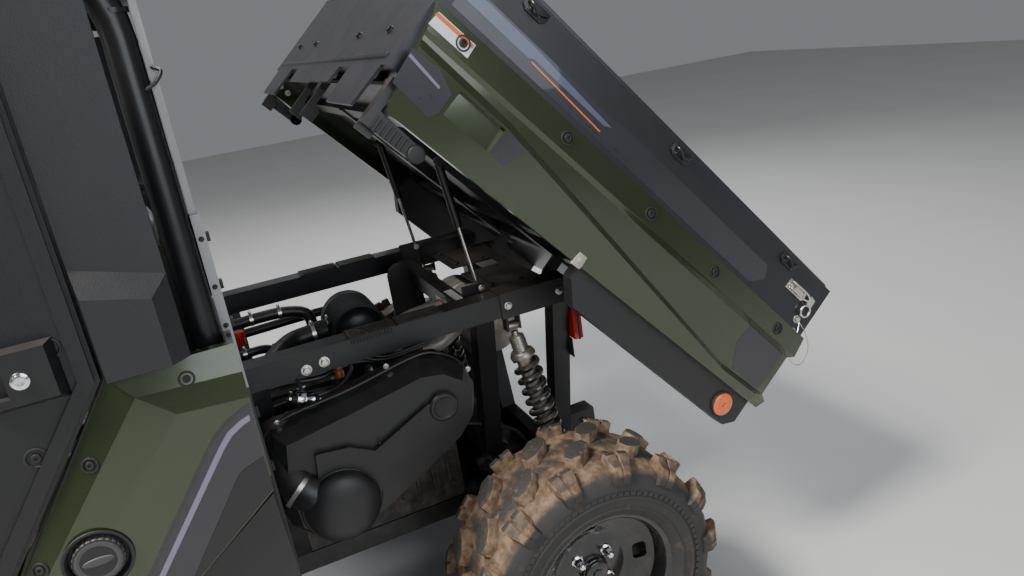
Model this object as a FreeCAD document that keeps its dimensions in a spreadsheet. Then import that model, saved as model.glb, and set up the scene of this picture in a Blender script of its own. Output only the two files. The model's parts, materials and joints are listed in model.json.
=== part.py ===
"""Side by side utility vehicle with a raised dump bed, as a parametric document.

The model is built about the rear axle: X to the vehicle's left, Y to its rear, Z up from the ground.
Each node is then set back by rear_axle_y, so that the origin lies under the middle of its box.
The bed's own pieces are drawn lying flat, about the bed's hinge, and tipped by bed_tilt.
"""
import FreeCAD, Part

import math
import os
import re

import Sketcher
from FreeCAD import Placement, Rotation, Vector

SIZES = {
    # Stance
    "rear_axle_y": 868.77,
    "wheelbase": 2100,
    "rear_wheel_x": 655,
    "front_wheel_x": 675,
    "tyre_radius": 329,
    "axle_height": 329.01,
    "rear_tyre_width": 280,
    "front_tyre_width": 230,
    # Tyres and rims
    "lug_height": 30,
    "lug_length": 64,
    "lug_count": 14,
    "lug_inner_gap": 8,
    "lug_shoulder_drop": 34,
    "bead_radius": 176,
    "bead_fit": 0.3,
    "rim_flange_radius": 190,
    "rim_flange_width": 7,
    "rim_wall": 6,
    "rim_disc_x": 38,
    "rim_disc_thickness": 10,
    "hub_radius": 38,
    "hub_reach": 34,
    "wheel_bolt_circle": 110,
    "wheel_nut_radius": 12,
    "wheel_nut_reach": 34,
    "rim_window_radius": 22,
    "rim_window_circle": 128,
    "rim_window_count": 4,
    "hub_face_gap": 0.5,
    # Lower frame
    "ground_clearance": 290,
    "main_rail_x": 205,
    "main_rail_width": 50,
    "main_rail_height": 50,
    "frame_nose": 230,
    "frame_back_y": 200,
    "cross_width": 40,
    "cross_front": 20,
    "cross_cab_y": -1150,
    "cross_foot_y": -1500,
    "cross_seat_y": -800,
    "sill_rail_x": 560,
    "sill_front_y": -1660,
    "sill_back_y": -690,
    "skid_thickness": 4,
    "tower_height": 740,
    "tower_lead": 215,
    "tower_trail": 135,
    "tower_width": 40,
    # Engine bay frame
    "rail_inner_x": 300,
    "rail_outer_x": 360,
    "rail_top": 943,
    "rail_height": 60,
    "sleeve_thickness": 4,
    "sleeve_front_y": 0,
    "sleeve_length": 190,
    "post_width": 50,
    "mid_post_y": -71,
    "back_post_y": 150,
    "beam_top": 915,
    "beam_height": 50,
    "pad_thickness": 4,
    "pad_length": 115,
    "pad_front_y": -392,
    # Cab shell
    "cage_radius": 27,
    "cage_bend": 120,
    "cage_x": 690,
    "cage_top_x": 640,
    "cage_top": 1780,
    "cage_rear_y": -686,
    "cage_foot": 315,
    "cage_bar_rise": 40,
    "a_post_foot_y": -1722,
    "a_post_foot_z": 1066.6,
    "a_post_top_y": -1400,
    "roof_thickness": 60,
    "roof_front_y": -1500,
    "roof_back_y": -640,
    "roof_side_x": 690,
    "glass_thickness": 5,
    "window_x": 600,
    "bulkhead_y": -645,
    "bulkhead_thickness": 12,
    "bulkhead_half": 655,
    "belt_height": 1140,
    "seam_gap": 6,
    # Doors
    "door_outer_x": 745,
    "door_thickness": 45,
    "door_front_y": -1664,
    "door_back_y": -860,
    "door_top": 1735,
    "door_bottom": 500,
    "door_a_top_y": -1440,
    "door_shoulder_z": 1080,
    "door_slope_y": -1210,
    "door_slope_z": 660,
    "hinge_offset": 4,
    "hinge_barrel_radius": 8,
    "hinge_barrel_length": 30,
    "hinge_rod_radius": 4,
    "window_sill": 100,
    "window_back": 130,
    "window_rim": 58,
    "grip_y": -962,
    "grip_z": 1182,
    "grip_half_length": 58,
    "grip_half_height": 52,
    "grip_reach": 22,
    "grip_bevel": 12,
    "lock_radius": 11,
    "bead_inset": 8,
    "bead_width": 24,
    "bead_rise": 7,
    "bead_lead": 60,
    "door_foot_lead": 40,
    # Side bodywork
    "quarter_outer_x": 762,
    "quarter_wall": 40,
    "quarter_back_y": -645,
    "quarter_bottom": 660,
    "quarter_corner_rise": 190,
    "quarter_corner_y": -900,
    "quarter_crown": 20,
    "quarter_crease": 60,
    "quarter_fall": 8,
    "insert_foot_y": -760,
    "sill_bottom": 400,
    "filler_y": -950,
    "filler_z": 835,
    "filler_radius": 52,
    "cap_radius": 40,
    "filler_depth": 22,
    "corner_step": 26,
    "corner_bevel": 30,
    "corner_block_front": 190,
    "corner_block_back": 150,
    "corner_gap": 4,
    # Cab inside
    "floor_height": 440,
    "floor_thickness": 8,
    "floor_side_x": 640,
    "firewall_y": -1669.7,
    "seat_box_top": 690,
    "seat_box_front_y": -1230,
    "seat_box_back_y": -680,
    "cushion_thickness": 110,
    "cushion_depth": 480,
    "cushion_width": 520,
    "seat_x": 300,
    "seat_back_height": 560,
    "soft_gap": 0.3,
    "dash_back_y": -1470,
    "dash_top": 1080,
    "dash_bottom": 840,
    "wheel_hand_x": 330,
    "hand_wheel_radius": 180,
    "hand_grip_radius": 14,
    "hand_spoke_width": 32,
    "hub_depth": 20,
    "hub_rise": 10,
    "hand_wheel_y": -1290,
    "hand_wheel_z": 1090,
    "column_tilt": 35,
    "column_radius": 18,
    "column_gap": 6,
    "column_boss_length": 60,
    # Nose
    "hood_back_y": -1745,
    "hood_nose": 290,
    "hood_back_z": 1060,
    "hood_front_z": 930,
    "hood_side_x": 395,
    "hood_front_x": 350,
    "hood_thickness": 30,
    "hood_gap": 6,
    "hood_pin_inset": 14,
    "hood_pin_drop": 24,
    "hood_pin_radius": 5,
    "fascia_nose": 350,
    "fascia_bottom": 560,
    "fascia_thickness": 42,
    "grille_slots": 5,
    "grille_slot_height": 26,
    "grille_pitch": 48,
    "grille_half_width": 300,
    "lamp_x": 540,
    "lamp_width": 190,
    "lamp_height": 90,
    "lamp_z": 850,
    "fender_outer_x": 762,
    "fender_thickness": 30,
    "arch_radius": 415,
    "bumper_nose": 400,
    "bumper_radius": 22,
    "bumper_half_width": 380,
    "bumper_foot": 470,
    "bumper_crest": 760,
    # Suspension and steering
    "arm_radius": 15,
    "bush_radius": 18,
    "bush_length": 44,
    "seat_gap": 0.3,
    "ball_radius": 20,
    "ball_height": 40,
    "arm_low_z": 315,
    "arm_high_z": 445,
    "hub_low_z": 265,
    "hub_high_z": 405,
    "rear_ball_x": 500,
    "kingpin_x": 575,
    "rear_low_front_y": -150,
    "rear_low_back_y": 150,
    "rear_high_front_y": -91,
    "rear_high_back_y": -1,
    "front_leg_y": -195,
    "back_leg_y": 155,
    "arm_plate_x": 405,
    "arm_plate_width": 50,
    "arm_plate_thickness": 8,
    "arm_plate_lip": 20,
    "arm_plate_rise": 26,
    "knuckle_plate": 20,
    "carrier_radius": 40,
    "kingpin_radius": 20,
    "steer_arm": 110,
    "steer_arm_width": 28,
    "steer_arm_low": 368,
    "steer_arm_thickness": 12,
    "tie_rod_gap": 6,
    "tie_rod_radius": 8,
    "tie_end_radius": 14,
    "tie_rod_y": 103,
    "rack_radius": 13,
    "rack_half": 265,
    "rack_housing_radius": 24,
    "rack_housing_half": 200,
    "shaft_radius": 14,
    "boot_radius": 32,
    "boot_length": 58,
    "boot_gap": 27,
    "diff_half": 110,
    "diff_radius": 59.7,
    "boot_end_gap": 7,
    "diff_height": 400,
    "shock_head_drop": 33,
    "rear_shock_head": 345,
    "rear_shock_head_y": 30,
    "rear_shock_foot_y": 105,
    "front_shock_head": 272,
    "front_shock_head_z": 700,
    "front_shock_y": -53,
    "shock_foot_x": 430,
    "shock_foot_rise": 30,
    "coil_radius": 35,
    "coil_wire": 6.5,
    "coil_turns": 6,
    "damper_radius": 20,
    "shock_eye_radius": 12,
    "shock_eye_half": 14,
    "clevis_thickness": 6,
    # Engine bay contents
    "engine_half_width": 240,
    "engine_front_y": -594,
    "engine_back_y": -150,
    "engine_head_back": -236,
    "engine_head_half": 150,
    "engine_shoulder": 660,
    "valve_cover_half": 100,
    "valve_cover_height": 30,
    "cylinders": 3,
    "bore_pitch": 90,
    "manifold_reach": 56,
    "manifold_depth": 44,
    "alternator_radius": 58,
    "engine_bottom": 350,
    "engine_top": 800,
    "cvt_inner_x": 370,
    "cvt_outer_x": 500,
    "cvt_neck_radius": 60,
    "cvt_bevel": 50,
    "cvt_arm_rise": 12,
    "cvt_boss_y": -511,
    "cvt_boss_z": 620,
    "cvt_boss_radius": 84,
    "cvt_duct_radius": 42,
    "canister_radius": 75,
    "canister_length": 150,
    "canister_x": 20,
    "canister_y": -330,
    "canister_z": 888,
    "hose_radius": 28,
    "muffler_radius": 80,
    "muffler_y": 60,
    "muffler_z": 770,
    "exhaust_pipe_radius": 22,
    # Rear fittings
    "receiver_width": 51,
    "receiver_wall": 6,
    "receiver_length": 195,
    "receiver_pin_radius": 8,
    "tail_lamp_z": 810,
    "tail_lamp_height": 100,
    "tail_lamp_depth": 25,
    # Dump bed, about its hinge
    "hinge_y": 225,
    "hinge_z": 905,
    "bed_tilt": 48,
    "bed_front": -810,
    "bed_back": 408,
    "bed_half_width": 690,
    "bed_wall": 25,
    "bed_wall_top": 360,
    "bed_floor_low": 72,
    "bed_floor_thickness": 6,
    "apron_gap": 20,
    "apron_side": 50,
    "apron_drop": 20,
    "apron_rise": 30,
    "apron_taper": 14,
    "moulding_top": 214,
    "moulding_reach": 30,
    "moulding_flange": 54,
    "moulding_tail": 160,
    "moulding_slant": 44,
    "moulding_recess_front": 130,
    "moulding_recess_back": 250,
    "moulding_recess_z": 62,
    "skirt_front": -232,
    "skirt_drop": 85,
    "skirt_inner_x": 650,
    "channel_x": 200,
    "channel_width": 40,
    "channel_start": 150,
    "channel_end": 40,
    "channel_low": 45,
    "ear_radius": 18,
    "ear_thickness": 8,
    "hinge_pin_radius": 10,
    "pin_clearance": 0.5,
    "rib_height": 22,
    "rib_width": 40,
    "tailgate_thickness": 24,
    "tailgate_gap": 5,
    "gate_hinge_y": 8,
    "gate_barrel_radius": 7,
    "gate_knuckle": 50,
    "gate_hinge_x": 300,
    "latch_rod_radius": 6,
    "latch_inset": 30,
    "latch_drop": 16,
    "latch_inner_x": 80,
    "latch_outer_x": 668,
    "latch_hook_half": 9,
    "latch_hook_drop": 110,
    "latch_hook_thickness": 8,
    "latch_grip_length": 100,
    "latch_grip_drop": 96,
    "latch_grip_height": 30,
    "latch_grip_width": 20,
    # Gas struts
    "strut_x": 270,
    "strut_foot_y": -20,
    "strut_foot_z": 955,
    "strut_head_y": -490,
    "strut_head_z": 45,
    "strut_barrel_radius": 11,
    "strut_barrel_length": 178,
    "strut_rod_radius": 5,
    "strut_eye_radius": 9,
    "strut_eye_width": 14,
    "strut_pin_radius": 4,
    "strut_bracket_gap": 12,
    "strut_bracket_thickness": 6,
}

HINGE_LEVELS = ("door_bottom + 120", "door_shoulder_z - 160")
COLUMN_REACH = "(hand_wheel_y - dash_back_y - column_gap - column_radius) / cos(column_tilt * 1 deg)"
RACK_LEVEL = "steer_arm_low + steer_arm_thickness + tie_rod_gap + tie_rod_radius"

SUMS = {
    "frame_front_y": "-wheelbase -frame_nose",
    "tower_front_y": "-wheelbase -tower_lead",
    "tower_back_y": "-wheelbase +tower_trail",
    "hood_front_y": "-wheelbase -hood_nose",
    "fascia_front_y": "-wheelbase -fascia_nose",
    "bumper_y": "-wheelbase -bumper_nose",
    "roof_bottom": "cage_top +cage_radius +seat_gap",
}

WORD = re.compile(r"[A-Za-z_]\w*")

os.makedirs("parts", exist_ok=True)
doc = FreeCAD.newDocument("side_by_side")
sheet = doc.addObject("Spreadsheet::Sheet", "Sizes")
for row, (alias, value) in enumerate(SIZES.items(), start=1):
    sheet.set(f"A{row}", alias)
    sheet.set(f"B{row}", str(value))
    sheet.setAlias(f"B{row}", alias)
doc.recompute()

NODES = {}


def size(alias):
    """Read one size from the sheet, or the sum it stands for."""
    if alias in SUMS:
        return sum((-1 if term[0] == "-" else 1) * size(term.strip("+-")) for term in SUMS[alias].split())
    return float(getattr(sheet, alias))


def named(expression):
    """Point the words of an expression at the sheet's cells."""
    spelt = WORD.sub(lambda word: f"({SUMS[word[0]]})" if word[0] in SUMS else word[0], str(expression))
    return WORD.sub(lambda word: f"Sizes.{word[0]}" if word[0] in SIZES else word[0], spelt)


def bind(thing, **cells):
    """Bind properties of an object to expressions on the sheet."""
    for name, expression in cells.items():
        thing.setExpression(name, named(expression))
    return thing


def seat(thing, x="0", y="0", z="0"):
    """Bind an object's place to expressions on the sheet."""
    for axis, expression in zip("xyz", (x, y, z)):
        thing.setExpression(f"Placement.Base.{axis}", named(expression))
    return thing


def box(name, x, y, z):
    """A block between pairs of expressions along each axis."""
    block = doc.addObject("Part::Box", name)
    sides = {"Length": x, "Width": y, "Height": z}
    bind(block, **{side: f"({high}) - ({low})" for side, (low, high) in sides.items()})
    return seat(block, x[0], y[0], z[0])


def rod(name, along, centre, radius, low, high):
    """A round bar along X, Y or Z; centre gives its two other coordinates."""
    turn = {"x": Rotation(Vector(0, 1, 0), 90), "y": Rotation(Vector(1, 0, 0), -90), "z": Rotation()}
    bar = doc.addObject("Part::Cylinder", name)
    bar.Placement = Placement(Vector(), turn[along])
    bind(bar, Radius=radius, Height=f"({high}) - ({low})")
    place = list(centre)
    place.insert("xyz".index(along), low)
    return seat(bar, *place)


def joined(name, *pieces):
    """Pieces fused to one."""
    if len(pieces) == 1:
        return pieces[0]
    fuse = doc.addObject("Part::MultiFuse", name)
    fuse.Shapes = list(pieces)
    return fuse


def less(name, base, *tools):
    """A piece with others cut away from it."""
    cut = doc.addObject("Part::Cut", name)
    cut.Base = base
    cut.Tool = joined(f"{name}_tools", *tools)
    return cut


def group(name, *pieces):
    """Separate solids of one node."""
    several = doc.addObject("Part::Compound", name)
    several.Links = list(pieces)
    return several


def mirrored(name, source):
    """The same piece on the vehicle's other side."""
    other = doc.addObject("Part::Mirroring", name)
    other.Source = source
    other.Base = Vector()
    other.Normal = Vector(1, 0, 0)
    return other


def both_sides(name, source):
    """A left piece and its mirror image."""
    return group(name, source, mirrored(f"{name}_mirror", source))


def sketch_on(body, name, plane, outline, level="0"):
    """A closed outline on one of a body's own planes, each corner bound to two expressions."""
    sketch = body.newObject("Sketcher::SketchObject", name)
    sketch.AttachmentSupport = [(next(f for f in body.Origin.OriginFeatures if f.Role == plane), "")]
    sketch.MapMode = "FlatFace"
    sketch.setExpression("AttachmentOffset.Base.z", named(level))
    count = len(outline)
    angles = [2 * math.pi * i / count for i in range(count)]
    start = [Vector(100 * math.cos(a), 100 * math.sin(a), 0) for a in angles]
    for i in range(count):
        sketch.addGeometry(Part.LineSegment(start[i], start[(i + 1) % count]), False)
    for i in range(count):
        sketch.addConstraint(Sketcher.Constraint("Coincident", i, 2, (i + 1) % count, 1))
    for i, corner in enumerate(outline):
        for kind, expression in zip(("DistanceX", "DistanceY"), corner):
            index = sketch.addConstraint(Sketcher.Constraint(kind, -1, 1, i, 1, 1.0))
            sketch.setExpression(f"Constraints[{index}]", named(expression))
    return sketch


def profile(name, plane, outline, low, high):
    """An outline drawn out to a solid between two levels.

    side: corners are (y, z), drawn out along X.  front: corners are (x, z), drawn out along Y.
    top: corners are (x, y), drawn out along Z.
    """
    planes = {"side": "YZ_Plane", "front": "XZ_Plane", "top": "XY_Plane"}
    body = doc.addObject("PartDesign::Body", name)
    level = f"-({low})" if plane == "front" else low
    sketch = sketch_on(body, f"{name}_outline", planes[plane], outline, level)
    pad = body.newObject("PartDesign::Pad", f"{name}_pad")
    pad.Profile = sketch
    pad.Reversed = plane == "front"
    bind(pad, Length=f"({high}) - ({low})")
    return body


def lofted(name, plane, sections):
    """A ruled body through outlines at given levels, each as (level, outline)."""
    planes = {"side": "YZ_Plane", "front": "XZ_Plane", "top": "XY_Plane"}
    body = doc.addObject("PartDesign::Body", name)
    sketches = []
    for i, (level, outline) in enumerate(sections):
        place = f"-({level})" if plane == "front" else level
        sketches.append(sketch_on(body, f"{name}_section_{i}", planes[plane], outline, place))
    loft = body.newObject("PartDesign::AdditiveLoft", f"{name}_loft")
    loft.Profile = sketches[0]
    loft.Sections = sketches[1:]
    loft.Ruled = True
    return body


def corner_arc(before, corner, after, radius):
    """The arc that rounds a corner of a path."""
    back = (before - corner).normalize()
    ahead = (after - corner).normalize()
    half = back.getAngle(ahead) / 2
    reach = radius / math.tan(half)
    middle = (back + ahead).normalize()
    centre = corner + middle * (radius / math.sin(half))
    return corner + back * reach, centre - middle * radius, corner + ahead * reach


def solid_of(name, loops):
    """A solid closed by flat faces, each given by its corners in order."""
    faces = [Part.Face(Part.makePolygon([*loop, loop[0]])) for loop in loops]
    solid = Part.Solid(Part.Shell(faces))
    if solid.Volume < 0:
        solid.reverse()
    piece = doc.addObject("Part::Feature", name)
    piece.Shape = solid
    return piece


def faceted(name, rings, closed=False):
    """A solid of flat faces between rings of corners, its ends capped, or joined when closed."""
    loops = [] if closed else [rings[0], rings[-1]]
    following = rings[1:] + rings[:1] if closed else rings[1:]
    for first, second in zip(rings, following):
        for i, corner in enumerate(first):
            j = (i + 1) % len(first)
            loops.append([corner, first[j], second[j], second[i]])
    return solid_of(name, loops)


def spun(outline, sides, place=None, turn=0.5):
    """Rings of corners about the X axis, one for each (x, radius) of an outline; turn is in sides."""
    place = place or Placement()
    rings = []
    for x, radius in outline:
        angles = [2 * math.pi * (i + turn) / sides for i in range(sides)]
        rings.append([place.multVec(Vector(x, radius * math.sin(a), -radius * math.cos(a))) for a in angles])
    return rings


def chorded(points, bend, chords=3):
    """A path with each corner rounded by an arc, the arc taken in chords."""
    run = [points[0]]
    for before, corner, after in zip(points, points[1:], points[2:]):
        half = (before - corner).getAngle(after - corner) / 2
        room = 0.8 * min((before - corner).Length, (after - corner).Length) * math.tan(half)
        first, middle, last = corner_arc(before, corner, after, min(bend, room))
        centre = Part.Arc(first, middle, last).toShape().Curve.Center
        start = first - centre
        end = last - centre
        whole = start.getAngle(end)
        for i in range(chords + 1):
            share = whole * i / chords
            run.append(centre + (start * math.sin(whole - share) + end * math.sin(share)) * (1 / math.sin(whole)))
    run.append(points[-1])
    return run


def faceted_tube(name, path, radius, bend=0, sides=8):
    """A bar of flat sides along straight runs, mitred where they meet."""
    points = chorded([Vector(*point) for point in path], bend) if len(path) > 2 else [Vector(*p) for p in path]
    along = (points[1] - points[0]).normalize()
    upright = abs(along.z) > 0.9
    across = (Vector(1, 0, 0) if upright else Vector(0, 0, 1)).cross(along).normalize()
    other = along.cross(across)
    reach = radius / math.cos(math.pi / sides)
    angles = [2 * math.pi * (i + 0.5) / sides for i in range(sides)]
    rings = [[points[0] + across * (reach * math.cos(a)) + other * (reach * math.sin(a)) for a in angles]]
    for i in range(1, len(points)):
        along = (points[i] - points[i - 1]).normalize()
        ahead = (points[i + 1] - points[i]).normalize() if i + 1 < len(points) else along
        facing = (along + ahead).normalize()
        ring = []
        for corner in rings[-1]:
            ring.append(corner + along * ((points[i] - corner).dot(facing) / along.dot(facing)))
        rings.append(ring)
    return faceted(name, rings)


def node(label, thing, x="0", y="rear_axle_y", z="0"):
    """Name a finished sub-part and set it at its place in the row's frame."""
    holder = group(f"node_{label}", thing)
    holder.Label = label
    NODES[label] = seat(holder, x, y, z)
    return holder


def bed_node(label, thing):
    """Name a sub-part of the bed and set it on the hinge at the bed's angle."""
    holder = node(label, thing, "0", "rear_axle_y + hinge_y", "hinge_z")
    holder.Placement.Rotation = Rotation(Vector(1, 0, 0), -size("bed_tilt"))
    holder.setExpression("Placement.Rotation.Angle", named("-bed_tilt"))
    return holder


def rack_housing():
    """The steering rack's housing on its feet, bored for the rack."""
    line = ("-wheelbase + tie_rod_y", RACK_LEVEL)
    pieces = [rod("rack_housing", "x", line, "rack_housing_radius", "-rack_housing_half", "rack_housing_half")]
    for i, sign in enumerate((1, -1)):
        foot = [f"{sign} * (main_rail_x - main_rail_width / 2)", f"{sign} * rack_housing_half"][::sign]
        across = (f"{line[0]} - rack_housing_radius", f"{line[0]} + rack_housing_radius")
        pieces.append(box(f"rack_foot_{i}", foot, across, ("ground_clearance + main_rail_height", RACK_LEVEL)))
    ends = ("-rack_housing_half - 1", "rack_housing_half + 1")
    bore = rod("rack_bore", "x", line, "rack_radius + pin_clearance", *ends)
    return less("rack_housing_bored", joined("rack_housing_fuse", *pieces), bore)


def build_lower_frame():
    """Ladder of square tube, sill rails and the front tower."""
    low = "ground_clearance"
    high = "ground_clearance + main_rail_height"
    inner = "main_rail_x - main_rail_width / 2"
    outer = "main_rail_x + main_rail_width / 2"
    pieces = [
        box("main_rail_left", (inner, outer), ("frame_front_y", "frame_back_y"), (low, high)),
        box("main_rail_right", (f"-({outer})", f"-({inner})"), ("frame_front_y", "frame_back_y"), (low, high)),
    ]
    stations = (
        "frame_front_y",
        "-wheelbase - cross_front",
        "cross_foot_y",
        "cross_cab_y",
        "cross_seat_y",
        "-cross_front",
        "frame_back_y - cross_width",
    )
    for i, station in enumerate(stations):
        pieces.append(box(f"cross_{i}", (f"-({outer})", outer), (station, f"{station} + cross_width"), (low, high)))
    for side, sign in (("left", 1), ("right", -1)):
        edges = [f"{sign} * (sill_rail_x - cross_width / 2)", f"{sign} * (sill_rail_x + cross_width / 2)"]
        spans = [f"{sign} * (main_rail_x)", f"{sign} * sill_rail_x"]
        edges = edges[::sign]
        spans = spans[::sign]
        pieces.append(box(f"sill_rail_{side}", edges, ("sill_front_y", "sill_back_y"), (low, high)))
        for i, station in enumerate(("sill_front_y", "cross_cab_y", "sill_back_y - cross_width")):
            outrigger = (station, f"{station} + cross_width")
            pieces.append(box(f"outrigger_{side}_{i}", spans, outrigger, (low, high)))
            pieces.append(box(f"body_mount_{side}_{i}", edges, outrigger, (high, "floor_height - seat_gap")))
        tower = [f"{sign} * ({inner})", f"{sign} * ({outer})"][::sign]
        for i, station in enumerate(("tower_front_y", "tower_back_y")):
            leg = (station, f"{station} + tower_width")
            pieces.append(box(f"tower_{side}_{i}", tower, leg, (low, "tower_height")))
        top = ("tower_front_y", "tower_back_y + tower_width")
        pieces.append(box(f"tower_top_{side}", tower, top, ("tower_height - tower_width", "tower_height")))
        for i, lead in enumerate((-1, 1)):
            near = f"-wheelbase + front_shock_y + {lead} * (shock_eye_half + seat_gap)"
            far = f"-wheelbase + front_shock_y + {lead} * (shock_eye_half + seat_gap + clevis_thickness)"
            span = [f"{sign} * ({outer})", f"{sign} * (front_shock_head + shock_eye_half)"][::sign]
            drop = ("front_shock_head_z - shock_eye_half", "front_shock_head_z + shock_eye_half")
            pieces.append(box(f"front_ear_{side}_{i}", span, [near, far][::lead], drop))
    crown = ("tower_front_y", "tower_front_y + tower_width")
    pieces.append(box("tower_crown", (f"-({outer})", outer), crown, ("tower_height - tower_width", "tower_height")))
    skid = ("ground_clearance - skid_thickness", "ground_clearance")
    pieces.append(box("skid", (f"-({outer})", outer), ("frame_front_y", "frame_back_y"), skid))
    pieces.append(rack_housing())
    node("lower_frame", joined("lower_frame_fuse", *pieces))


def build_bay_frame():
    """Square-tube rails over the engine with their posts, cross beams and hinge ears."""
    under = "rail_top - rail_height"
    pieces = []
    for side, sign in (("left", 1), ("right", -1)):
        span = [f"{sign} * rail_inner_x", f"{sign} * rail_outer_x"][::sign]
        back = "back_post_y + post_width"
        pieces.append(box(f"bay_rail_{side}", span, ("bulkhead_y", back), (under, "rail_top")))
        head = "(rail_inner_x + rail_outer_x) / 2"
        corners = [
            (f"{sign} * ({head} - post_width / 2)", under),
            (f"{sign} * ({head} + post_width / 2)", under),
            (f"{sign} * (main_rail_x + main_rail_width / 2)", "ground_clearance + main_rail_height"),
            (f"{sign} * (main_rail_x - main_rail_width / 2)", "ground_clearance + main_rail_height"),
        ]
        for i, station in enumerate(("bulkhead_y", "mid_post_y", "back_post_y")):
            pieces.append(profile(f"post_{side}_{i}", "front", corners, station, f"{station} + post_width"))
        ears = [f"{sign} * (channel_x + channel_width / 2 + 6)", f"{sign} * (channel_x + channel_width / 2 + 14)"]
        ear_z = ("hinge_z - ear_radius", "hinge_z + ear_radius")
        pieces.append(box(f"hinge_ear_{side}", ears[::sign], ("back_post_y", "hinge_y"), ear_z))
        pin_x = [f"{sign} * (channel_x - channel_width / 2 - 2)", f"{sign} * (channel_x + channel_width / 2 + 14)"]
        pieces.append(rod(f"hinge_pin_{side}", "x", ("hinge_y", "hinge_z"), "hinge_pin_radius", *pin_x[::sign]))
        boss_low, boss_high = ears[::sign]
        pieces.append(rod(f"hinge_boss_{side}", "x", ("hinge_y", "hinge_z"), "ear_radius", boss_low, boss_high))
        near = "strut_x + strut_bracket_gap"
        foot = [f"{sign} * ({near})", f"{sign} * ({near} + strut_bracket_thickness)"][::sign]
        foot_z = ("beam_top - beam_height", "strut_foot_z + 12")
        pieces.append(box(f"strut_bracket_{side}", foot, ("mid_post_y", "strut_foot_y + 12"), foot_z))
        boss = [f"{sign} * (strut_x + strut_eye_width / 2 + 0.5)", f"{sign} * ({near} + 2)"][::sign]
        pieces.append(rod(f"strut_boss_{side}", "x", ("strut_foot_y", "strut_foot_z"), "strut_eye_radius", *boss))
        cover = [f"{sign} * (rail_inner_x - sleeve_thickness)", f"{sign} * (rail_outer_x + sleeve_thickness)"]
        sleeve_y = ("sleeve_front_y", "sleeve_front_y + sleeve_length")
        sleeve_z = (f"{under} - sleeve_thickness", "rail_top + sleeve_thickness")
        pieces.append(box(f"rail_sleeve_{side}", cover[::sign], sleeve_y, sleeve_z))
    for side, sign in (("left", 1), ("right", -1)):
        for i, lead in enumerate((-1, 1)):
            near = f"rear_shock_head_y + {lead} * (shock_eye_half + seat_gap)"
            far = f"rear_shock_head_y + {lead} * (shock_eye_half + seat_gap + clevis_thickness)"
            head = "rear_shock_head"
            span = [f"{sign} * ({head} - shock_eye_half)", f"{sign} * ({head} + shock_eye_half)"][::sign]
            drop = (f"{under} - shock_head_drop - 10", under)
            pieces.append(box(f"shock_ear_{side}_{i}", span, [near, far][::lead], drop))
    inside = ("-rail_inner_x", "rail_inner_x")
    for i, station in enumerate(("mid_post_y - 10", "back_post_y")):
        beam = (station, f"{station} + post_width - 10")
        pieces.append(box(f"bay_beam_{i}", inside, beam, ("beam_top - beam_height", "beam_top")))
    node("bay_frame", joined("bay_frame_fuse", *pieces))
    pads = []
    for i in range(2):
        start = f"pad_front_y + {i} * (pad_length + 8)"
        span = (start, f"{start} + pad_length")
        pad_z = ("rail_top", "rail_top + pad_thickness")
        pads.append(box(f"rail_pad_{i}", ("rail_inner_x", "rail_outer_x"), span, pad_z))
    node("rail_pads", both_sides("rail_pads_pair", group("rail_pads_left", *pads)))


def build_cage():
    """Roll cage: side hoops with their front legs, and cross bars."""
    x = size("cage_x")
    top_x = size("cage_top_x")
    top = size("cage_top")
    rear = size("cage_rear_y")
    front = size("a_post_top_y")
    radius = size("cage_radius")
    bend = size("cage_bend")
    foot = size("cage_foot")
    lean = (x - top_x) / (top - foot)
    pieces = []
    for side, sign in (("left", 1), ("right", -1)):
        hoop = [
            (sign * (size("sill_rail_x") + size("cross_width") / 2 + size("seat_gap")), rear, foot),
            (sign * x, rear, foot),
            (sign * top_x, rear, top),
            (sign * top_x, front, top),
            (sign * x, size("a_post_foot_y"), size("a_post_foot_z")),
        ]
        pieces.append(faceted_tube(f"hoop_{side}", hoop, radius, bend, 10))
    bars = (
        ("rear_bar", rear, size("belt_height") + size("cage_bar_rise")),
        ("roof_bar", rear - bend, top),
        ("screen_bar", front + bend, top),
    )
    for name, y, z in bars:
        half = top_x + lean * (top - z)
        pieces.append(faceted_tube(name, [(-half, y, z), (half, y, z)], radius * 0.8))
    node("roll_cage", joined("roll_cage_fuse", *pieces))


def build_roof():
    """Moulded roof panel with a raised middle."""
    edge = "roof_side_x"
    section = [
        (f"-{edge}", "roof_bottom"),
        (edge, "roof_bottom"),
        (f"{edge} - 10", "roof_bottom + roof_thickness * 0.45"),
        (f"{edge} - 90", "roof_bottom + roof_thickness"),
        (f"-{edge} + 90", "roof_bottom + roof_thickness"),
        (f"-{edge} + 10", "roof_bottom + roof_thickness * 0.45"),
    ]
    node("roof_panel", profile("roof", "front", section, "roof_front_y", "roof_back_y"))


def build_cab_glass():
    """Windscreen and rear window panes."""
    panes = []
    for level, y in (("a_post_foot_z + 44", "a_post_foot_y + 14"), ("cage_top - 20", "a_post_top_y - 4")):
        edge = f"cage_x - (cage_x - cage_top_x) * ({level} - a_post_foot_z) / (cage_top - a_post_foot_z)"
        half = f"{edge} - cage_radius * 1.07 - seat_gap"
        corners = [(f"-({half})", y), (f"-({half})", f"{y} - glass_thickness")]
        corners += [(half, f"{y} - glass_thickness"), (half, y)]
        panes.append((level, corners))
    front = lofted("windscreen", "top", panes)
    back_y = ("bulkhead_y - bulkhead_thickness / 2 - 2", "bulkhead_y - bulkhead_thickness / 2 + 3")
    back = box("rear_pane", ("-window_x + 40", "window_x - 40"), back_y, ("belt_height + 60", "door_top - 60"))
    node("cab_glass", group("cab_glass_panes", front, back))


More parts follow.
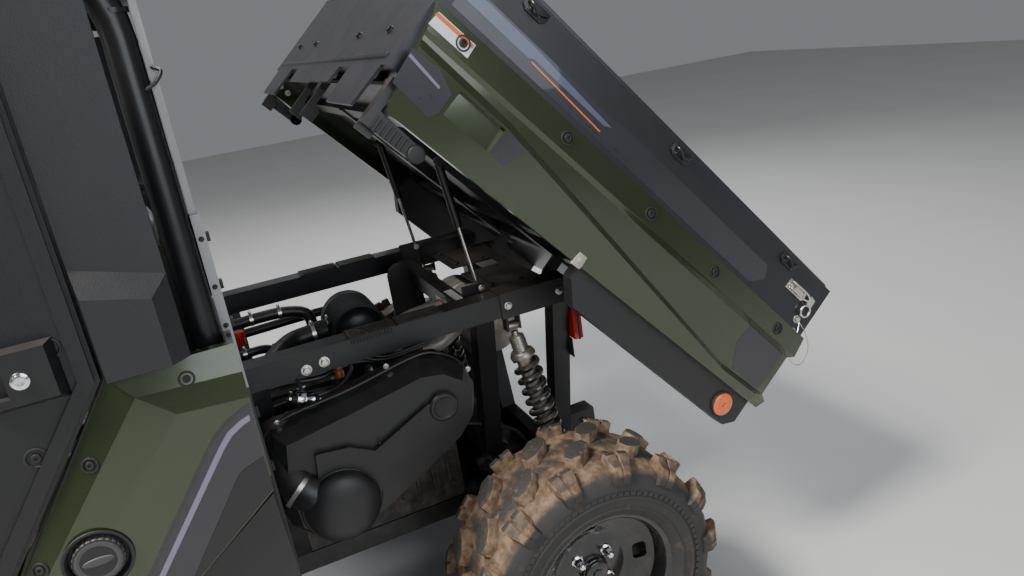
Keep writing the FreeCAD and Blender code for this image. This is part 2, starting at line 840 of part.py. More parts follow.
def build_bulkhead():
    """Rear wall of the cab with its window cut."""
    wall = ("bulkhead_y - bulkhead_thickness", "bulkhead_y")
    sheet_metal = box("bulkhead_sheet", ("-bulkhead_half", "bulkhead_half"), wall, ("floor_height", "door_top"))
    pane = ("bulkhead_y - bulkhead_thickness - 1", "bulkhead_y + 1")
    window = box("bulkhead_window", ("-window_x + 40", "window_x - 40"), pane, ("belt_height + 60", "door_top - 60"))
    node("rear_bulkhead", less("bulkhead_cut", sheet_metal, window))


def build_corner_panels():
    """Textured cab corner mouldings with a faceted block at the foot."""
    inner = "quarter_outer_x - quarter_wall"
    front = "door_back_y + seam_gap"
    back = "cage_rear_y - cage_radius - corner_gap"
    foot = "belt_height + seat_gap"
    panel = box("corner_sheet", (inner, "door_outer_x"), (front, back), (foot, "door_top"))
    facet = lofted("corner_facet", "side", [
        ("door_outer_x", [
            (front, foot),
            (back, foot),
            (back, "belt_height + corner_block_back"),
            (front, "belt_height + corner_block_front"),
        ]),
        ("door_outer_x + corner_step", [
            (f"{front} + corner_bevel * 0.2", foot),
            (f"{back} - corner_bevel", foot),
            (f"{back} - corner_bevel", "belt_height + corner_block_back - corner_bevel"),
            (f"{front} + corner_bevel * 0.2", "belt_height + corner_block_front - corner_bevel * 1.5"),
        ]),
    ])
    node("corner_panels", both_sides("corner_panels_pair", joined("corner_panel", panel, facet)))


def quarter_outline(side, top):
    """The quarter panel's outline, its edge at the door and its top edge drawn in."""
    return [
        (f"door_back_y + seam_gap + {side}", f"belt_height - {top}"),
        ("quarter_back_y", f"belt_height - {top} - quarter_fall * ({top} > 0 ? 1 : 0)"),
        ("quarter_back_y - 4", "quarter_bottom + quarter_corner_rise"),
        ("quarter_corner_y", "quarter_bottom"),
        (f"door_slope_y + seam_gap + {side}", "quarter_bottom"),
    ]


def build_quarters():
    """Green rear quarter panels with two creases, the filler cap and the black inserts below."""
    outer = "quarter_outer_x"
    inner = "quarter_outer_x - quarter_wall"
    gap = "seam_gap"
    skin = lofted("quarter_panel", "side", [
        (inner, quarter_outline("0", "0")),
        (f"{outer} - quarter_crown", quarter_outline("0", "0")),
        (f"{outer} - quarter_crown * 0.3", quarter_outline("quarter_crease * 0.6", "quarter_crease * 0.7")),
        (outer, quarter_outline("quarter_crease * 1.5", "quarter_crease * 1.5")),
    ])
    flange_y = ("bulkhead_y - bulkhead_thickness", "bulkhead_y")
    flange_z = ("quarter_bottom + quarter_corner_rise + 10", "belt_height")
    flange = box("quarter_flange", ("bulkhead_half + seat_gap", inner), flange_y, flange_z)
    panel = joined("quarter_fuse", skin, flange)
    sides = both_sides("quarter_pair", panel)
    filler = ("filler_y", "filler_z")
    recess = rod("filler_recess", "x", filler, "filler_radius", f"{outer} - filler_depth", f"{outer} + 1")
    node("quarter_panels", less("quarter_cut", sides, recess))
    node("fuel_cap", rod("fuel_cap_disc", "x", filler, "cap_radius", f"{outer} - filler_depth", f"{outer} + 6"))
    sill_end = "door_slope_y - door_foot_lead + seam_gap"
    lower = [
        ("quarter_corner_y + 3", f"quarter_bottom - {gap}"),
        ("quarter_back_y - 6", "quarter_bottom + quarter_corner_rise - 15"),
        ("quarter_back_y + 10", "sill_bottom + 60"),
        ("insert_foot_y", "sill_bottom"),
        (sill_end, "sill_bottom"),
        (sill_end, "door_bottom"),
        (f"door_slope_y + {gap}", f"quarter_bottom - {gap}"),
    ]
    insert = profile("lower_insert", "side", lower, inner, "door_outer_x")
    sill_z = ("sill_bottom", f"door_bottom - {gap}")
    sill = box("sill_skin", (inner, "door_outer_x"), ("door_front_y", sill_end), sill_z)
    ledge_x = ("floor_side_x + seat_gap", f"{inner} + 2")
    ledge_z = ("floor_height", "floor_height + floor_thickness")
    ledge = box("sill_ledge", ledge_x, ("sill_front_y + 60", "insert_foot_y"), ledge_z)
    node("sill_panels", both_sides("sill_pair", joined("sill_panel", insert, sill, ledge)))


def build_cab_inside():
    """Floor, firewall and seat box, cushions and dashboard."""
    side = "floor_side_x"
    tub = [
        ("firewall_y", "floor_height"),
        ("seat_box_back_y", "floor_height"),
        ("seat_box_back_y", "seat_box_top"),
        ("seat_box_front_y", "seat_box_top"),
        ("seat_box_front_y", "floor_height + floor_thickness"),
        ("firewall_y + floor_thickness", "floor_height + floor_thickness"),
        ("firewall_y + floor_thickness", "dash_top - 20"),
        ("firewall_y", "dash_top - 20"),
    ]
    node("cab_tub", profile("tub", "side", tub, f"-{side}", side))
    cushions = []
    backs = []
    top = "seat_box_top + soft_gap"
    for i, sign in enumerate((1, -1)):
        low, high = [f"{sign} * (seat_x - cushion_width / 2)", f"{sign} * (seat_x + cushion_width / 2)"][::sign]
        depth = ("seat_box_front_y + 20", "seat_box_front_y + 20 + cushion_depth")
        cushions.append(box(f"cushion_{i}", (low, high), depth, (top, f"{top} + cushion_thickness")))
        rake = [
            ("seat_box_front_y + cushion_depth - 90", f"{top} + cushion_thickness + soft_gap"),
            ("seat_box_front_y + cushion_depth - 8", f"{top} + cushion_thickness + soft_gap"),
            ("cage_rear_y - cage_radius - 8", f"{top} + cushion_thickness + seat_back_height"),
            ("cage_rear_y - cage_radius - 90", f"{top} + cushion_thickness + seat_back_height"),
        ]
        backs.append(profile(f"seat_back_{i}", "side", rake, low, high))
    node("seat_cushions", group("cushion_pair", *cushions))
    node("seat_backs", group("seat_back_pair", *backs))
    face = [
        ("firewall_y + floor_thickness + seat_gap", "dash_bottom"),
        ("dash_back_y - 50", "dash_bottom"),
        ("dash_back_y", "dash_top - 70"),
        ("dash_back_y - 60", "dash_top"),
        ("firewall_y + floor_thickness + seat_gap", "dash_top - 20"),
    ]
    boss = doc.addObject("Part::Cylinder", "column_boss")
    bind(boss, Radius="column_radius + 6", Height="column_boss_length")
    boss.Placement.Rotation = Rotation(Vector(1, 0, 0), size("column_tilt") - 90)
    boss.setExpression("Placement.Rotation.Angle", named("column_tilt - 90"))
    reach = f"({COLUMN_REACH} + 0.5 + column_boss_length)"
    boss_y = f"hand_wheel_y - {reach} * cos(column_tilt * 1 deg)"
    boss_z = f"hand_wheel_z - {reach} * sin(column_tilt * 1 deg)"
    seat(boss, "wheel_hand_x", boss_y, boss_z)
    node("dashboard", joined("dash_fuse", profile("dash", "side", face, f"-{side}", side), boss))


def build_hand_wheel():
    """Steering wheel with its hub, spokes and a short column."""
    radius = size("hand_wheel_radius")
    grip = size("hand_grip_radius")
    rings = []
    for i in range(24):
        turn = 2 * math.pi * i / 24
        outward = Vector(math.cos(turn), math.sin(turn), 0)
        section = [2 * math.pi * (k + 0.5) / 6 for k in range(6)]
        rings.append([outward * (radius + grip * math.cos(a)) + Vector(0, 0, grip * math.sin(a)) for a in section])
    ring = faceted("hand_ring", rings, closed=True)
    shaft = size("column_radius")
    hub = faceted_tube("hand_hub", [(0, 0, -size("hub_depth")), (0, 0, size("hub_rise"))], 2 * shaft, sides=12)
    tilt = math.radians(size("column_tilt"))
    gap = size("column_gap") + shaft
    reach = (size("hand_wheel_y") - size("dash_back_y") - gap) / math.cos(tilt)
    column = faceted_tube("hand_column", [(0, 0, -reach), (0, 0, 0)], shaft, sides=12)
    half = "hand_spoke_width / 2"
    level = ("-hand_grip_radius * 0.45", "hand_grip_radius * 0.45")
    spokes = [
        box("spoke_across", ("-hand_wheel_radius", "hand_wheel_radius"), (f"-{half}", half), level),
        box("spoke_down", (f"-{half}", half), ("-hand_wheel_radius", "0"), level),
    ]
    wheel = joined("hand_wheel", ring, hub, column, *spokes)
    holder = node("steering_wheel", wheel, "wheel_hand_x", "rear_axle_y + hand_wheel_y", "hand_wheel_z")
    holder.Placement.Rotation = Rotation(Vector(1, 0, 0), size("column_tilt") - 90)
    holder.setExpression("Placement.Rotation.Angle", named("column_tilt - 90"))


def build_nose():
    """Hood, fascia with grille slots, fenders, bumper and headlamps."""
    sections = []
    for station, side, top in (
        ("hood_front_y + hood_gap", "hood_front_x", "hood_front_z"),
        ("hood_back_y - hood_gap", "hood_side_x", "hood_back_z"),
    ):
        low = f"{top} - hood_thickness"
        sections.append((station, [(f"-{side}", low), (side, low), (f"{side} - 30", top), (f"-{side} + 30", top)]))
    hood = lofted("hood_shell", "front", sections)
    pin = ("hood_back_y - hood_gap - hood_pin_inset", "hood_back_z - hood_pin_drop")
    bore = rod("hood_bore", "x", pin, "hood_pin_radius + pin_clearance", "-hood_side_x - 1", "hood_side_x + 1")
    node("hood", less("hood_bored", hood, bore))
    back = "fascia_front_y + fascia_thickness"
    face = [
        ("fascia_front_y + 20", "fascia_bottom"),
        (back, "fascia_bottom"),
        (back, "hood_front_z"),
        ("fascia_front_y + 10", "hood_front_z - 20"),
        ("fascia_front_y", "hood_front_z - 120"),
    ]
    plate = profile("fascia", "side", face, "-640", "640")
    through = ("fascia_front_y - 1", f"{back} + 1")
    slots = []
    for i in range(int(size("grille_slots"))):
        low = f"fascia_bottom + 40 + {i} * grille_pitch"
        slot_z = (low, f"{low} + grille_slot_height")
        slots.append(box(f"grille_slot_{i}", ("-grille_half_width", "grille_half_width"), through, slot_z))
    lamps = []
    for side, sign in (("left", 1), ("right", -1)):
        for fit, pieces, deep in (("0", slots, through), ("seat_gap", lamps, ("fascia_front_y + 12", back))):
            edges = [f"{sign} * (lamp_x {way} (lamp_width / 2 - {fit}))" for way in "-+"][::sign]
            levels = [f"lamp_z {way} (lamp_height / 2 - {fit})" for way in "-+"]
            pieces.append(box(f"lamp_{side}_{len(pieces)}", edges, deep, levels))
    node("front_fascia", less("fascia_cut", plate, *slots))
    node("headlamps", group("headlamp_pair", *lamps))
    outer = "fender_outer_x"
    top = [
        (f"{back} + seat_gap", "fascia_bottom + 150"),
        (f"{back} + seat_gap", "hood_front_z"),
        ("door_front_y - seam_gap", "hood_back_z"),
        ("door_front_y - seam_gap", "sill_bottom"),
        ("door_front_y - 40", "sill_bottom"),
    ]
    wing = profile("fender_side", "side", top, "hood_side_x + hood_gap", outer)
    hollow = box(
        "fender_hollow",
        ("hood_side_x + hood_gap + fender_thickness", f"{outer} - fender_thickness"),
        (f"{back} + fender_thickness", "door_front_y - seam_gap - fender_thickness"),
        ("0", "hood_front_z - fender_thickness"),
    )
    station = -size("wheelbase")
    level = size("tyre_radius") + 20
    ends = [(x, station, level) for x in (size("hood_side_x"), size("fender_outer_x") + 1)]
    arch = faceted_tube("fender_arch", ends, size("arch_radius"), sides=24)
    pockets = []
    fixed = []
    for i, level in enumerate(HINGE_LEVELS):
        middle = f"{level} + hinge_barrel_length"
        span = (f"{level} - 3", f"{level} + 2 * hinge_barrel_length + 3")
        back_edge = ("door_front_y - seam_gap - hinge_barrel_radius - 3", "door_front_y")
        pockets.append(box(f"hinge_pocket_{i}", ("door_outer_x - 16", f"{outer} + 1"), back_edge, span))
        axis = ("door_outer_x + hinge_offset", "door_front_y - seam_gap / 2")
        low = (level, f"{middle} - 0.5")
        fixed.append(rod(f"hinge_low_{i}", "z", axis, "hinge_barrel_radius", *low))
        fixed.append(rod(f"hinge_rod_{i}", "z", axis, "hinge_rod_radius", level, f"{middle} + hinge_barrel_length - 3"))
        web = ("door_front_y - seam_gap - hinge_barrel_radius - 6", "door_front_y - seam_gap / 2")
        fixed.append(box(f"hinge_leaf_{i}", ("door_outer_x", "door_outer_x + hinge_barrel_radius"), web, low))
    fixed.append(rod("hood_pin", "x", pin, "hood_pin_radius", "hood_side_x - 25", "hood_side_x + hood_gap + 5"))
    shell = less("fender_cut", wing, hollow, arch, *pockets)
    node("front_fenders", both_sides("fender_pair", joined("fender_fuse", shell, *fixed)))
    half = size("bumper_half_width")
    y = size("bumper_y")
    foot = size("bumper_foot")
    crest = size("bumper_crest")
    radius = size("bumper_radius")
    left = [(half, y + 60, foot - 10), (half, y, crest - 120), (half - 60, y, crest)]
    loop = [*left, *((-x, y, z) for x, y, z in reversed(left))]
    upper = faceted_tube("bumper_loop", loop, radius, 60, 10)
    lower = faceted_tube("bumper_low", [(-half, y + 60, foot), (half, y + 60, foot)], radius, sides=10)
    stays = []
    rail = size("ground_clearance") + size("main_rail_height") / 2 + 1
    nose = size("frame_front_y")
    for i, sign in enumerate((1, -1)):
        x = sign * size("main_rail_x")
        stay = [(x, y + 60, foot), (x, nose - 50, rail), (x, nose - size("seat_gap"), rail)]
        stays.append(faceted_tube(f"bumper_stay_{i}", stay, radius, 25, 10))
    node("front_bumper", joined("bumper_fuse", upper, lower, *stays))


def lug_rows(width):
    """Stations round a tyre's section, each (x, radius at the even facets, radius at the odd ones)."""
    half = width / 2
    crest = size("tyre_radius") / math.cos(math.pi / (2 * size("lug_count")))
    tread = crest - size("lug_height")
    bead = size("bead_radius") + size("bead_fit")
    flange = size("rim_flange_radius") + 1
    edge = size("lug_inner_gap")
    split = edge + size("lug_length")
    wall = tread - size("lug_shoulder_drop")
    shoulder = size("lug_shoulder_drop") * 0.8
    rows = (
        (half - 26, bead, bead),
        (half - 26, flange, flange),
        (half - 2, bead + 45, bead + 45),
        (half - 4, wall, wall),
        (half - 4, wall, crest - shoulder),
        (split + 8, tread - 4, crest - 3),
        (split + 8, tread - 4, tread - 4),
        (split, tread - 2, tread - 2),
        (split, crest - 1, tread - 2),
        (edge, crest, tread),
        (edge, tread, tread),
    )
    far = [(-x, odd, even) for x, even, odd in reversed(rows)]
    inside = [(-half + 42, bead), (-half + 36, tread - 26), (half - 36, tread - 26), (half - 42, bead)]
    return [*rows, *far, *((x, radius, radius) for x, radius in inside)]


def knobby_tyre(name, width):
    """A tyre whose lugs take turns from row to row, each a facet of the tread that stands proud."""
    rows = lug_rows(width)
    sectors = 2 * int(size("lug_count"))
    angles = [2 * math.pi * (i - 0.5) / sectors for i in range(sectors)]

    def corner(x, radius, i):
        angle = angles[i % sectors]
        return Vector(x, radius * math.sin(angle), -radius * math.cos(angle))

    loops = []
    for first, second in zip(rows, rows[1:] + rows[:1]):
        for i in range(sectors):
            a, b = first[1 + i % 2], second[1 + i % 2]
            if (first[0], a) != (second[0], b):
                loops.append([corner(first[0], a, i), corner(first[0], a, i + 1),
                              corner(second[0], b, i + 1), corner(second[0], b, i)])
            c, d = first[2 - i % 2], second[2 - i % 2]
            if first[0] != second[0] and (a, b) != (c, d):
                edge = ((first[0], a), (second[0], b), (second[0], d), (first[0], c))
                flank = [corner(*place, i) for place in edge]
                loops.append([point for k, point in enumerate(flank) if point != flank[k - 1]])
    return solid_of(name, loops)


WHEEL_COLUMNS = ("axle", "width", "x", "y")
WHEEL_TABLE = (
    ("rear", "rear_tyre_width", "rear_wheel_x", "0"),
    ("front", "front_tyre_width", "front_wheel_x", "-wheelbase"),
)


def wheel_parts(name, width):
    """A knobby tyre and its dished rim, their axle along X and the vehicle's outside towards +X."""
    tyre = knobby_tyre(f"{name}_carcass", width)
    half = width / 2
    disc = size("rim_disc_x")
    face = disc + size("rim_disc_thickness")
    wall = size("bead_radius") - size("rim_wall")
    hub = size("hub_radius")
    lip = half - 26 + size("rim_flange_width")
    seat_x = half - 26 + 0.3
    flange = size("rim_flange_radius")
    bead = size("bead_radius")
    barrel = [
        (face, hub + 50),
        (face + 20, wall),
        (lip, wall),
        (lip, flange),
        (seat_x, flange),
        (seat_x, bead),
        (-seat_x, bead),
        (-seat_x, flange),
        (-lip, flange),
        (-lip, wall),
        (disc + 20, wall),
        (disc, hub + 50),
    ]
    drum = faceted(f"{name}_barrel", spun(barrel, int(size("lug_count")), turn=0.25))
    hub_part = faceted(f"{name}_hub", spun([(disc - size("hub_reach"), hub), (face + 24, hub - 4)], 12))
    window = box(
        f"{name}_rim_window",
        ("rim_disc_x - 5", "rim_disc_x + 60"),
        ("-rim_window_radius", "rim_window_radius"),
        ("rim_window_circle - rim_window_radius * 0.8", "rim_window_circle + rim_window_radius * 0.8"),
    )
    nut = doc.addObject("Part::Prism", f"{name}_nut")
    nut.Polygon = 6
    nut.Placement = Placement(Vector(), Rotation(Vector(0, 1, 0), 90))
    bind(nut, Circumradius="wheel_nut_radius", Height="wheel_nut_reach")
    seat(nut, "rim_disc_x", "0", "wheel_bolt_circle / 2")
    return tyre, joined(f"{name}_rim", drum, hub_part), window, nut


def ring_of(name, piece, count, start=0):
    """Copies of a piece evenly about the X axis."""
    copies = []
    for i in range(count):
        copy = group(f"{name}_{i}", piece)
        copy.Placement = Placement(Vector(), Rotation(Vector(1, 0, 0), start + 360.0 * i / count))
        copies.append(copy)
    return copies


def build_wheels():
    """The four tyres and rims."""
    for row in WHEEL_TABLE:
        axle = dict(zip(WHEEL_COLUMNS, row))
        name = axle["axle"]
        tyre, rim, window, nut = wheel_parts(name, size(axle["width"]))
        windows = ring_of(f"{name}_window", window, int(size("rim_window_count")))
        nuts = ring_of(f"{name}_nuts", nut, 4, 45)
        finished = joined(f"{name}_rim_done", less(f"{name}_rim_cut", rim, *windows), *nuts)
        for side, sign in (("left", 1), ("right", -1)):
            for kind, thing in (("tyre", tyre), ("rim", finished)):
                place = (f"{sign} * {axle['x']}", f"rear_axle_y + {axle['y']}", "axle_height")
                holder = node(f"{kind}_{name}_{side}", thing, *place)
                if sign < 0:
                    holder.Placement.Rotation = Rotation(Vector(0, 0, 1), 180)


ARM_COLUMNS = ("axle", "station", "level", "front_leg", "back_leg", "face", "inner_z", "ball_x", "ball_z")
ARM_TABLE = (
    ("rear", "0", "low", "rear_low_front_y", "rear_low_back_y", "rail", "arm_low_z", "rear_ball_x", "hub_low_z"),
    ("rear", "0", "high", "rear_high_front_y", "rear_high_back_y", "post", "arm_high_z", "rear_ball_x", "hub_high_z"),
    ("front", "-wheelbase", "low", "front_leg_y", "back_leg_y", "rail", "arm_low_z", "kingpin_x", "hub_low_z"),
    ("front", "-wheelbase", "high", "front_leg_y", "back_leg_y", "rail", "arm_high_z", "kingpin_x", "hub_high_z"),
)


def frame_face(face, z):
    """How far out the frame's side lies at a height: its upright face, or its leaning posts."""
    foot = size("main_rail_x") + size("main_rail_width") / 2
    if face == "rail":
        return foot
    low = size("ground_clearance") + size("main_rail_height")
    high = size("rail_top") - size("rail_height")
    head = (size("rail_inner_x") + size("rail_outer_x") + size("post_width")) / 2
    return foot + (head - foot) * (z - low) / (high - low)


def wishbone(row, sign):
    """One suspension arm: two legs from bushes on the frame to the ball joint at the hub."""
    name = f"{row['axle']}_{row['level']}_{'left' if sign > 0 else 'right'}"
    station = -size("wheelbase") if row["axle"] == "front" else 0.0
    z = size(row["inner_z"])
    lean = math.cos(math.pi / 8) if row["face"] == "post" else 1
    inner = sign * (frame_face(row["face"], z) + size("bush_radius") / lean + size("seat_gap"))
    pieces = []
    for leg in ("front_leg", "back_leg"):
        y = station + size(row[leg])
        end = (sign * size(row["ball_x"]), station, size(row["ball_z"]))
        pieces.append(faceted_tube(f"{name}_{leg}", [(inner, y, z), end], size("arm_radius"), sides=6))
        half = size("bush_length") / 2
        ends = [(inner, y - half, z), (inner, y + half, z)]
        pieces.append(faceted_tube(f"{name}_{leg}_bush", ends, size("bush_radius"), sides=8))
    rise = size("ball_height") / 2
    ends = [(sign * size(row["ball_x"]), station, size(row["ball_z"]) + way * rise) for way in (-1, 1)]
    pieces.append(faceted_tube(f"{name}_ball", ends, size("ball_radius")))
    if row["level"] == "low":
        foot_y = "rear_shock_foot_y" if row["axle"] == "rear" else "front_shock_y"
        span = [f"{sign} * arm_plate_x", f"{sign} * (arm_plate_x + arm_plate_width)"][::sign]
        edge = "arm_plate_lip" if row["axle"] == "rear" else "-arm_plate_lip"
        across = [row["station"], f"{row['station']} + {foot_y} + {edge}"]
        if row["axle"] == "front":
            across.reverse()
        top = f"{row['ball_z']} + arm_plate_rise"
        pieces.append(box(f"{name}_plate", span, across, (f"{top} - arm_plate_thickness", top)))
        for i, lead in enumerate((-1, 1)):
            near = f"{row['station']} + {foot_y} + {lead} * (shock_eye_half + seat_gap)"
            ear = [near, f"{near} + {lead} * clevis_thickness"][::lead]
            ear_x = [f"{sign} * (shock_foot_x - shock_eye_radius)", f"{sign} * (shock_foot_x + shock_eye_radius)"]
            pieces.append(box(f"{name}_ear_{i}", ear_x[::sign], ear, (f"{top} - 1", f"{top} + shock_foot_rise")))
    return joined(name, *pieces)


def coil_over(name, head, foot, sign):
    """A damper with its coil, between eyes that turn along Y."""
    top = Vector(sign * head[0], head[1], head[2])
    low = Vector(sign * foot[0], foot[1], foot[2])
    along = low - top
    length = along.Length
    half = size("shock_eye_half")
    pieces = []
    for i, centre in enumerate((top, low)):
        ends = [(centre.x, centre.y - half, centre.z), (centre.x, centre.y + half, centre.z)]
        pieces.append(faceted_tube(f"{name}_eye_{i}", ends, size("shock_eye_radius"), sides=8))
    coil = size("coil_radius")
    core = coil - 2 * size("coil_wire")
    body = size("damper_radius")
    outline = [(0, body * 0.5), (0.05, body * 0.5), (0.05, body), (0.13, body), (0.13, coil), (0.16, coil)]
    start = 0.17
    turns = int(size("coil_turns"))
    pitch = (0.80 - start) / turns
    for i in range(turns):
        here = start + pitch * i
        outline += [(here, core), (here + pitch * 0.3, coil), (here + pitch * 0.7, coil)]
    outline += [(0.80, core), (0.81, coil), (0.835, body * 0.6), (1.0, body * 0.6)]
    place = Placement(top, Rotation(Vector(1, 0, 0), along))
    pieces.append(faceted(f"{name}_body", spun([(share * length, r) for share, r in outline], 8, place)))
    return joined(name, *pieces)


def build_suspension():
    """Wishbones and coil-overs on the frame."""
    arms = []
    for values in ARM_TABLE:
        row = dict(zip(ARM_COLUMNS, values))
        for sign in (1, -1):
            arms.append(wishbone(row, sign))
    node("suspension_arms", group("all_arms", *arms))
    shocks = []
    foot_z = size("hub_low_z") + size("arm_plate_rise") + size("shock_foot_rise") - size("shock_eye_radius")
    head_z = size("rail_top") - size("rail_height") - size("shock_head_drop")
    front = -size("wheelbase") + size("front_shock_y")
    for sign in (1, -1):
        head = (size("rear_shock_head"), size("rear_shock_head_y"), head_z)
        foot = (size("shock_foot_x"), size("rear_shock_foot_y"), foot_z)
        shocks.append(coil_over(f"rear_shock_{'left' if sign > 0 else 'right'}", head, foot, sign))
        head = (size("front_shock_head"), front, size("front_shock_head_z"))
        foot = (size("shock_foot_x"), front, foot_z)
        shocks.append(coil_over(f"front_shock_{'left' if sign > 0 else 'right'}", head, foot, sign))
    node("coil_overs", group("all_shocks", *shocks))


def build_drive():
    """Final drives with their half shafts, and the rear knuckles."""
    pieces = []
    height = size("diff_height")
    hub = size("axle_height")
    ends = (
        ("rear", 0.0, size("rear_ball_x") + size("ball_radius") - size("boot_end_gap")),
        ("front", -size("wheelbase"), size("kingpin_x") - size("boot_gap")),
    )
    for axle, station, end in ends:
        middle = size("diff_half")
        case = [(-middle, station, height), (middle, station, height)]
        parts = [faceted_tube(f"{axle}_diff", case, size("diff_radius"), sides=12)]
        for i, sign in enumerate((1, -1)):
            start = Vector(sign * (middle - 5), station, height)
            stop = Vector(sign * end, station, hub)
            boot = (stop - start).normalize() * size("boot_length")
            start = Vector(sign * (middle - 5), station, height)
            parts.append(faceted_tube(f"{axle}_shaft_{i}", [start, stop], size("shaft_radius")))
            parts.append(faceted_tube(f"{axle}_inner_boot_{i}", [start, start + boot], size("boot_radius")))
            parts.append(faceted_tube(f"{axle}_outer_boot_{i}", [stop - boot, stop], size("boot_radius")))
        pieces.append(joined(f"{axle}_drive", *parts))
    node("axle_shafts", group("both_drives", *pieces))
    plate = ("rear_ball_x + ball_radius + seat_gap", "rear_ball_x + ball_radius + seat_gap + knuckle_plate")
    hub_face = "rear_wheel_x + rim_disc_x - hub_reach - hub_face_gap"
    knuckle = joined(
        "rear_knuckle",
        box("rear_knuckle_plate", plate, ("-carrier_radius", "carrier_radius"), ("hub_low_z - 15", "hub_high_z + 15")),
        rod("rear_carrier", "x", ("0", "axle_height"), "carrier_radius", plate[0], hub_face),
    )
    node("rear_knuckles", both_sides("rear_knuckle_pair", knuckle))


def build_steering():
    """Front knuckles with their steering arms, the rack with its tie rods, and the rack's housing."""
    station = "-wheelbase"
    low = "hub_low_z + ball_height / 2 + 1"
    high = "hub_high_z - ball_height / 2 - 1"
    hub_face = "front_wheel_x + rim_disc_x - hub_reach - hub_face_gap"
    arm_x = ("kingpin_x - steer_arm_width / 2", "kingpin_x + steer_arm_width / 2")
    arm_y = (station, f"{station} + steer_arm + steer_arm_width / 2")
    knuckle = joined(
        "front_knuckle",
        rod("kingpin_post", "z", ("kingpin_x", station), "kingpin_radius", low, high),
        rod("front_carrier", "x", (station, "axle_height"), "carrier_radius", "kingpin_x", hub_face),
        box("steer_arm_bar", arm_x, arm_y, ("steer_arm_low", "steer_arm_low + steer_arm_thickness")),
    )
    node("knuckle_front_left", knuckle)
    node("knuckle_front_right", mirrored("front_knuckle_mirror", knuckle))
    line = (f"{station} + tie_rod_y", RACK_LEVEL)
    bar = rod("rack_bar", "x", line, "rack_radius", "-rack_half", "rack_half")
    rods = rod("tie_rods", "x", line, "tie_rod_radius", "-kingpin_x", "kingpin_x")
    pieces = [bar, rods]
    for i, sign in enumerate((1, -1)):
        end = (f"{sign} * kingpin_x", line[0])
        levels = [f"{RACK_LEVEL} {way} (tie_rod_radius + 2)" for way in "-+"]
        pieces.append(rod(f"tie_end_{i}", "z", end, "tie_end_radius", *levels))
    node("steering_rack", joined("rack_fuse", *pieces))


def strut_parts():
    """Length and lean of a gas strut at rest, from its foot on the frame to its head on the bed."""
    tilt = math.radians(size("bed_tilt"))
    y = size("strut_head_y")
    z = size("strut_head_z")
    head_y = size("hinge_y") + y * math.cos(tilt) + z * math.sin(tilt)
    head_z = size("hinge_z") - y * math.sin(tilt) + z * math.cos(tilt)
    head = Vector(0, head_y, head_z)
    foot = Vector(0, size("strut_foot_y"), size("strut_foot_z"))
    return head, foot


def build_struts():
    """Gas struts: a hollow barrel hung from the bed and a rod down to the frame, on each side."""
    head, foot = strut_parts()
    reach = (head - foot).Length
    along = (foot - head).normalize()
    eye = size("strut_eye_radius")
    half = size("strut_eye_width") / 2
    barrel = size("strut_barrel_length")
    radius = size("strut_barrel_radius")
    rod_radius = size("strut_rod_radius")
    pin = size("strut_pin_radius") + size("pin_clearance")
    for side, sign in (("left", 1), ("right", -1)):
        x = sign * size("strut_x")
        top = head + Vector(x, 0, 0)
        low = foot + Vector(x, 0, 0)
        across = Vector(1, 0, 0)

        def cylinder(start, direction, length, r):
            return Part.makeCylinder(r, length, start, direction)

        shell = cylinder(top + along * eye * 0.8, along, barrel - eye * 0.8, radius)
        shell = shell.fuse(cylinder(top - across * half, across, 2 * half, eye))
        shell = shell.cut(cylinder(top + along * (eye + 6), along, barrel, rod_radius + size("pin_clearance")))
        shell = shell.cut(cylinder(top - across * (half + 1), across, 2 * half + 2, pin))
        holder = doc.addObject("Part::Feature", f"strut_barrel_{side}_shape")
        holder.Shape = shell
        node(f"strut_barrel_{side}", holder)
        inner = top + along * (barrel - 22)
        stem = cylinder(inner, along, (low - inner).Length - eye * 0.8, rod_radius)
        stem = stem.fuse(cylinder(low - across * half, across, 2 * half, eye))
        stem = stem.cut(cylinder(low - across * (half + 1), across, 2 * half + 2, pin))
        holder = doc.addObject("Part::Feature", f"strut_rod_{side}_shape")
        holder.Shape = stem
        node(f"strut_rod_{side}", holder)


# Corners of the belt cover and of the arm raised on it, as (y, z)
COVER_MIDDLE = (-400, 700)
COVER_EDGE = (
    (-612, 805),
    (-420, 838),
    (-263, 868),
    (-205, 858),
    (-160, 824),
    (-143, 776),
    (-150, 722),
    (-190, 676),
    (-300, 612),
    (-420, 549),
    (-500, 528),
    (-581, 536),
    (-622, 580),
    (-630, 700),
)
COVER_ARM = (
    (-544, 760),
    (-470, 752),
    (-414, 722),
    (-275, 790),
    (-235, 792),
    (-210, 766),
    (-222, 728),
    (-393, 660),
    (-430, 600),
    (-560, 610),
)


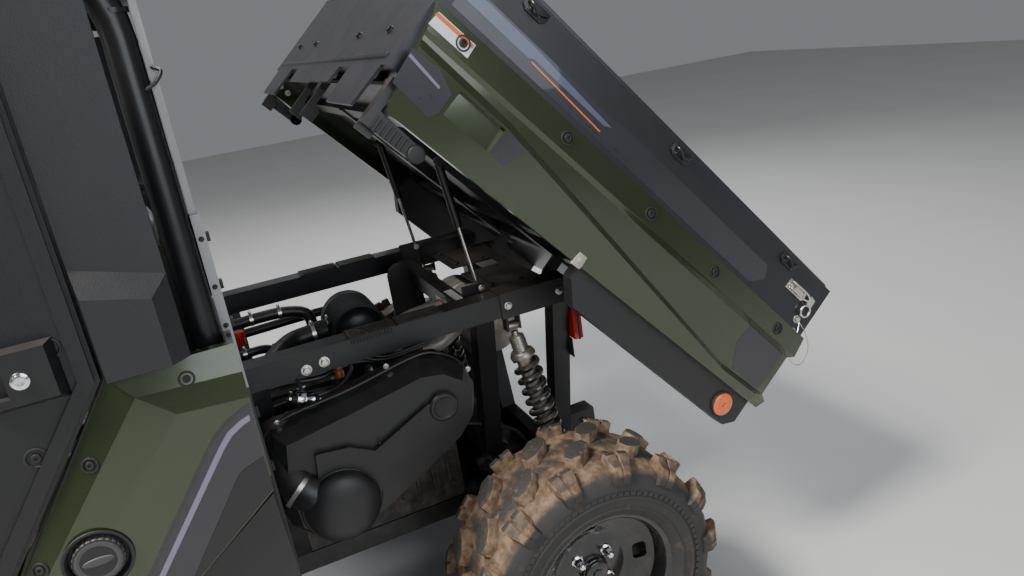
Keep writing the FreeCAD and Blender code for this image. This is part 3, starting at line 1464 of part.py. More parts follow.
def build_belt_cover():
    """The moulded housing over the drive belt: bevelled shell, raised arm, domed boss and its air duct."""
    y, z = COVER_MIDDLE
    sections = []
    for level, grow in (("cvt_inner_x", 1.03), ("cvt_outer_x - cvt_bevel", 1.03), ("cvt_outer_x", 0.93)):
        sections.append((level, [(f"{y} + {a - y} * {grow}", f"{z} + {b - z} * {grow}") for a, b in COVER_EDGE]))
    shell = lofted("cvt_shell", "side", sections)
    arm = [(str(a), str(b)) for a, b in COVER_ARM]
    raised = profile("cvt_arm", "side", arm, "cvt_outer_x - 2", "cvt_outer_x + cvt_arm_rise")
    boss_y = size("cvt_boss_y")
    boss_z = size("cvt_boss_z")
    outer = size("cvt_outer_x")
    radius = size("cvt_boss_radius")
    dome = [(-4, radius), (26, radius), (44, radius * 0.75), (50, radius * 0.3)]
    boss = faceted("cvt_boss", spun(dome, 14, Placement(Vector(outer, boss_y, boss_z), Rotation())))
    inner = size("cvt_inner_x")
    duct_radius = size("cvt_duct_radius")
    bend_y = size("bulkhead_y") + duct_radius + 8
    duct_path = [(outer + 6, boss_y, boss_z + 4), (outer - 10, bend_y, boss_z + 60), (inner, bend_y, boss_z + 180)]
    duct = faceted_tube("cvt_duct", duct_path, duct_radius, 60, 10)
    neck_x = ("engine_half_width + seat_gap", "cvt_inner_x + 5")
    neck = rod("cvt_neck", "x", (str(y), "650"), "cvt_neck_radius", *neck_x)
    node("belt_cover", joined("cvt_fuse", shell, raised, boss, duct, neck))


def build_engine():
    """Diesel engine and gearbox: crankcase, head, valve cover, manifold, oil cap and alternator."""
    half = "engine_half_width"
    head_half = "engine_head_half"
    front = "engine_front_y"
    head_back = "engine_head_back"
    seam = "engine_top - valve_cover_height"
    sections = []
    for level, side, drawn in ((seam, "valve_cover_half", 14), ("engine_top", "valve_cover_half - 26", 30)):
        near = f"{front} + {drawn}"
        far = f"{head_back} - {drawn}"
        sections.append((level, [(f"-({side})", near), (side, near), (side, far), (f"-({side})", far)]))
    pieces = [
        box("engine_crankcase", (f"-{half}", half), (front, "engine_back_y"), ("engine_bottom", "engine_shoulder")),
        box("engine_head", (f"-{head_half}", head_half), (front, head_back), ("engine_shoulder", seam)),
        lofted("valve_cover", "top", sections),
    ]
    runner_x = (f"{head_half} - 2", f"{head_half} + manifold_reach")
    runner_z = (f"{seam} - manifold_depth", f"{seam} - 14")
    for i in range(int(size("cylinders"))):
        y = f"{front} + bore_pitch * {i} + 70"
        pieces.append(box(f"manifold_runner_{i}", runner_x, (y, f"{y} + 34"), runner_z))
    log_x = (f"{head_half} + manifold_reach * 0.7", f"{head_half} + manifold_reach * 1.5")
    log_z = (f"{seam} - manifold_depth - 10", f"{seam} - 6")
    pieces.append(box("manifold_log", log_x, (f"{front} + 60", f"{front} + bore_pitch * cylinders + 30"), log_z))
    cap_y = size(front) + 150
    cap = [(0, cap_y, size("engine_top") - 4), (0, cap_y, size("engine_top") + 22)]
    pieces.append(faceted_tube("oil_cap", cap, 24, sides=10))
    x = -size(head_half) - 20
    z = size("engine_shoulder") + size("alternator_radius") + 20
    ends = [(x, size(front) + reach, z) for reach in (60, 190)]
    pieces.append(faceted_tube("alternator", ends, size("alternator_radius"), sides=12))
    node("engine_block", joined("engine_fuse", *pieces))


def build_bay_contents():
    """Air cleaner with its intake hose, and the exhaust."""
    y = size("canister_y")
    z = size("canister_z")
    start = size("canister_x")
    length = size("canister_length")
    radius = size("canister_radius")
    shape = [(start, radius * 0.9)]
    for i in range(3):
        step = start + length * (0.14 + 0.24 * i)
        shape += [(step, radius), (step + length * 0.09, radius), (step + length * 0.1, radius * 0.94)]
    shape += [(start + length * 0.86, radius), (start + length * 0.97, radius), (start + length, radius * 0.9)]
    can = faceted("canister", spun(shape, 14, Placement(Vector(0, y, z), Rotation())))
    middle = start + length / 2
    hose_radius = size("hose_radius")
    wall = size("bulkhead_y") + size("seat_gap")
    hose = [(middle, y - 80, z), (middle + 20, -500, z), (middle + 100, -560, z - 20), (middle + 100, wall, z - 20)]
    snorkel = faceted_tube("intake_hose", hose, hose_radius, 60, 10)
    neck = faceted_tube("intake_neck", [(middle, y, z), (middle, y - 100, z)], hose_radius + 4, sides=12)
    node("air_cleaner", joined("air_cleaner_fuse", can, neck, snorkel))
    y = size("muffler_y")
    z = size("muffler_z")
    silencer = faceted_tube("silencer", [(-220, y, z), (140, y, z)], size("muffler_radius"), sides=14)
    pipe_radius = size("exhaust_pipe_radius")
    drop = z - 30
    gas = [(60, size("engine_back_y") + size("seat_gap"), drop), (60, -90, drop), (60, y - 40, z + 20)]
    pipe = faceted_tube("exhaust_pipe", gas, pipe_radius, 50, 10)
    tail = faceted_tube("exhaust_tail", [(-180, y, z), (-180, y + 190, z - 50)], pipe_radius, sides=10)
    node("exhaust", joined("exhaust_fuse", silencer, pipe, tail))


def build_rear_fittings():
    """Hitch receiver and tail lamps."""
    outer = "receiver_width / 2 + receiver_wall"
    inner = "receiver_width / 2"
    middle = "ground_clearance + main_rail_height / 2"
    length = ("frame_back_y + 0.3", "frame_back_y + receiver_length")
    tube = box("receiver_tube", (f"-({outer})", outer), length, (f"{middle} - ({outer})", f"{middle} + {outer}"))
    bore_y = ("frame_back_y - 1", "frame_back_y + receiver_length + 1")
    hollow = box("receiver_hollow", (f"-({inner})", inner), bore_y, (f"{middle} - {inner}", f"{middle} + {inner}"))
    hole = ("frame_back_y + receiver_length - 45", middle)
    pin = rod("receiver_pin_hole", "x", hole, "receiver_pin_radius", f"-({outer}) - 1", f"{outer} + 1")
    node("hitch_receiver", less("receiver_cut", tube, hollow, pin))
    back = "back_post_y + post_width"
    lamp_y = (f"{back} + seat_gap", f"{back} + tail_lamp_depth")
    lamp_z = ("tail_lamp_z - tail_lamp_height / 2", "tail_lamp_z + tail_lamp_height / 2")
    lamp = box("tail_lamp", ("rail_inner_x - 10", "rail_outer_x"), lamp_y, lamp_z)
    node("tail_lamps", both_sides("tail_lamp_pair", lamp))


MOULDING_COLUMNS = ("station", "crease", "hollow")
MOULDING_TABLE = (
    ("bed_front + 2", "128", "3"),
    ("bed_front + moulding_recess_back", "120", "6"),
    ("bed_back - moulding_tail", "20", "20"),
    ("bed_back + 16", "24", "20"),
)


def bed_moulding():
    """The glossy side moulding: flange, falling channel, recess and slanted front end."""
    half = "bed_half_width"
    outer = "bed_half_width + moulding_reach"
    flange = "moulding_top - moulding_flange"
    sections = []
    for values in MOULDING_TABLE:
        row = dict(zip(MOULDING_COLUMNS, values))
        sunk = f"{outer} - {row['hollow']}"
        sections.append((row["station"], [
            (f"{half} + seat_gap", "0"),
            (f"{outer} - 12", "0"),
            (outer, row["crease"]),
            (sunk, f"{row['crease']} + 14"),
            (sunk, f"{flange} - 10"),
            (outer, flange),
            (f"{outer} - 8", "moulding_top"),
            (f"{half} + seat_gap", "moulding_top"),
        ]))
    strip = lofted("moulding", "front", sections)
    slant = [
        ("bed_front", "-1"),
        ("bed_front + moulding_slant", "-1"),
        ("bed_front + 3", "moulding_top + 1"),
        ("bed_front", "moulding_top + 1"),
    ]
    nose = profile("moulding_nose", "side", slant, half, f"{outer} + 1")
    span = ("bed_front + moulding_recess_front", "bed_front + moulding_recess_back - 4")
    recess = box("moulding_recess", (f"{outer} - 14", f"{outer} + 1"), span, ("moulding_recess_z", "moulding_recess_z + 54"))
    return less("moulding_cut", strip, nose, recess)


def bed_latch():
    """The bed's latch on one side: a rod under the front wall with two hooks, and its grip."""
    y = "bed_front + latch_inset"
    level = "bed_floor_low - latch_drop"
    place = (size("bed_front") + size("latch_inset"), size("bed_floor_low") - size("latch_drop"))
    ends = [(size(x), *place) for x in ("latch_inner_x", "latch_outer_x")]
    pieces = [faceted_tube("latch_rod", ends, size("latch_rod_radius"), sides=6)]
    hook = [
        (f"{y} - latch_hook_half", f"{level} + latch_rod_radius"),
        (f"{y} - latch_hook_half", f"{level} - latch_hook_drop"),
        (f"{y} + latch_hook_half * 3", f"{level} - latch_hook_drop"),
        (f"{y} + latch_hook_half * 3", f"{level} - latch_hook_drop * 0.7"),
        (f"{y} + latch_hook_half", f"{level} - latch_hook_drop * 0.6"),
        (f"{y} + latch_hook_half", f"{level} + latch_rod_radius"),
    ]
    for i, x in enumerate(("latch_inner_x", "latch_outer_x - latch_hook_thickness")):
        pieces.append(profile(f"latch_hook_{i}", "side", hook, x, f"{x} + latch_hook_thickness"))
    for i, x in enumerate(("latch_inner_x + 120", "latch_outer_x - 100")):
        span = (x, f"{x} + latch_hook_thickness")
        across = (f"{y} - latch_hook_half", f"{y} + latch_hook_half")
        pieces.append(box(f"latch_bracket_{i}", span, across, (level, "bed_floor_low - seat_gap")))
    grip_y = f"{y} + latch_grip_length"
    handle = [
        (f"{y} - latch_hook_half", f"{level} + latch_rod_radius"),
        (f"{y} - latch_hook_half", f"{level} - latch_grip_drop"),
        (grip_y, f"{level} - latch_grip_drop"),
        (grip_y, f"{level} - latch_grip_drop + latch_grip_height"),
        (f"{y} + latch_hook_half", f"{level} - latch_grip_drop + latch_grip_height + 8"),
        (f"{y} + latch_hook_half", f"{level} + latch_rod_radius"),
    ]
    grip_x = ("latch_outer_x - 4", "latch_outer_x + latch_grip_width")
    pieces.append(profile("latch_grip", "side", handle, *grip_x))
    height = size("latch_grip_height")
    knob_y = place[0] + size("latch_grip_length") + height / 3
    knob_z = place[1] - size("latch_grip_drop") + height / 2
    ends = [(size("latch_outer_x") + x, knob_y, knob_z) for x in (-4, size("latch_grip_width"))]
    pieces.append(faceted_tube("latch_knob", ends, height * 0.6, sides=10))
    return joined("latch_side", *pieces)


def build_bed():
    """Bed tray, side mouldings, skirts, channels, latch and tailgate."""
    half = "bed_half_width"
    wall = "bed_wall"
    floor_top = "bed_floor_low + bed_floor_thickness"
    span = ("bed_front", "bed_back")
    rise = ("bed_floor_low", "bed_wall_top")
    pieces = [
        box("bed_floor", (f"-{half}", half), span, ("bed_floor_low", floor_top)),
        box("bed_wall_left", (f"{half} - {wall}", half), span, rise),
        box("bed_wall_right", (f"-{half}", f"-{half} + {wall}"), span, rise),
        box("bed_wall_front", (f"-{half}", half), ("bed_front", f"bed_front + {wall}"), rise),
    ]
    aprons = (
        ("left", "rail_outer_x + apron_gap", f"{half} - apron_side", "-apron_drop"),
        ("middle", "-rail_inner_x + apron_gap", "rail_inner_x - apron_gap", "apron_rise"),
        ("right", f"-{half} + apron_side", "-rail_outer_x - apron_gap", "-apron_drop"),
    )
    for name, low_x, high_x, foot in aprons:
        fold = [
            (low_x, "bed_floor_low + 1"),
            (f"{low_x} + apron_taper", foot),
            (f"{high_x} - apron_taper", foot),
            (high_x, "bed_floor_low + 1"),
        ]
        pieces.append(profile(f"bed_apron_{name}", "front", fold, "bed_front", "bed_front + bed_floor_thickness"))
    axis = ("bed_back + gate_hinge_y", "bed_floor_low - 2")
    lugs = []
    knuckles = []
    for i, start in enumerate(("-gate_hinge_x - 2 * gate_knuckle", "gate_hinge_x")):
        inboard = (start, f"{start} + gate_knuckle")
        outboard = (f"{start} + gate_knuckle + 0.5", f"{start} + 2 * gate_knuckle")
        lugs.append(rod(f"gate_lug_{i}", "x", axis, "gate_barrel_radius", *inboard))
        web_y = ("bed_back - 10", axis[0])
        lugs.append(box(f"gate_lug_web_{i}", inboard, web_y, (f"{axis[1]} - 4", "bed_floor_low + 2")))
        lugs.append(rod(f"gate_pin_{i}", "x", axis, "hinge_rod_radius", start, f"{start} + 2 * gate_knuckle - 3"))
        web_y = (axis[0], "bed_back + tailgate_gap + 12")
        turning = joined(
            f"gate_knuckle_{i}",
            rod(f"gate_barrel_{i}", "x", axis, "gate_barrel_radius", *outboard),
            box(f"gate_web_{i}", outboard, web_y, (axis[1], f"{floor_top} + 10")),
        )
        ends = (f"{outboard[0]} - 1", f"{outboard[1]} + 1")
        bore = rod(f"gate_bore_{i}", "x", axis, "hinge_rod_radius + pin_clearance", *ends)
        knuckles.append(less(f"gate_bored_{i}", turning, bore))
    bed_node("bed_tray", joined("bed_tray_hung", *pieces, *lugs))
    bed_node("bed_mouldings", both_sides("moulding_pair", bed_moulding()))
    bed_node("bed_latch", both_sides("latch_pair", bed_latch()))
    skirt = [
        ("skirt_front", "bed_floor_low - seat_gap"),
        ("skirt_front", "-30"),
        ("skirt_front + 45", "-skirt_drop + 8"),
        ("bed_back - 30", "-skirt_drop"),
        ("bed_back", "-skirt_drop + 25"),
        ("bed_back", "bed_floor_low - seat_gap"),
    ]
    bed_node("bed_skirts", both_sides("skirt_pair", profile("skirt", "side", skirt, "skirt_inner_x", half)))
    low = "channel_x - channel_width / 2"
    high = "channel_x + channel_width / 2"
    run = ("bed_front + channel_start", "channel_end")
    channel = box("channel", (low, high), run, ("channel_low", "bed_floor_low"))
    ear = joined(
        "ear",
        rod("ear_round", "x", ("0", "0"), "ear_radius", low, f"{low} + ear_thickness"),
        box("ear_web", (low, f"{low} + ear_thickness"), ("-ear_radius", "ear_radius"), ("0", "channel_low")),
    )
    bore = rod("ear_bore", "x", ("0", "0"), "hinge_pin_radius + pin_clearance", f"{low} - 1", f"{high} + 1")
    head_x = ("strut_x + strut_bracket_gap", "strut_x + strut_bracket_gap + strut_bracket_thickness")
    head_y = ("strut_head_y - 12", "strut_head_y + 12")
    head = box("strut_head_bracket", head_x, head_y, ("strut_head_z - 12", "bed_floor_low"))
    pin_x = ("strut_x - 10", "strut_x + strut_bracket_gap + 2")
    head_pin = rod("strut_head_pin", "x", ("strut_head_y", "strut_head_z"), "strut_pin_radius", *pin_x)
    bored = less("channel_bored", joined("channel_ear", channel, ear), bore)
    side = joined("channel_side", bored, joined("strut_head", head, head_pin))
    ribs = []
    for i, station in enumerate(("bed_front + channel_start", "skirt_front + rib_width", "-rib_width")):
        across = ("-skirt_inner_x + seam_gap", "skirt_inner_x - seam_gap")
        rib_z = ("bed_floor_low - rib_height", "bed_floor_low - seat_gap")
        ribs.append(box(f"bed_rib_{i}", across, (station, f"{station} + rib_width"), rib_z))
    bed_node("bed_channels", joined("channel_frame", side, mirrored("channel_mirror", side), *ribs))
    gate_y = ("bed_back + tailgate_gap", "bed_back + tailgate_gap + tailgate_thickness")
    gate = box("gate", (f"-{half} + 5", f"{half} - 5"), gate_y, (f"{floor_top} + 4", "bed_wall_top"))
    bed_node("tailgate", joined("gate_fuse", gate, *knuckles))


def door_outline(inset):
    """The door's outline, drawn in by an inset."""
    back = f"door_back_y - {inset}"
    return [
        (f"door_front_y + {inset}", f"door_bottom + {inset}"),
        (f"door_slope_y - door_foot_lead - {inset} * 0.8", f"door_bottom + {inset}"),
        (f"door_slope_y - {inset} * 1.2", f"door_slope_z + {inset} * 0.2"),
        (back, f"belt_height + {inset} * 0.3"),
        (back, f"door_top - {inset}"),
        (f"door_a_top_y + {inset} * 0.7", f"door_top - {inset}"),
        (f"door_front_y + {inset}", f"door_shoulder_z - {inset} * 0.4"),
    ]


def door_grip():
    """The hooded grip and its round push button, on the door's outer face."""
    outer = "door_outer_x"
    sections = []
    for level, drawn in ((f"{outer} - 1", "0"), (f"{outer} + grip_reach", "grip_bevel")):
        near = f"grip_y - grip_half_length + {drawn}"
        far = f"grip_y + grip_half_length - {drawn}"
        low = f"grip_z - grip_half_height + {drawn}"
        high = f"grip_z + grip_half_height - {drawn} * 0.4"
        sections.append((level, [(near, low), (far, low), (far, high), (near, high)]))
    hood = lofted("grip_hood", "side", sections)
    hollow = box(
        "grip_hollow",
        (f"{outer} + 4", f"{outer} + grip_reach + 1"),
        ("grip_y - grip_half_length - 1", "grip_y - lock_radius * 2"),
        ("grip_z - grip_half_height * 0.5", "grip_z + grip_half_height * 0.4"),
    )
    lock = rod("grip_lock", "x", ("grip_y", "grip_z"), "lock_radius", outer, f"{outer} + grip_reach + 4")
    return joined("grip", less("grip_cut", hood, hollow), lock)


def build_doors():
    """Doors as thick as the real ones with a raised rim and a grip, their windows cut, and the panes."""
    outer = "door_outer_x"
    inner = "door_outer_x - door_thickness"
    sill = "belt_height + window_sill"
    window = [
        ("door_front_y + window_rim * 2", sill),
        ("door_back_y - window_back", sill),
        ("door_back_y - window_back", "door_top - window_rim"),
        ("door_a_top_y + window_rim * 0.7", "door_top - window_rim"),
    ]
    sheet_part = profile("door_sheet", "side", door_outline("0"), inner, outer)
    opening = profile("door_window", "side", window, f"{inner} - 1", f"{outer} + 1")
    bead = profile("door_bead", "side", door_outline("bead_inset"), f"{outer} - 1", f"{outer} + bead_rise")
    bead_inner = door_outline("(bead_inset + bead_width)")
    bead_hollow = profile("door_bead_hollow", "side", bead_inner, f"{outer} - 2", f"{outer} + bead_rise + 1")
    lead_y = ("door_front_y - 1", "door_front_y + bead_lead")
    bead_lead = box("door_bead_lead", (f"{outer} - 2", f"{outer} + bead_rise + 1"), lead_y, ("door_bottom", "door_top"))
    rim = less("door_bead_cut", bead, bead_hollow, bead_lead)
    barrels = []
    bores = []
    axis = (f"{outer} + hinge_offset", "door_front_y - seam_gap / 2")
    for i, level in enumerate(HINGE_LEVELS):
        low = f"{level} + hinge_barrel_length + 0.5"
        high = f"{level} + 2 * hinge_barrel_length"
        notch_y = ("door_front_y - 1", "door_front_y + hinge_barrel_radius")
        bores.append(box(f"door_notch_{i}", (f"{outer} - 8", f"{outer} + 1"), notch_y, (f"{level} - 3", low)))
        barrels.append(rod(f"door_barrel_{i}", "z", axis, "hinge_barrel_radius", low, high))
        leaf_y = ("door_front_y - seam_gap / 2", "door_front_y + 20")
        barrels.append(box(f"door_leaf_{i}", (f"{outer} - 4", f"{outer} + 4"), leaf_y, (low, high)))
        bore_radius = "hinge_rod_radius + pin_clearance"
        bores.append(rod(f"door_bore_{i}", "z", axis, bore_radius, f"{low} - 1", f"{high} + 1"))
    hung = joined("door_hung", less("door_cut", sheet_part, opening), rim, door_grip(), *barrels)
    shell = less("door_bored", hung, *bores)
    pane = profile("door_pane", "side", window, f"{inner} + 20", f"{inner} + 20 + glass_thickness")
    node("door_left", shell)
    node("door_glass_left", pane)
    node("door_right", mirrored("door_mirror", shell))
    node("door_glass_right", mirrored("pane_mirror", pane))


def check_document():
    """Stop at the first object that failed."""
    doc.recompute()
    for thing in doc.Objects:
        if "Invalid" in thing.State or "Error" in thing.State:
            raise RuntimeError(f"{thing.Name} failed: {thing.State}")
    for label, holder in NODES.items():
        if holder.Shape.isNull() or not holder.Shape.isValid() or not holder.Shape.Solids:
            raise RuntimeError(f"{label} has no valid solid")


def write_parts():
    """Write each node's shape to its own file."""
    for label, holder in NODES.items():
        holder.Shape.exportStep(f"parts/{label}.step")


build_lower_frame()
build_bay_frame()
build_cage()
build_roof()
build_cab_glass()
build_bulkhead()
build_corner_panels()
build_quarters()
build_cab_inside()
build_hand_wheel()
build_nose()
build_wheels()
build_suspension()
build_drive()
build_steering()
build_struts()
build_engine()
build_belt_cover()
build_bay_contents()
build_rear_fittings()
build_bed()
build_doors()
check_document()
write_parts()
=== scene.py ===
"""Looks of a side by side utility vehicle with a raised dump bed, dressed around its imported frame."""

import json
import logging
import math
from dataclasses import dataclass
from enum import Enum
from typing import Any, Iterable, Mapping, Optional, Sequence, Union

import bmesh
import bpy
from mathutils import Matrix, Vector, noise
from mathutils.bvhtree import BVHTree

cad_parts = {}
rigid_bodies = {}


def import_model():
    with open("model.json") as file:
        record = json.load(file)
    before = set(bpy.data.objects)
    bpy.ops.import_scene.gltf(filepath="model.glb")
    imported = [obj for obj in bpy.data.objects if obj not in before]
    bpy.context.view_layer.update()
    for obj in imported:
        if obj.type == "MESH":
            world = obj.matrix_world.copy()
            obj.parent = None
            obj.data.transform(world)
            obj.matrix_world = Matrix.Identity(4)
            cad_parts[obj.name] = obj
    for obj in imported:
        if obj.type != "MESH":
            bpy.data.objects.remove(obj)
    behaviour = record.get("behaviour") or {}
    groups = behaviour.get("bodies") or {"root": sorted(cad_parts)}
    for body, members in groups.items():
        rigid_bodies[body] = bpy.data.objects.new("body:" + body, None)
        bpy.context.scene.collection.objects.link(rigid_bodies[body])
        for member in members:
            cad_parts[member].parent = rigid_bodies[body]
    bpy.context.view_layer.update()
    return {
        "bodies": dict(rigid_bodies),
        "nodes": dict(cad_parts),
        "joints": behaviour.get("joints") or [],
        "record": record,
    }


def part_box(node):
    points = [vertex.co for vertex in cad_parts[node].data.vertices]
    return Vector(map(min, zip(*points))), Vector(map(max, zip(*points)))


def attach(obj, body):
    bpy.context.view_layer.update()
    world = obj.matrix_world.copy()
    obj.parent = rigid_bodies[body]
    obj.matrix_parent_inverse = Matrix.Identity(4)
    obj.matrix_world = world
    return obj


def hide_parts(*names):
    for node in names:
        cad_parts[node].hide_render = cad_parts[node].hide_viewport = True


Point = Sequence[float]
Pair = tuple[float, float]
Colour = tuple[float, float, float]
Term = Union["Value", float, int]

LOG = logging.getLogger("utility_vehicle")


class Side(Enum):
    """Sides of the vehicle, each as the sign of its X."""

    LEFT = 1
    RIGHT = -1

    @property
    def word(self) -> str:
        """The side's name in lower case."""
        return self.name.lower()


class Direction(Enum):
    """Axes that a flat outline is drawn out along."""

    ACROSS = 0
    ALONG = 1
    UP = 2


class Value:
    """A shader socket that answers to Python's arithmetic."""

    def __init__(self, graph: "Graph", socket: bpy.types.NodeSocket) -> None:
        """Keep a socket with the graph it belongs to."""
        self.graph = graph
        self.socket = socket

    def _with(self, operation: str, first: Term, second: Term) -> "Value":
        """Add a Math node on two terms."""
        return self.graph.add("ShaderNodeMath", {"operation": operation}, {0: first, 1: second})

    def __add__(self, other: Term) -> "Value":
        """Sum."""
        return self._with("ADD", self, other)

    __radd__ = __add__

    def __sub__(self, other: Term) -> "Value":
        """Difference."""
        return self._with("SUBTRACT", self, other)

    def __rsub__(self, other: Term) -> "Value":
        """Difference from a number."""
        return self._with("SUBTRACT", other, self)

    def __mul__(self, other: Term) -> "Value":
        """Product."""
        return self._with("MULTIPLY", self, other)

    __rmul__ = __mul__

    def __truediv__(self, other: Term) -> "Value":
        """Quotient."""
        return self._with("DIVIDE", self, other)

    def __pow__(self, other: Term) -> "Value":
        """Power."""
        return self._with("POWER", self, other)

    def larger(self, other: Term) -> "Value":
        """The larger of two."""
        return self._with("MAXIMUM", self, other)

    def step(self, low: float, high: float) -> "Value":
        """A smooth step from 0 at low to 1 at high."""
        settings = {"interpolation_type": "SMOOTHSTEP", "clamp": True}
        ends = {"Value": self, "From Min": low, "From Max": high, "To Min": 0.0, "To Max": 1.0}
        return self.graph.add("ShaderNodeMapRange", settings, ends)


class Graph:
    """A material's node tree around one Principled shader."""

    def __init__(self, name: str) -> None:
        """Start an empty material."""
        self.material = bpy.data.materials.new(name)
        self.material.use_nodes = True
        self.tree = self.material.node_tree
        self.shader = self.tree.nodes["Principled BSDF"]
        self._object: Optional[bpy.types.Node] = None

    def add(self, kind: str, settings: Mapping[str, Any], inputs: Mapping[Any, Any], out: Any = 0) -> Value:
        """Add a node.

        Args:
            kind: The node's type.
            settings: Its settings, set before its sockets.
            inputs: Values or links of its sockets.
            out: Which output is returned.

        Returns:
            The output, ready for arithmetic.
        """
        node = self.tree.nodes.new(kind)
        for key, value in settings.items():
            setattr(node, key, value)
        for key, value in inputs.items():
            self.feed(node.inputs[key], value)
        return Value(self, node.outputs[out])

    def feed(self, socket: bpy.types.NodeSocket, value: Any) -> None:
        """Give a socket a link, a number, a colour or a vector."""
        if isinstance(value, Value):
            self.tree.links.new(value.socket, socket)
        elif isinstance(value, (tuple, list)) and socket.type == "RGBA":
            socket.default_value = (*value[:3], 1.0)
        else:
            socket.default_value = value

    def _coordinate(self, name: str) -> Value:
        """An output of the one Texture Coordinate node."""
        if self._object is None:
            self._object = self.tree.nodes.new("ShaderNodeTexCoord")
        return Value(self, self._object.outputs[name])

    def place(self) -> Value:
        """The point on the object, in metres, as it lies at rest."""
        return self._coordinate("Object")

    def axes(self, vector: Value) -> tuple[Value, Value, Value]:
        """Split a vector into its three numbers."""
        node = self.tree.nodes.new("ShaderNodeSeparateXYZ")
        self.feed(node.inputs[0], vector)
        return tuple(Value(self, node.outputs[i]) for i in range(3))

    def facing(self) -> Value:
        """The surface's normal at rest."""
        return self._coordinate("Normal")

    def facing_up(self) -> Value:
        """How far the surface faces up at rest, from -1 to 1."""
        return self.axes(self.facing())[2]

    def noise(self, scale: float, detail: float = 3.0, rough: float = 0.5) -> Value:
        """Soft noise around one half."""
        inputs = {"Vector": self.place(), "Scale": scale, "Detail": detail, "Roughness": rough}
        return self.add("ShaderNodeTexNoise", {}, inputs)

    def cells(self, scale: float) -> Value:
        """Distance in a cell pattern."""
        return self.add("ShaderNodeTexVoronoi", {"feature": "F1"}, {"Vector": self.place(), "Scale": scale})

    def mix(self, factor: Term, first: Any, second: Any) -> Value:
        """Blend two colours."""
        inputs = {0: factor, 6: first, 7: second}
        return self.add("ShaderNodeMix", {"data_type": "RGBA", "clamp_factor": True}, inputs, 2)

    def bump(self, height: Value, distance: float, strength: float = 1.0) -> Value:
        """A normal from a height in metres."""
        return self.add("ShaderNodeBump", {}, {"Height": height, "Distance": distance, "Strength": strength})

    def surface(self, **sockets: Any) -> bpy.types.Material:
        """Set the shader's sockets by name, with spaces as underscores, and hand over the material."""
        for name, value in sockets.items():
            self.feed(self.shader.inputs[name.replace("_", " ")], value)
        return self.material


DUST: Colour = (0.33, 0.26, 0.20)
MUD: Colour = (0.115, 0.070, 0.042)
MUD_PALE: Colour = (0.27, 0.19, 0.125)
RUBBER: Colour = (0.030, 0.028, 0.027)
RUBBER_SCUFFED: Colour = (0.095, 0.085, 0.078)
FLAKE_SCALE = 2600.0
FLAKE_SHARE = 0.35
COAT_ROUGHNESS = 0.09
CAKE_RELIEF = 0.006


@dataclass(frozen=True)
class Finish:
    """A surface finish: a colour with wear, a grain and some dust on what faces up."""

    name: str
    slot: str
    colour: Colour
    roughness: float = 0.5
    metallic: float = 0.0
    coat: float = 0.0
    grain: float = 900.0
    depth: float = 0.0001
    dust: float = 0.0
    splash: float = 0.0
    variation: float = 0.12

    def dusted(self, graph: Graph, base: Value, rough: Value) -> tuple[Value, Value]:
        """Lay dust on upward faces and dried mud low down.

        Args:
            graph: The material's nodes.
            base: Colour of the clean surface.
            rough: Roughness of the clean surface.

        Returns:
            Colour and roughness of the used surface.
        """
        settle = graph.facing_up().step(0.2, 0.95) * graph.noise(9.0, 5.0, 0.65).step(0.3, 0.75) * self.dust
        height = graph.axes(graph.place())[2]
        low = (1.0 - height.step(0.25, 0.95)) * graph.noise(17.0, 6.0, 0.7).step(0.42, 0.72) * self.splash
        cover = settle.larger(low)
        return graph.mix(cover, base, DUST), rough + cover * (0.9 - self.roughness)

    def textured(self, graph: Graph) -> Value:
        """The grain's height."""
        return graph.noise(self.grain, 2.0)

    def build(self) -> bpy.types.Material:
        """Make the material.

        Returns:
            The finished material.
        """
        graph = Graph(self.name)
        cloud = graph.noise(6.0, 4.0, 0.6)
        dark = tuple(c * (1.0 - self.variation) for c in self.colour)
        light = tuple(min(1.0, c * (1.0 + self.variation) + 0.01 * self.variation) for c in self.colour)
        base = graph.mix(cloud, dark, light)
        rough = self.roughness + (graph.noise(23.0, 4.0, 0.6) - 0.5) * 0.16
        base, rough = self.dusted(graph, base, rough)
        return graph.surface(
            Base_Color=base,
            Roughness=rough,
            Metallic=self.metallic,
            Coat_Weight=self.coat,
            Normal=graph.bump(self.textured(graph), self.depth),
        )


@dataclass(frozen=True)
class GrainedPlastic(Finish):
    """Moulded plastic with a leathery cell grain."""

    def textured(self, graph: Graph) -> Value:
        """Cells with soft edges over a fine noise."""
        return graph.cells(self.grain) + graph.noise(self.grain * 0.35, 2.0) * 0.6


@dataclass(frozen=True)
class MetallicPaint(Finish):
    """Glossy body colour with fine flakes under a clear coat."""

    flake: Colour = (0.10, 0.125, 0.05)

    def build(self) -> bpy.types.Material:
        """Make the material.

        Returns:
            The finished material.
        """
        graph = Graph(self.name)
        spark = graph.cells(FLAKE_SCALE).step(0.25, 0.6)
        cloud = graph.noise(3.0, 3.0)
        deep = tuple(c * 0.82 for c in self.colour)
        base = graph.mix(spark * FLAKE_SHARE, graph.mix(cloud, deep, self.colour), self.flake)
        scratch = graph.noise(60.0, 6.0, 0.75).step(0.56, 0.75) * 0.10
        base, rough = self.dusted(graph, base, self.roughness + scratch)
        return graph.surface(
            Base_Color=base,
            Roughness=rough,
            Metallic=self.metallic,
            Coat_Weight=self.coat,
            Coat_Roughness=COAT_ROUGHNESS,
            Normal=graph.bump(graph.noise(14.0, 2.0), self.depth),
        )


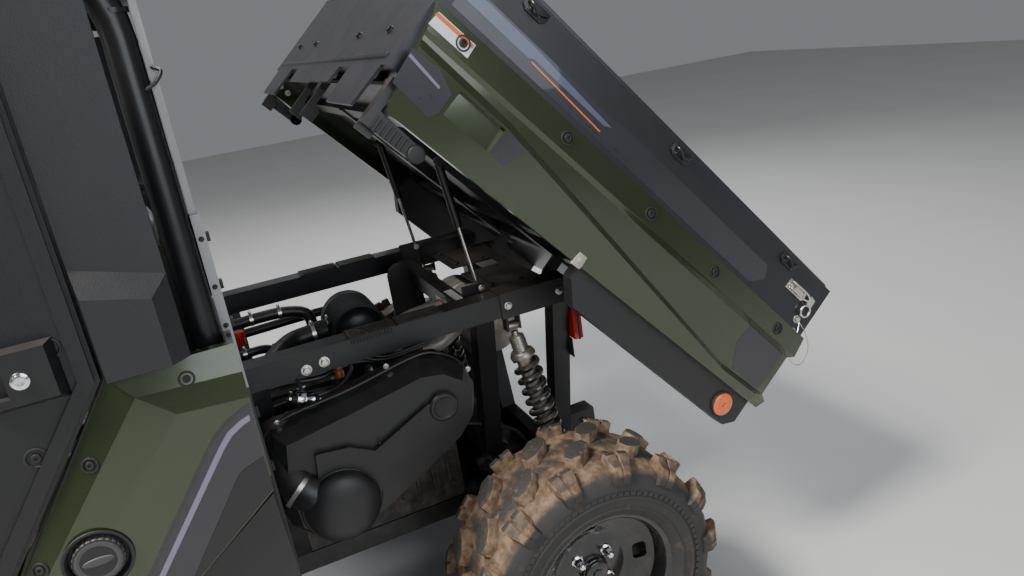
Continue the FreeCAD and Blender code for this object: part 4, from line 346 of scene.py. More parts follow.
@dataclass(frozen=True)
class CastMetal(Finish):
    """Sand-cast or bare metal with oily stains."""

    stain: Colour = (0.06, 0.05, 0.045)

    def build(self) -> bpy.types.Material:
        """Make the material.

        Returns:
            The finished material.
        """
        graph = Graph(self.name)
        blot = graph.noise(11.0, 6.0, 0.7).step(0.4, 0.7)
        base = graph.mix(blot * 0.7, self.colour, self.stain)
        base, rough = self.dusted(graph, base, self.roughness + blot * 0.25)
        return graph.surface(
            Base_Color=base,
            Roughness=rough,
            Metallic=self.metallic,
            Normal=graph.bump(graph.noise(self.grain, 4.0, 0.6), self.depth),
        )


@dataclass(frozen=True)
class MuddyTyre:
    """Black rubber caked with brown mud between the lugs, their tops nearly clean."""

    name: str
    axle: Pair
    groove: float
    slot: str = "tyre"

    def build(self) -> bpy.types.Material:
        """Make the material.

        Returns:
            The finished material.
        """
        graph = Graph(self.name)
        _, y, z = graph.axes(graph.place())
        back, rise = y - self.axle[0], z - self.axle[1]
        reach = (back * back + rise * rise) ** 0.5
        clods = graph.noise(26.0, 8.0, 0.68)
        fine = graph.noise(190.0, 5.0, 0.7)
        _, ny, nz = graph.axes(graph.facing())
        outward = (ny * back + nz * rise) / reach
        top = outward.step(0.70, 0.90) * reach.step(self.groove + 0.001, self.groove + 0.006)
        crest = top * clods.step(0.30, 0.46)
        tread = reach.step(self.groove - 0.020, self.groove - 0.003)
        cake = tread * (1.0 - crest)
        wall = (1.0 - tread) * clods.step(0.52, 0.74) * 0.35
        mud = (cake * clods.step(0.12, 0.42)).larger(wall)
        scuffed = graph.mix(crest * fine.step(0.35, 0.7) * 0.5, RUBBER, RUBBER_SCUFFED)
        soil = graph.mix(graph.noise(44.0, 6.0, 0.6).step(0.35, 0.7), MUD, MUD_PALE)
        height = clods * 0.8 * mud + fine * 0.25 * mud + graph.noise(420.0, 2.0) * 0.06
        return graph.surface(
            Base_Color=graph.mix(mud, scuffed, soil),
            Roughness=0.62 + mud * 0.3,
            Normal=graph.bump(height, CAKE_RELIEF, 0.9),
        )


@dataclass(frozen=True)
class ClearPane:
    """Window glass or a lamp's lens."""

    name: str
    slot: str
    colour: Colour = (0.82, 0.86, 0.86)
    alpha: float = 0.20
    roughness: float = 0.03

    def build(self) -> bpy.types.Material:
        """Make the material.

        Returns:
            The finished material.
        """
        graph = Graph(self.name)
        film = graph.noise(5.0, 6.0, 0.6).step(0.4, 0.8)
        material = graph.surface(
            Base_Color=graph.mix(film * 0.35, self.colour, DUST),
            Roughness=self.roughness + film * 0.04,
            Alpha=self.alpha + film * 0.03,
            Coat_Weight=1.0,
            Normal=graph.bump(graph.noise(3.0, 2.0), 0.0004),
        )
        material.surface_render_method = "BLENDED"
        return material


class Palette:
    """The vehicle's finishes, each built once."""

    def __init__(self, axles: Mapping[str, Point], groove: float) -> None:
        """Gather the finishes.

        Args:
            axles: Centre of each wheel's axle by wheel name.
            groove: Radius of the tyres between their lugs.
        """
        kinds = [
            GrainedPlastic("door_plastic", "textured_black", (0.010, 0.0105, 0.0115), 0.40, grain=700.0,
                           depth=0.00028, dust=0.12, splash=0.08),
            GrainedPlastic("corner_plastic", "textured_black", (0.017, 0.018, 0.021), 0.44, grain=620.0,
                           depth=0.00028, dust=0.06, splash=0.06),
            GrainedPlastic("moulded_plastic", "moulded_black", (0.014, 0.014, 0.015), 0.4, grain=420.0,
                           depth=0.00022, dust=0.10, splash=0.05),
            MetallicPaint("body_paint", "body_green", (0.011, 0.0215, 0.0045), 0.22, metallic=0.5, coat=1.0,
                          depth=0.0006, dust=0.12, splash=0.3),
            Finish("frame_coat", "frame_black", (0.018, 0.018, 0.019), 0.36, grain=260.0, depth=0.0002,
                   dust=0.14, splash=0.12),
            Finish("satin_tube", "frame_black", (0.012, 0.012, 0.013), 0.3, grain=300.0, depth=0.0001, dust=0.2),
            Finish("bed_coat", "bed_steel", (0.013, 0.013, 0.018), 0.34, grain=520.0, depth=0.00016, dust=0.04),
            Finish("panel_grey", "panel_grey", (0.33, 0.33, 0.33), 0.42, grain=300.0, depth=0.0002, dust=0.3),
            Finish("ribbed_rubber", "rubber", (0.020, 0.019, 0.018), 0.7, grain=800.0, depth=0.0003, dust=0.5),
            Finish("hose_rubber", "rubber", (0.012, 0.012, 0.013), 0.36, grain=500.0, depth=0.0002, dust=0.3),
            Finish("seat_vinyl", "seat_vinyl", (0.016, 0.016, 0.017), 0.45, grain=900.0, depth=0.0004),
            Finish("bright_zinc", "bare_steel", (0.66, 0.64, 0.60), 0.28, metallic=1.0, grain=900.0),
            Finish("chrome_nut", "bare_steel", (0.85, 0.85, 0.86), 0.08, metallic=1.0, grain=300.0, depth=0.00002),
            CastMetal("cast_alloy", "cast_metal", (0.40, 0.39, 0.38), 0.5, metallic=0.8, grain=300.0, depth=0.0006),
            CastMetal("cast_iron", "cast_metal", (0.055, 0.055, 0.056), 0.55, metallic=0.6, grain=260.0, depth=0.0006,
                      dust=0.5, splash=0.5),
            CastMetal("exhaust_steel", "bare_steel", (0.62, 0.58, 0.52), 0.46, metallic=0.55, grain=200.0,
                      depth=0.0004, stain=(0.17, 0.09, 0.05)),
            Finish("spring_coat", "spring_black", (0.020, 0.020, 0.022), 0.22, metallic=0.3, coat=0.6, dust=0.5),
            Finish("rim_coat", "rim_black", (0.011, 0.011, 0.012), 0.24, coat=0.6, depth=0.0001, splash=0.12, dust=0.1),
            Finish("soft_grip", "soft_black", (0.015, 0.015, 0.015), 0.6, grain=700.0, depth=0.0003),
            Finish("damper_metal", "bare_steel", (0.42, 0.39, 0.34), 0.38, metallic=0.85, grain=400.0, dust=0.2),
            Finish("pale_clip", "bed_steel", (0.36, 0.35, 0.31), 0.45, grain=500.0, depth=0.0002),
            Finish("cap_grey", "moulded_black", (0.060, 0.060, 0.062), 0.42, grain=420.0, depth=0.0002, dust=0.3),
            Finish("brown_black", "frame_black", (0.040, 0.034, 0.030), 0.45, grain=300.0, depth=0.0002, dust=0.3),
            Finish("red_plastic", "lamp_red", (0.42, 0.012, 0.012), 0.4, grain=300.0, depth=0.0002),
            Finish("lilac_vinyl", "bed_steel", (0.20, 0.18, 0.27), 0.3, coat=0.5, depth=0.00003),
            Finish("grey_vinyl", "bed_steel", (0.021, 0.020, 0.027), 0.3, coat=0.5, depth=0.00003),
            Finish("blue_vinyl", "bed_steel", (0.085, 0.10, 0.165), 0.3, coat=0.5, depth=0.00003),
            Finish("white_vinyl", "bed_steel", (0.78, 0.78, 0.80), 0.35, coat=0.3, depth=0.00003),
            Finish("orange_vinyl", "bed_steel", (0.75, 0.16, 0.03), 0.35, coat=0.3, depth=0.00003),
            Finish("amber_lens", "lamp_red", (0.80, 0.13, 0.01), 0.15, coat=1.0, grain=500.0, depth=0.0005),
            Finish("red_lens", "lamp_red", (0.45, 0.008, 0.006), 0.12, coat=1.0, grain=400.0, depth=0.0006),
            Finish("lamp_bowl", "bare_steel", (0.8, 0.8, 0.8), 0.12, metallic=1.0, grain=120.0),
            Finish("copper_part", "bare_steel", (0.62, 0.24, 0.10), 0.4, metallic=0.8),
            ClearPane("window_glass", "window_glass"),
            ClearPane("lens_clear", "lamp_clear", (0.9, 0.92, 0.93), 0.22),
        ]
        for wheel, centre in axles.items():
            kinds.append(MuddyTyre(f"mud_{wheel}", (centre[1], centre[2]), groove))
        self.finishes = {kind.name: kind for kind in kinds}
        self._built: dict[str, bpy.types.Material] = {}

    def material(self, name: str) -> bpy.types.Material:
        """The material of a finish."""
        if name not in self._built:
            self._built[name] = self.finishes[name].build()
        return self._built[name]

    def coat(self, node: bpy.types.Object, name: str) -> None:
        """Give a node of the frame its finish."""
        node.data.materials.clear()
        node.data.materials.append(self.material(name))


POINTED = 1e-5
WELD = 2e-6


def turns(count: int) -> list[float]:
    """Angles evenly round a full turn."""
    return [2 * math.pi * i / count for i in range(count)]


def rod(low: float, radius: float, high: float) -> list[Pair]:
    """Profile of a plain disc or rod between two levels."""
    return [(low, 0.0), (low, radius), (high, radius), (high, 0.0)]


def collar(low: float, inner: float, outer: float, high: float) -> list[Pair]:
    """Profile of a plain band between two levels."""
    return [(low, inner), (low, outer), (high, outer), (high, inner)]


class Form:
    """A mesh under construction, in the row's frame."""

    def __init__(self) -> None:
        """Start empty."""
        self.mesh = bmesh.new()

    def _face(self, verts: Sequence[bmesh.types.BMVert]) -> None:
        """Add a face where there is none yet."""
        if self.mesh.faces.get(verts) is None:
            self.mesh.faces.new(verts)

    def loft(self, rings: Sequence[Sequence[Point]], caps: bool = True) -> "Form":
        """Join rings of equal count to a skin.

        Args:
            rings: Points of each ring in order.
            caps: Whether the first and last ring are filled.

        Returns:
            This form.
        """
        rows = [[self.mesh.verts.new(Vector(point)) for point in ring] for ring in rings]
        count = len(rows[0])
        for first, second in zip(rows, rows[1:]):
            for i in range(count):
                j = (i + 1) % count
                self._face((first[i], first[j], second[j], second[i]))
        if caps:
            self._face(rows[0][::-1])
            self._face(rows[-1])
        return self

    def slab(self, direction: Direction, outline: Sequence[Point], low: float, high: float) -> "Form":
        """Draw an outline of two coordinates out between two levels of the third."""
        axis = direction.value

        def at(corner: Point, level: float) -> list[float]:
            place = list(corner)
            place.insert(axis, level)
            return place

        return self.loft([[at(corner, low) for corner in outline], [at(corner, high) for corner in outline]])

    def box(self, low: Point, high: Point) -> "Form":
        """A block between two corners."""
        corners = [(low[0], low[1]), (high[0], low[1]), (high[0], high[1]), (low[0], high[1])]
        return self.slab(Direction.UP, corners, low[2], high[2])

    def lathe(self, origin: Point, axis: Point, profile: Sequence[Pair], steps: int = 24,
              turn: float = 0.0) -> "Form":
        """Turn a profile of (along, radius) pairs about an axis.

        Args:
            origin: Where along is zero.
            axis: Direction of the axis.
            profile: Pairs in order; a radius of zero closes an end.
            steps: Sides of the turning; 6 gives a hexagon.
            turn: Angle of the first side, in degrees.

        Returns:
            This form.
        """
        forward = Vector(axis).normalized()
        side = forward.orthogonal().normalized()
        other = forward.cross(side)
        rings = []
        for along, radius in profile:
            centre = Vector(origin) + forward * along
            rings.append([centre + (side * math.cos(a) + other * math.sin(a)) * max(radius, POINTED)
                          for a in (angle + math.radians(turn) for angle in turns(steps))])
        return self.loft(rings)

    def tube(self, path: Sequence[Point], radius: float, steps: int = 10) -> "Form":
        """Sweep a round section along points.

        Args:
            path: Points in order.
            radius: Radius of the section.
            steps: Sides of the section.

        Returns:
            This form.
        """
        points = [Vector(point) for point in path]
        rings = []
        side = (points[1] - points[0]).orthogonal().normalized()
        for i, point in enumerate(points):
            ahead = points[min(i + 1, len(points) - 1)] - points[max(i - 1, 0)]
            ahead.normalize()
            side = (side - ahead * side.dot(ahead)).normalized()
            other = ahead.cross(side)
            rings.append([point + (side * math.cos(a) + other * math.sin(a)) * radius for a in turns(steps)])
        return self.loft(rings)

    def bolt(self, place: Point, axis: Point, radius: float) -> "Form":
        """A hexagon head on its washer."""
        out = Vector(axis).normalized()
        rim, start, height = radius * 1.45, 0.002, radius * 0.8
        self.lathe(place, out, [(-0.001, 0), (-0.001, rim), (0.0014, rim), (start, rim * 0.94), (start, 0)], 18)
        head = [(start, 0), (start, radius), (start + height * 0.85, radius), (start + height, radius * 0.86),
                (start + height, 0)]
        return self.lathe(place, out, head, 6, 15.0)

    def done(self, name: str, body: str, material: bpy.types.Material, slot: str, bevel: float = 0.0,
             crease: float = 35.0) -> bpy.types.Object:
        """Close the form to a piece that rides on a body.

        Args:
            name: The piece's name.
            body: The body it rides on.
            material: Its material.
            slot: The record's slot for its finish; not used.
            bevel: Width of the rounding on its sharp edges.
            crease: Angle above which an edge stays sharp, in degrees.

        Returns:
            The new object.
        """
        work = self.mesh
        bmesh.ops.remove_doubles(work, verts=work.verts, dist=WELD)
        bmesh.ops.recalc_face_normals(work, faces=work.faces)
        if bevel:
            sharp = [e for e in work.edges if e.is_manifold and e.calc_face_angle(0.0) > math.radians(crease)]
            bmesh.ops.bevel(work, geom=sharp, offset=bevel, offset_type="OFFSET", segments=2, profile=0.6,
                            affect="EDGES", clamp_overlap=True)
        data = bpy.data.meshes.new(name)
        work.to_mesh(data)
        work.free()
        for polygon in data.polygons:
            polygon.use_smooth = True
        data.set_sharp_from_angle(angle=math.radians(crease))
        data.materials.append(material)
        piece = bpy.data.objects.new(name, data)
        bpy.context.scene.collection.objects.link(piece)
        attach(piece, body)
        return piece


def smooth_path(points: Sequence[Point], steps: int = 8) -> list[Vector]:
    """A rounded run through points, by Catmull-Rom spans.

    Args:
        points: Points that the run passes.
        steps: Parts of each span.

    Returns:
        Points along the run.
    """
    knots = [Vector(point) for point in points]
    knots = [knots[0] * 2 - knots[1], *knots, knots[-1] * 2 - knots[-2]]
    run = []
    for before, start, end, after in zip(knots, knots[1:], knots[2:], knots[3:]):
        for i in range(steps):
            t = i / steps
            run.append(0.5 * (2 * start + (end - before) * t + (2 * before - 5 * start + 4 * end - after) * t * t
                              + (3 * start - before - 3 * end + after) * t ** 3))
    run.append(knots[-2])
    return run


def circle(centre: Point, radius: float, axis: Direction, count: int, start: float = 0.0) -> list[Vector]:
    """Points evenly on a circle about an axis."""
    first, second = [i for i in range(3) if i != axis.value]
    ring = []
    for turn in turns(count):
        angle = math.radians(start) + turn
        point = Vector(centre)
        point[first] += radius * math.cos(angle)
        point[second] += radius * math.sin(angle)
        ring.append(point)
    return ring


TREAD_DEPTH = 0.03
STICKER_GRID = 0.020
STICKER_ROOT = 0.0008
STICKER_STRAY = 0.05


class Vehicle:
    """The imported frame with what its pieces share: finishes, axles and the bed's own axes."""

    def __init__(self, frame: Mapping[str, Any]) -> None:
        """Read the frame's joints and nodes."""
        self.nodes = frame["nodes"]
        self.joints = {joint["name"]: joint for joint in frame["joints"]}
        self.rear_y = self.joints["spin_rear_left"]["pos_m"][1]
        self.hinge = Vector(self.joints["bed_lower"]["pos_m"])
        tilt = -math.radians(self.joints["bed_lower"]["range_deg"][1])
        self.bed_turn = Matrix.Rotation(tilt, 4, "X")
        wheels = ("rear_left", "rear_right", "front_left", "front_right")
        self.axles = {wheel: Vector(self.joints[f"spin_{wheel}"]["pos_m"]) for wheel in wheels}
        low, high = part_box("tyre_rear_left")
        crest = (high[2] - low[2]) / 2
        self.palette = Palette(self.axles, crest - TREAD_DEPTH)
        self._searches: dict[str, BVHTree] = {}

    def at(self, x: float, y: float, z: float) -> Vector:
        """A point given from the rear axle line, in the row's frame."""
        return Vector((x, y + self.rear_y, z))

    def on_bed(self, x: float, y: float, z: float) -> Vector:
        """A point given about the bed's hinge with the bed lowered, in the row's frame at rest."""
        return self.bed_turn @ Vector((x, y, z)) + self.hinge

    def bed_way(self, x: float, y: float, z: float) -> Vector:
        """A direction of the bed, in the row's frame at rest."""
        return self.bed_turn.to_3x3() @ Vector((x, y, z))

    def finish(self, form: Form, name: str, body: str, finish: str, bevel: float = 0.0,
               crease: float = 35.0) -> bpy.types.Object:
        """Close a form with one of the palette's finishes."""
        kind = self.palette.finishes[finish]
        return form.done(name, body, self.palette.material(finish), kind.slot, bevel, crease)

    def _trees(self, node: str) -> BVHTree:
        """A search tree over a node's faces."""
        if node not in self._searches:
            data = self.nodes[node].data
            corners = [v.co.copy() for v in data.vertices]
            self._searches[node] = BVHTree.FromPolygons(corners, [tuple(p.vertices) for p in data.polygons])
        return self._searches[node]

    def touch(self, node: str, side: int, y: float, z: float) -> tuple[Vector, Vector]:
        """Where a line from the side first meets a node.

        Args:
            node: The node's name.
            side: Sign of the side that the line comes from.
            y: Station from the rear axle line.
            z: Height.

        Returns:
            The point and the surface's normal, facing out.
        """
        start = self.at(side * 1.5, y, z)
        point, normal, _, _ = self._trees(node).ray_cast(start, Vector((-side, 0, 0)))
        if point is None:
            return self.at(0.0, y, z), Vector((side, 0, 0))
        return point, normal if normal.x * side > 0 else -normal

    def sticker(self, name: str, node: str, outline: Sequence[Pair], side: int, finish: str,
                lift: float = 0.0006) -> bpy.types.Object:
        """A thin sticker that follows a node's side.

        Args:
            name: The piece's name.
            node: The node it lies on.
            outline: Corners as (y, z) from the rear axle line.
            side: Sign of the side.
            finish: Its finish in the palette.
            lift: How far its face stands off the node.

        Returns:
            The piece.
        """
        form = Form()
        work = form.mesh
        work.faces.new([work.verts.new(self.at(0.0, y, z)) for y, z in outline])
        for axis in (1, 2):
            values = [v.co[axis] for v in work.verts]
            level = min(values) + STICKER_GRID
            while level < max(values):
                point, normal = Vector(), Vector()
                point[axis], normal[axis] = level, 1.0
                geometry = [*work.verts, *work.edges, *work.faces]
                bmesh.ops.bisect_plane(work, geom=geometry, plane_co=point, plane_no=normal, dist=1e-6)
                level += STICKER_GRID
        bmesh.ops.triangulate(work, faces=work.faces)
        flat = [(v, v.co.copy()) for v in work.verts]
        for vertex, place in flat:
            point, _ = self.touch(node, side, place.y - self.rear_y, place.z)
            vertex.co = Vector((point.x + side * lift, place.y, place.z))
        levels = sorted(vertex.co.x * side for vertex, _ in flat)
        usual = levels[len(levels) // 2]
        for vertex, _ in flat:
            if abs(vertex.co.x * side - usual) > STICKER_STRAY:
                vertex.co.x = side * usual
        shell = bmesh.ops.extrude_face_region(work, geom=work.faces[:])
        for item in shell["geom"]:
            if isinstance(item, bmesh.types.BMVert):
                item.co.x -= side * (lift + STICKER_ROOT)
        return self.finish(form, name, "chassis", finish, crease=40.0)

    def block(self, form: Form, side: int, x: Pair, y: Pair, z: Pair) -> None:
        """Add a block on one side by its ends across, along and up."""
        ends = list(zip(self.at(side * x[0], y[0], z[0]), self.at(side * x[1], y[1], z[1])))
        form.box([min(pair) for pair in ends], [max(pair) for pair in ends])

    @staticmethod
    def _replace_mesh(piece: bpy.types.Object) -> None:
        """Turn a piece's modifiers into its mesh."""
        result = piece.evaluated_get(bpy.context.evaluated_depsgraph_get())
        data = bpy.data.meshes.new_from_object(result)
        piece.modifiers.clear()
        piece.data = data

    def cut(self, piece: bpy.types.Object, cutter: Form) -> None:
        """Cut a form out of a piece."""
        data = bpy.data.meshes.new("cutter")
        bmesh.ops.recalc_face_normals(cutter.mesh, faces=cutter.mesh.faces)
        cutter.mesh.to_mesh(data)
        cutter.mesh.free()
        tool = bpy.data.objects.new("cutter", data)
        bpy.context.scene.collection.objects.link(tool)
        change = piece.modifiers.new("cut", "BOOLEAN")
        change.operation = "DIFFERENCE"
        change.solver = "EXACT"
        change.object = tool
        self._replace_mesh(piece)
        bpy.data.objects.remove(tool)

    def remesh(self, piece: bpy.types.Object, voxel: float) -> None:
        """Remesh a piece evenly."""
        change = piece.modifiers.new("even", "REMESH")
        change.mode = "VOXEL"
        change.voxel_size = voxel
        change.use_smooth_shade = True
        self._replace_mesh(piece)

    def subdivide(self, piece: bpy.types.Object) -> None:
        """Smooth a piece by one subdivision."""
        change = piece.modifiers.new("smooth", "SUBSURF")
        change.levels = 1
        change.render_levels = 1
        self._replace_mesh(piece)
        for polygon in piece.data.polygons:
            polygon.use_smooth = True


NODE_FINISHES = {
    "lower_frame": "frame_coat", "bay_frame": "frame_coat", "roll_cage": "satin_tube", "roof_panel": "corner_plastic",
    "cab_glass": "window_glass", "rear_bulkhead": "panel_grey", "corner_panels": "corner_plastic",
    "quarter_panels": "body_paint", "fuel_cap": "moulded_plastic", "sill_panels": "moulded_plastic",
    "cab_tub": "moulded_plastic", "seat_cushions": "seat_vinyl", "seat_backs": "seat_vinyl",
    "dashboard": "corner_plastic", "front_fascia": "moulded_plastic", "headlamps": "lens_clear",
    "front_fenders": "body_paint", "front_bumper": "satin_tube", "suspension_arms": "frame_coat",
    "coil_overs": "spring_coat", "axle_shafts": "cast_iron", "rear_knuckles": "cast_iron",
    "engine_block": "cast_iron", "belt_cover": "moulded_plastic", "air_cleaner": "moulded_plastic",
    "exhaust": "exhaust_steel", "hitch_receiver": "frame_coat", "tail_lamps": "red_lens", "hood": "body_paint",
    "door_left": "door_plastic", "door_right": "door_plastic", "door_glass_left": "window_glass",
    "door_glass_right": "window_glass", "knuckle_front_left": "cast_iron", "knuckle_front_right": "cast_iron",
    "rim_front_left": "rim_coat", "rim_front_right": "rim_coat", "rim_rear_left": "rim_coat",
    "rim_rear_right": "rim_coat", "steering_rack": "bright_zinc", "steering_wheel": "soft_grip",
    "bed_tray": "bed_coat", "bed_mouldings": "body_paint", "bed_skirts": "moulded_plastic",
    "bed_channels": "frame_coat", "bed_latch": "frame_coat", "tailgate": "bed_coat", "strut_barrel_left": "satin_tube",
    "strut_barrel_right": "satin_tube", "strut_rod_left": "bright_zinc", "strut_rod_right": "bright_zinc",
    "rail_pads": "ribbed_rubber",
    "tyre_rear_left": "mud_rear_left", "tyre_rear_right": "mud_rear_right",
    "tyre_front_left": "mud_front_left", "tyre_front_right": "mud_front_right",
}


def bent(points: Sequence[Point], radius: float, steps: int = 7) -> list[Vector]:
    """A run of bar with each corner turned on an arc.

    Args:
        points: Corners of the run.
        radius: Radius of the bends, made smaller where a run is too short.
        steps: Parts of each arc.

    Returns:
        Points along the run.
    """
    knots = [Vector(point) for point in points]
    run = [knots[0]]
    for before, corner, after in zip(knots, knots[1:], knots[2:]):
        back = (before - corner).normalized()
        ahead = (after - corner).normalized()
        half = back.angle(ahead) / 2
        reach = min(radius / math.tan(half), 0.4 * (before - corner).length, 0.8 * (after - corner).length)
        start = corner + back * reach
        end = corner + ahead * reach
        for i in range(steps + 1):
            t = i / steps
            run.append(start * (1 - t) ** 2 + corner * (2 * t * (1 - t)) + end * t * t)
    run.append(knots[-1])
    return run


@dataclass
class Group:
    """A group of pieces with the vehicle's ways of placing and finishing them."""

    vehicle: Vehicle

    def __post_init__(self) -> None:
        """Take over the vehicle's ways."""
        self.at = self.vehicle.at
        self.on = self.vehicle.on_bed
        self.finish = self.vehicle.finish

    def through(self, *points: Point, steps: int) -> list[Vector]:
        """A rounded run through points given from the rear axle line."""
        return smooth_path([self.at(*point) for point in points], steps)


@dataclass
class Tyres(Group):
    """Four knobby tyres: a smooth muddy carcass under staggered lugs."""

    sectors: int = 28
    around: int = 117
    crest: float = 0.3287
    groove: float = 0.301
    bead: float = 0.1763
    clod: float = 0.005
    cake: float = 0.3085
    bars: int = 90

    def build(self) -> Iterable[bpy.types.Object]:
        """Make a tyre for each wheel.

        Returns:
            The pieces.
        """
        for wheel in self.vehicle.axles:
            low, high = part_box(f"tyre_{wheel}")
            centre = (Vector(low) + Vector(high)) / 2
            half = (high[0] - low[0]) / 2
            side = 1.0 if "left" in wheel else -1.0
            yield self._carcass(wheel, centre, half, side)
            yield self._lugs(wheel, centre, half, side)

    @staticmethod
    def _at(centre: Vector, side: float, x: float, radius: float, angle: float) -> Vector:
        """A point of the tyre by its station across, radius and angle."""
        return centre + Vector((side * x, side * radius * math.sin(angle), -radius * math.cos(angle)))

    def _section(self, half: float) -> list[Pair]:
        """The carcass's section as (across, radius) corners, from outer bead over the tread and back inside."""
        outer = [(half - 0.026, self.bead), (half - 0.012, 0.1850), (half - 0.006, 0.1990), (half - 0.0025, 0.2020),
                 (half - 0.0025, 0.2050), (half - 0.0045, 0.2075), (half - 0.0035, 0.2260), (half - 0.001, 0.2290),
                 (half - 0.001, 0.2330), (half - 0.0035, 0.2360), (half - 0.0045, 0.2500), (half - 0.0075, 0.2660),
                 (half - 0.018, 0.2830), (half - 0.034, 0.2930)]
        tread = [(half - 0.050, 0.2975), (half * 0.45, 0.2990), (half * 0.30, 0.3005), (half * 0.16, 0.3010)]
        upper = [*outer, *tread, (0.0, self.groove)]
        inner = [(half - 0.042, self.bead), (half - 0.022, 0.2213), (half - 0.040, 0.2751)]
        return [*upper, *((-x, r) for x, r in reversed(upper[:-1])),
                *((-x, r) for x, r in inner), *reversed(inner)]

    def _carcass(self, wheel: str, centre: Vector, half: float, side: float) -> bpy.types.Object:
        """The tyre's body, its grooves uneven with mud."""
        form = Form()
        rows = []
        for angle in turns(self.around):
            ring = []
            for x, radius in self._section(half):
                if radius > 0.27 and abs(x) < half - 0.012:
                    seed = Vector((x * 26 + side * 3, math.sin(angle) * 9, math.cos(angle) * 9))
                    radius = min(radius + self.clod * (0.4 + noise.fractal(seed, 0.8, 2.0, 4)), self.cake)
                ring.append(self._at(centre, side, x, radius, angle))
            rows.append(ring)
        form.loft([*rows, rows[0]], caps=False)
        x = half - 0.0060
        for angle in turns(self.bars):
            corners = []
            for radius, turn in ((0.2385, -0.4), (0.2475, -0.4), (0.2475, 0.4), (0.2385, 0.4)):
                corners.append((radius, angle + turn * 2 * math.pi / self.bars))
            form.loft([[self._at(centre, side, level, r, a) for r, a in corners] for level in (x, x + 0.0045)])
        piece = self.finish(form, f"tyre_body_{wheel}", f"wheel_{wheel}", f"mud_{wheel}")
        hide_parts(f"tyre_{wheel}")
        return piece

    def _lugs(self, wheel: str, centre: Vector, half: float, side: float) -> bpy.types.Object:
        """Long six-sided lugs by the middle and shoulder blocks that run down the wall."""
        form = Form()
        for i, angle in enumerate(turns(self.sectors)):
            for face in (1, -1):
                lug = self._middle_lug if (i % 2 == 0) == (face > 0) else self._shoulder_lug
                lug(form, centre, side, face, angle, half)
        piece = self.finish(form, f"lugs_{wheel}", f"wheel_{wheel}", f"mud_{wheel}", 0.0022, 28.0)
        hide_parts(f"tyre_{wheel}")
        return piece

    def _middle_lug(self, form: Form, centre: Vector, side: float, face: int, angle: float, half: float) -> None:
        """One lug near the middle, leaning across the tread."""
        outline = ((9, -33), (27, -39), (55, -22), (74, 5), (72, 30), (53, 39), (27, 24), (8, -8))
        wide = 1.0 if half > 0.12 else 0.94
        rings = []
        for grow, radius in ((1.16, self.groove - 0.006), (1.06, self.groove + 0.008), (0.99, self.crest - 0.004),
                             (0.94, self.crest)):
            ring = []
            for x, t in outline:
                across = (39 + (x - 39) * grow) * wide / 1000
                ring.append(self._at(centre, side, face * across, radius, angle + face * t * grow / 1000 / self.crest))
            rings.append(ring)
        form.loft(rings)

    def _shoulder_lug(self, form: Form, centre: Vector, side: float, face: int, angle: float, half: float) -> None:
        """One block over the shoulder, ending in a foot on the wall."""
        start = 0.083
        knee = min(0.100, start + (half - start) * 0.34)
        bend = max(knee + 0.001, half - 0.028)
        base = ((start, 0.2965), (start + 0.003, 0.2985), (knee, 0.2975), (bend, 0.2920), (half - 0.015, 0.2830),
                (half - 0.007, 0.2740), (half - 0.006, 0.2640), (half - 0.013, 0.2600), (half - 0.022, 0.2620))
        full = ((start, 0.2975), (start + 0.004, self.crest - 0.003), (knee, self.crest - 0.003),
                (bend, self.crest - 0.012), (half - 0.011, self.crest - 0.022), (half - 0.0015, 0.2900),
                (half - 0.0010, 0.2680), (half - 0.013, 0.2600), (half - 0.022, 0.2620))
        rings = []
        for t, share in ((-34, 0.0), (-30, 0.92), (-27, 1.0), (-4, 1.0), (-3, 0.72), (3, 0.72), (4, 1.0), (27, 1.0),
                         (30, 0.92), (34, 0.0)):
            ring = []
            for (x0, r0), (x1, r1) in zip(base, full):
                x, radius = x0 + (x1 - x0) * share, r0 + (r1 - r0) * share
                narrow = 1.0 - 0.2 * (half - x < 0.02)
                ring.append(self._at(centre, side, face * x, radius, angle + t * narrow / 1000 / self.crest))
            rings.append(ring)
        form.loft(rings)


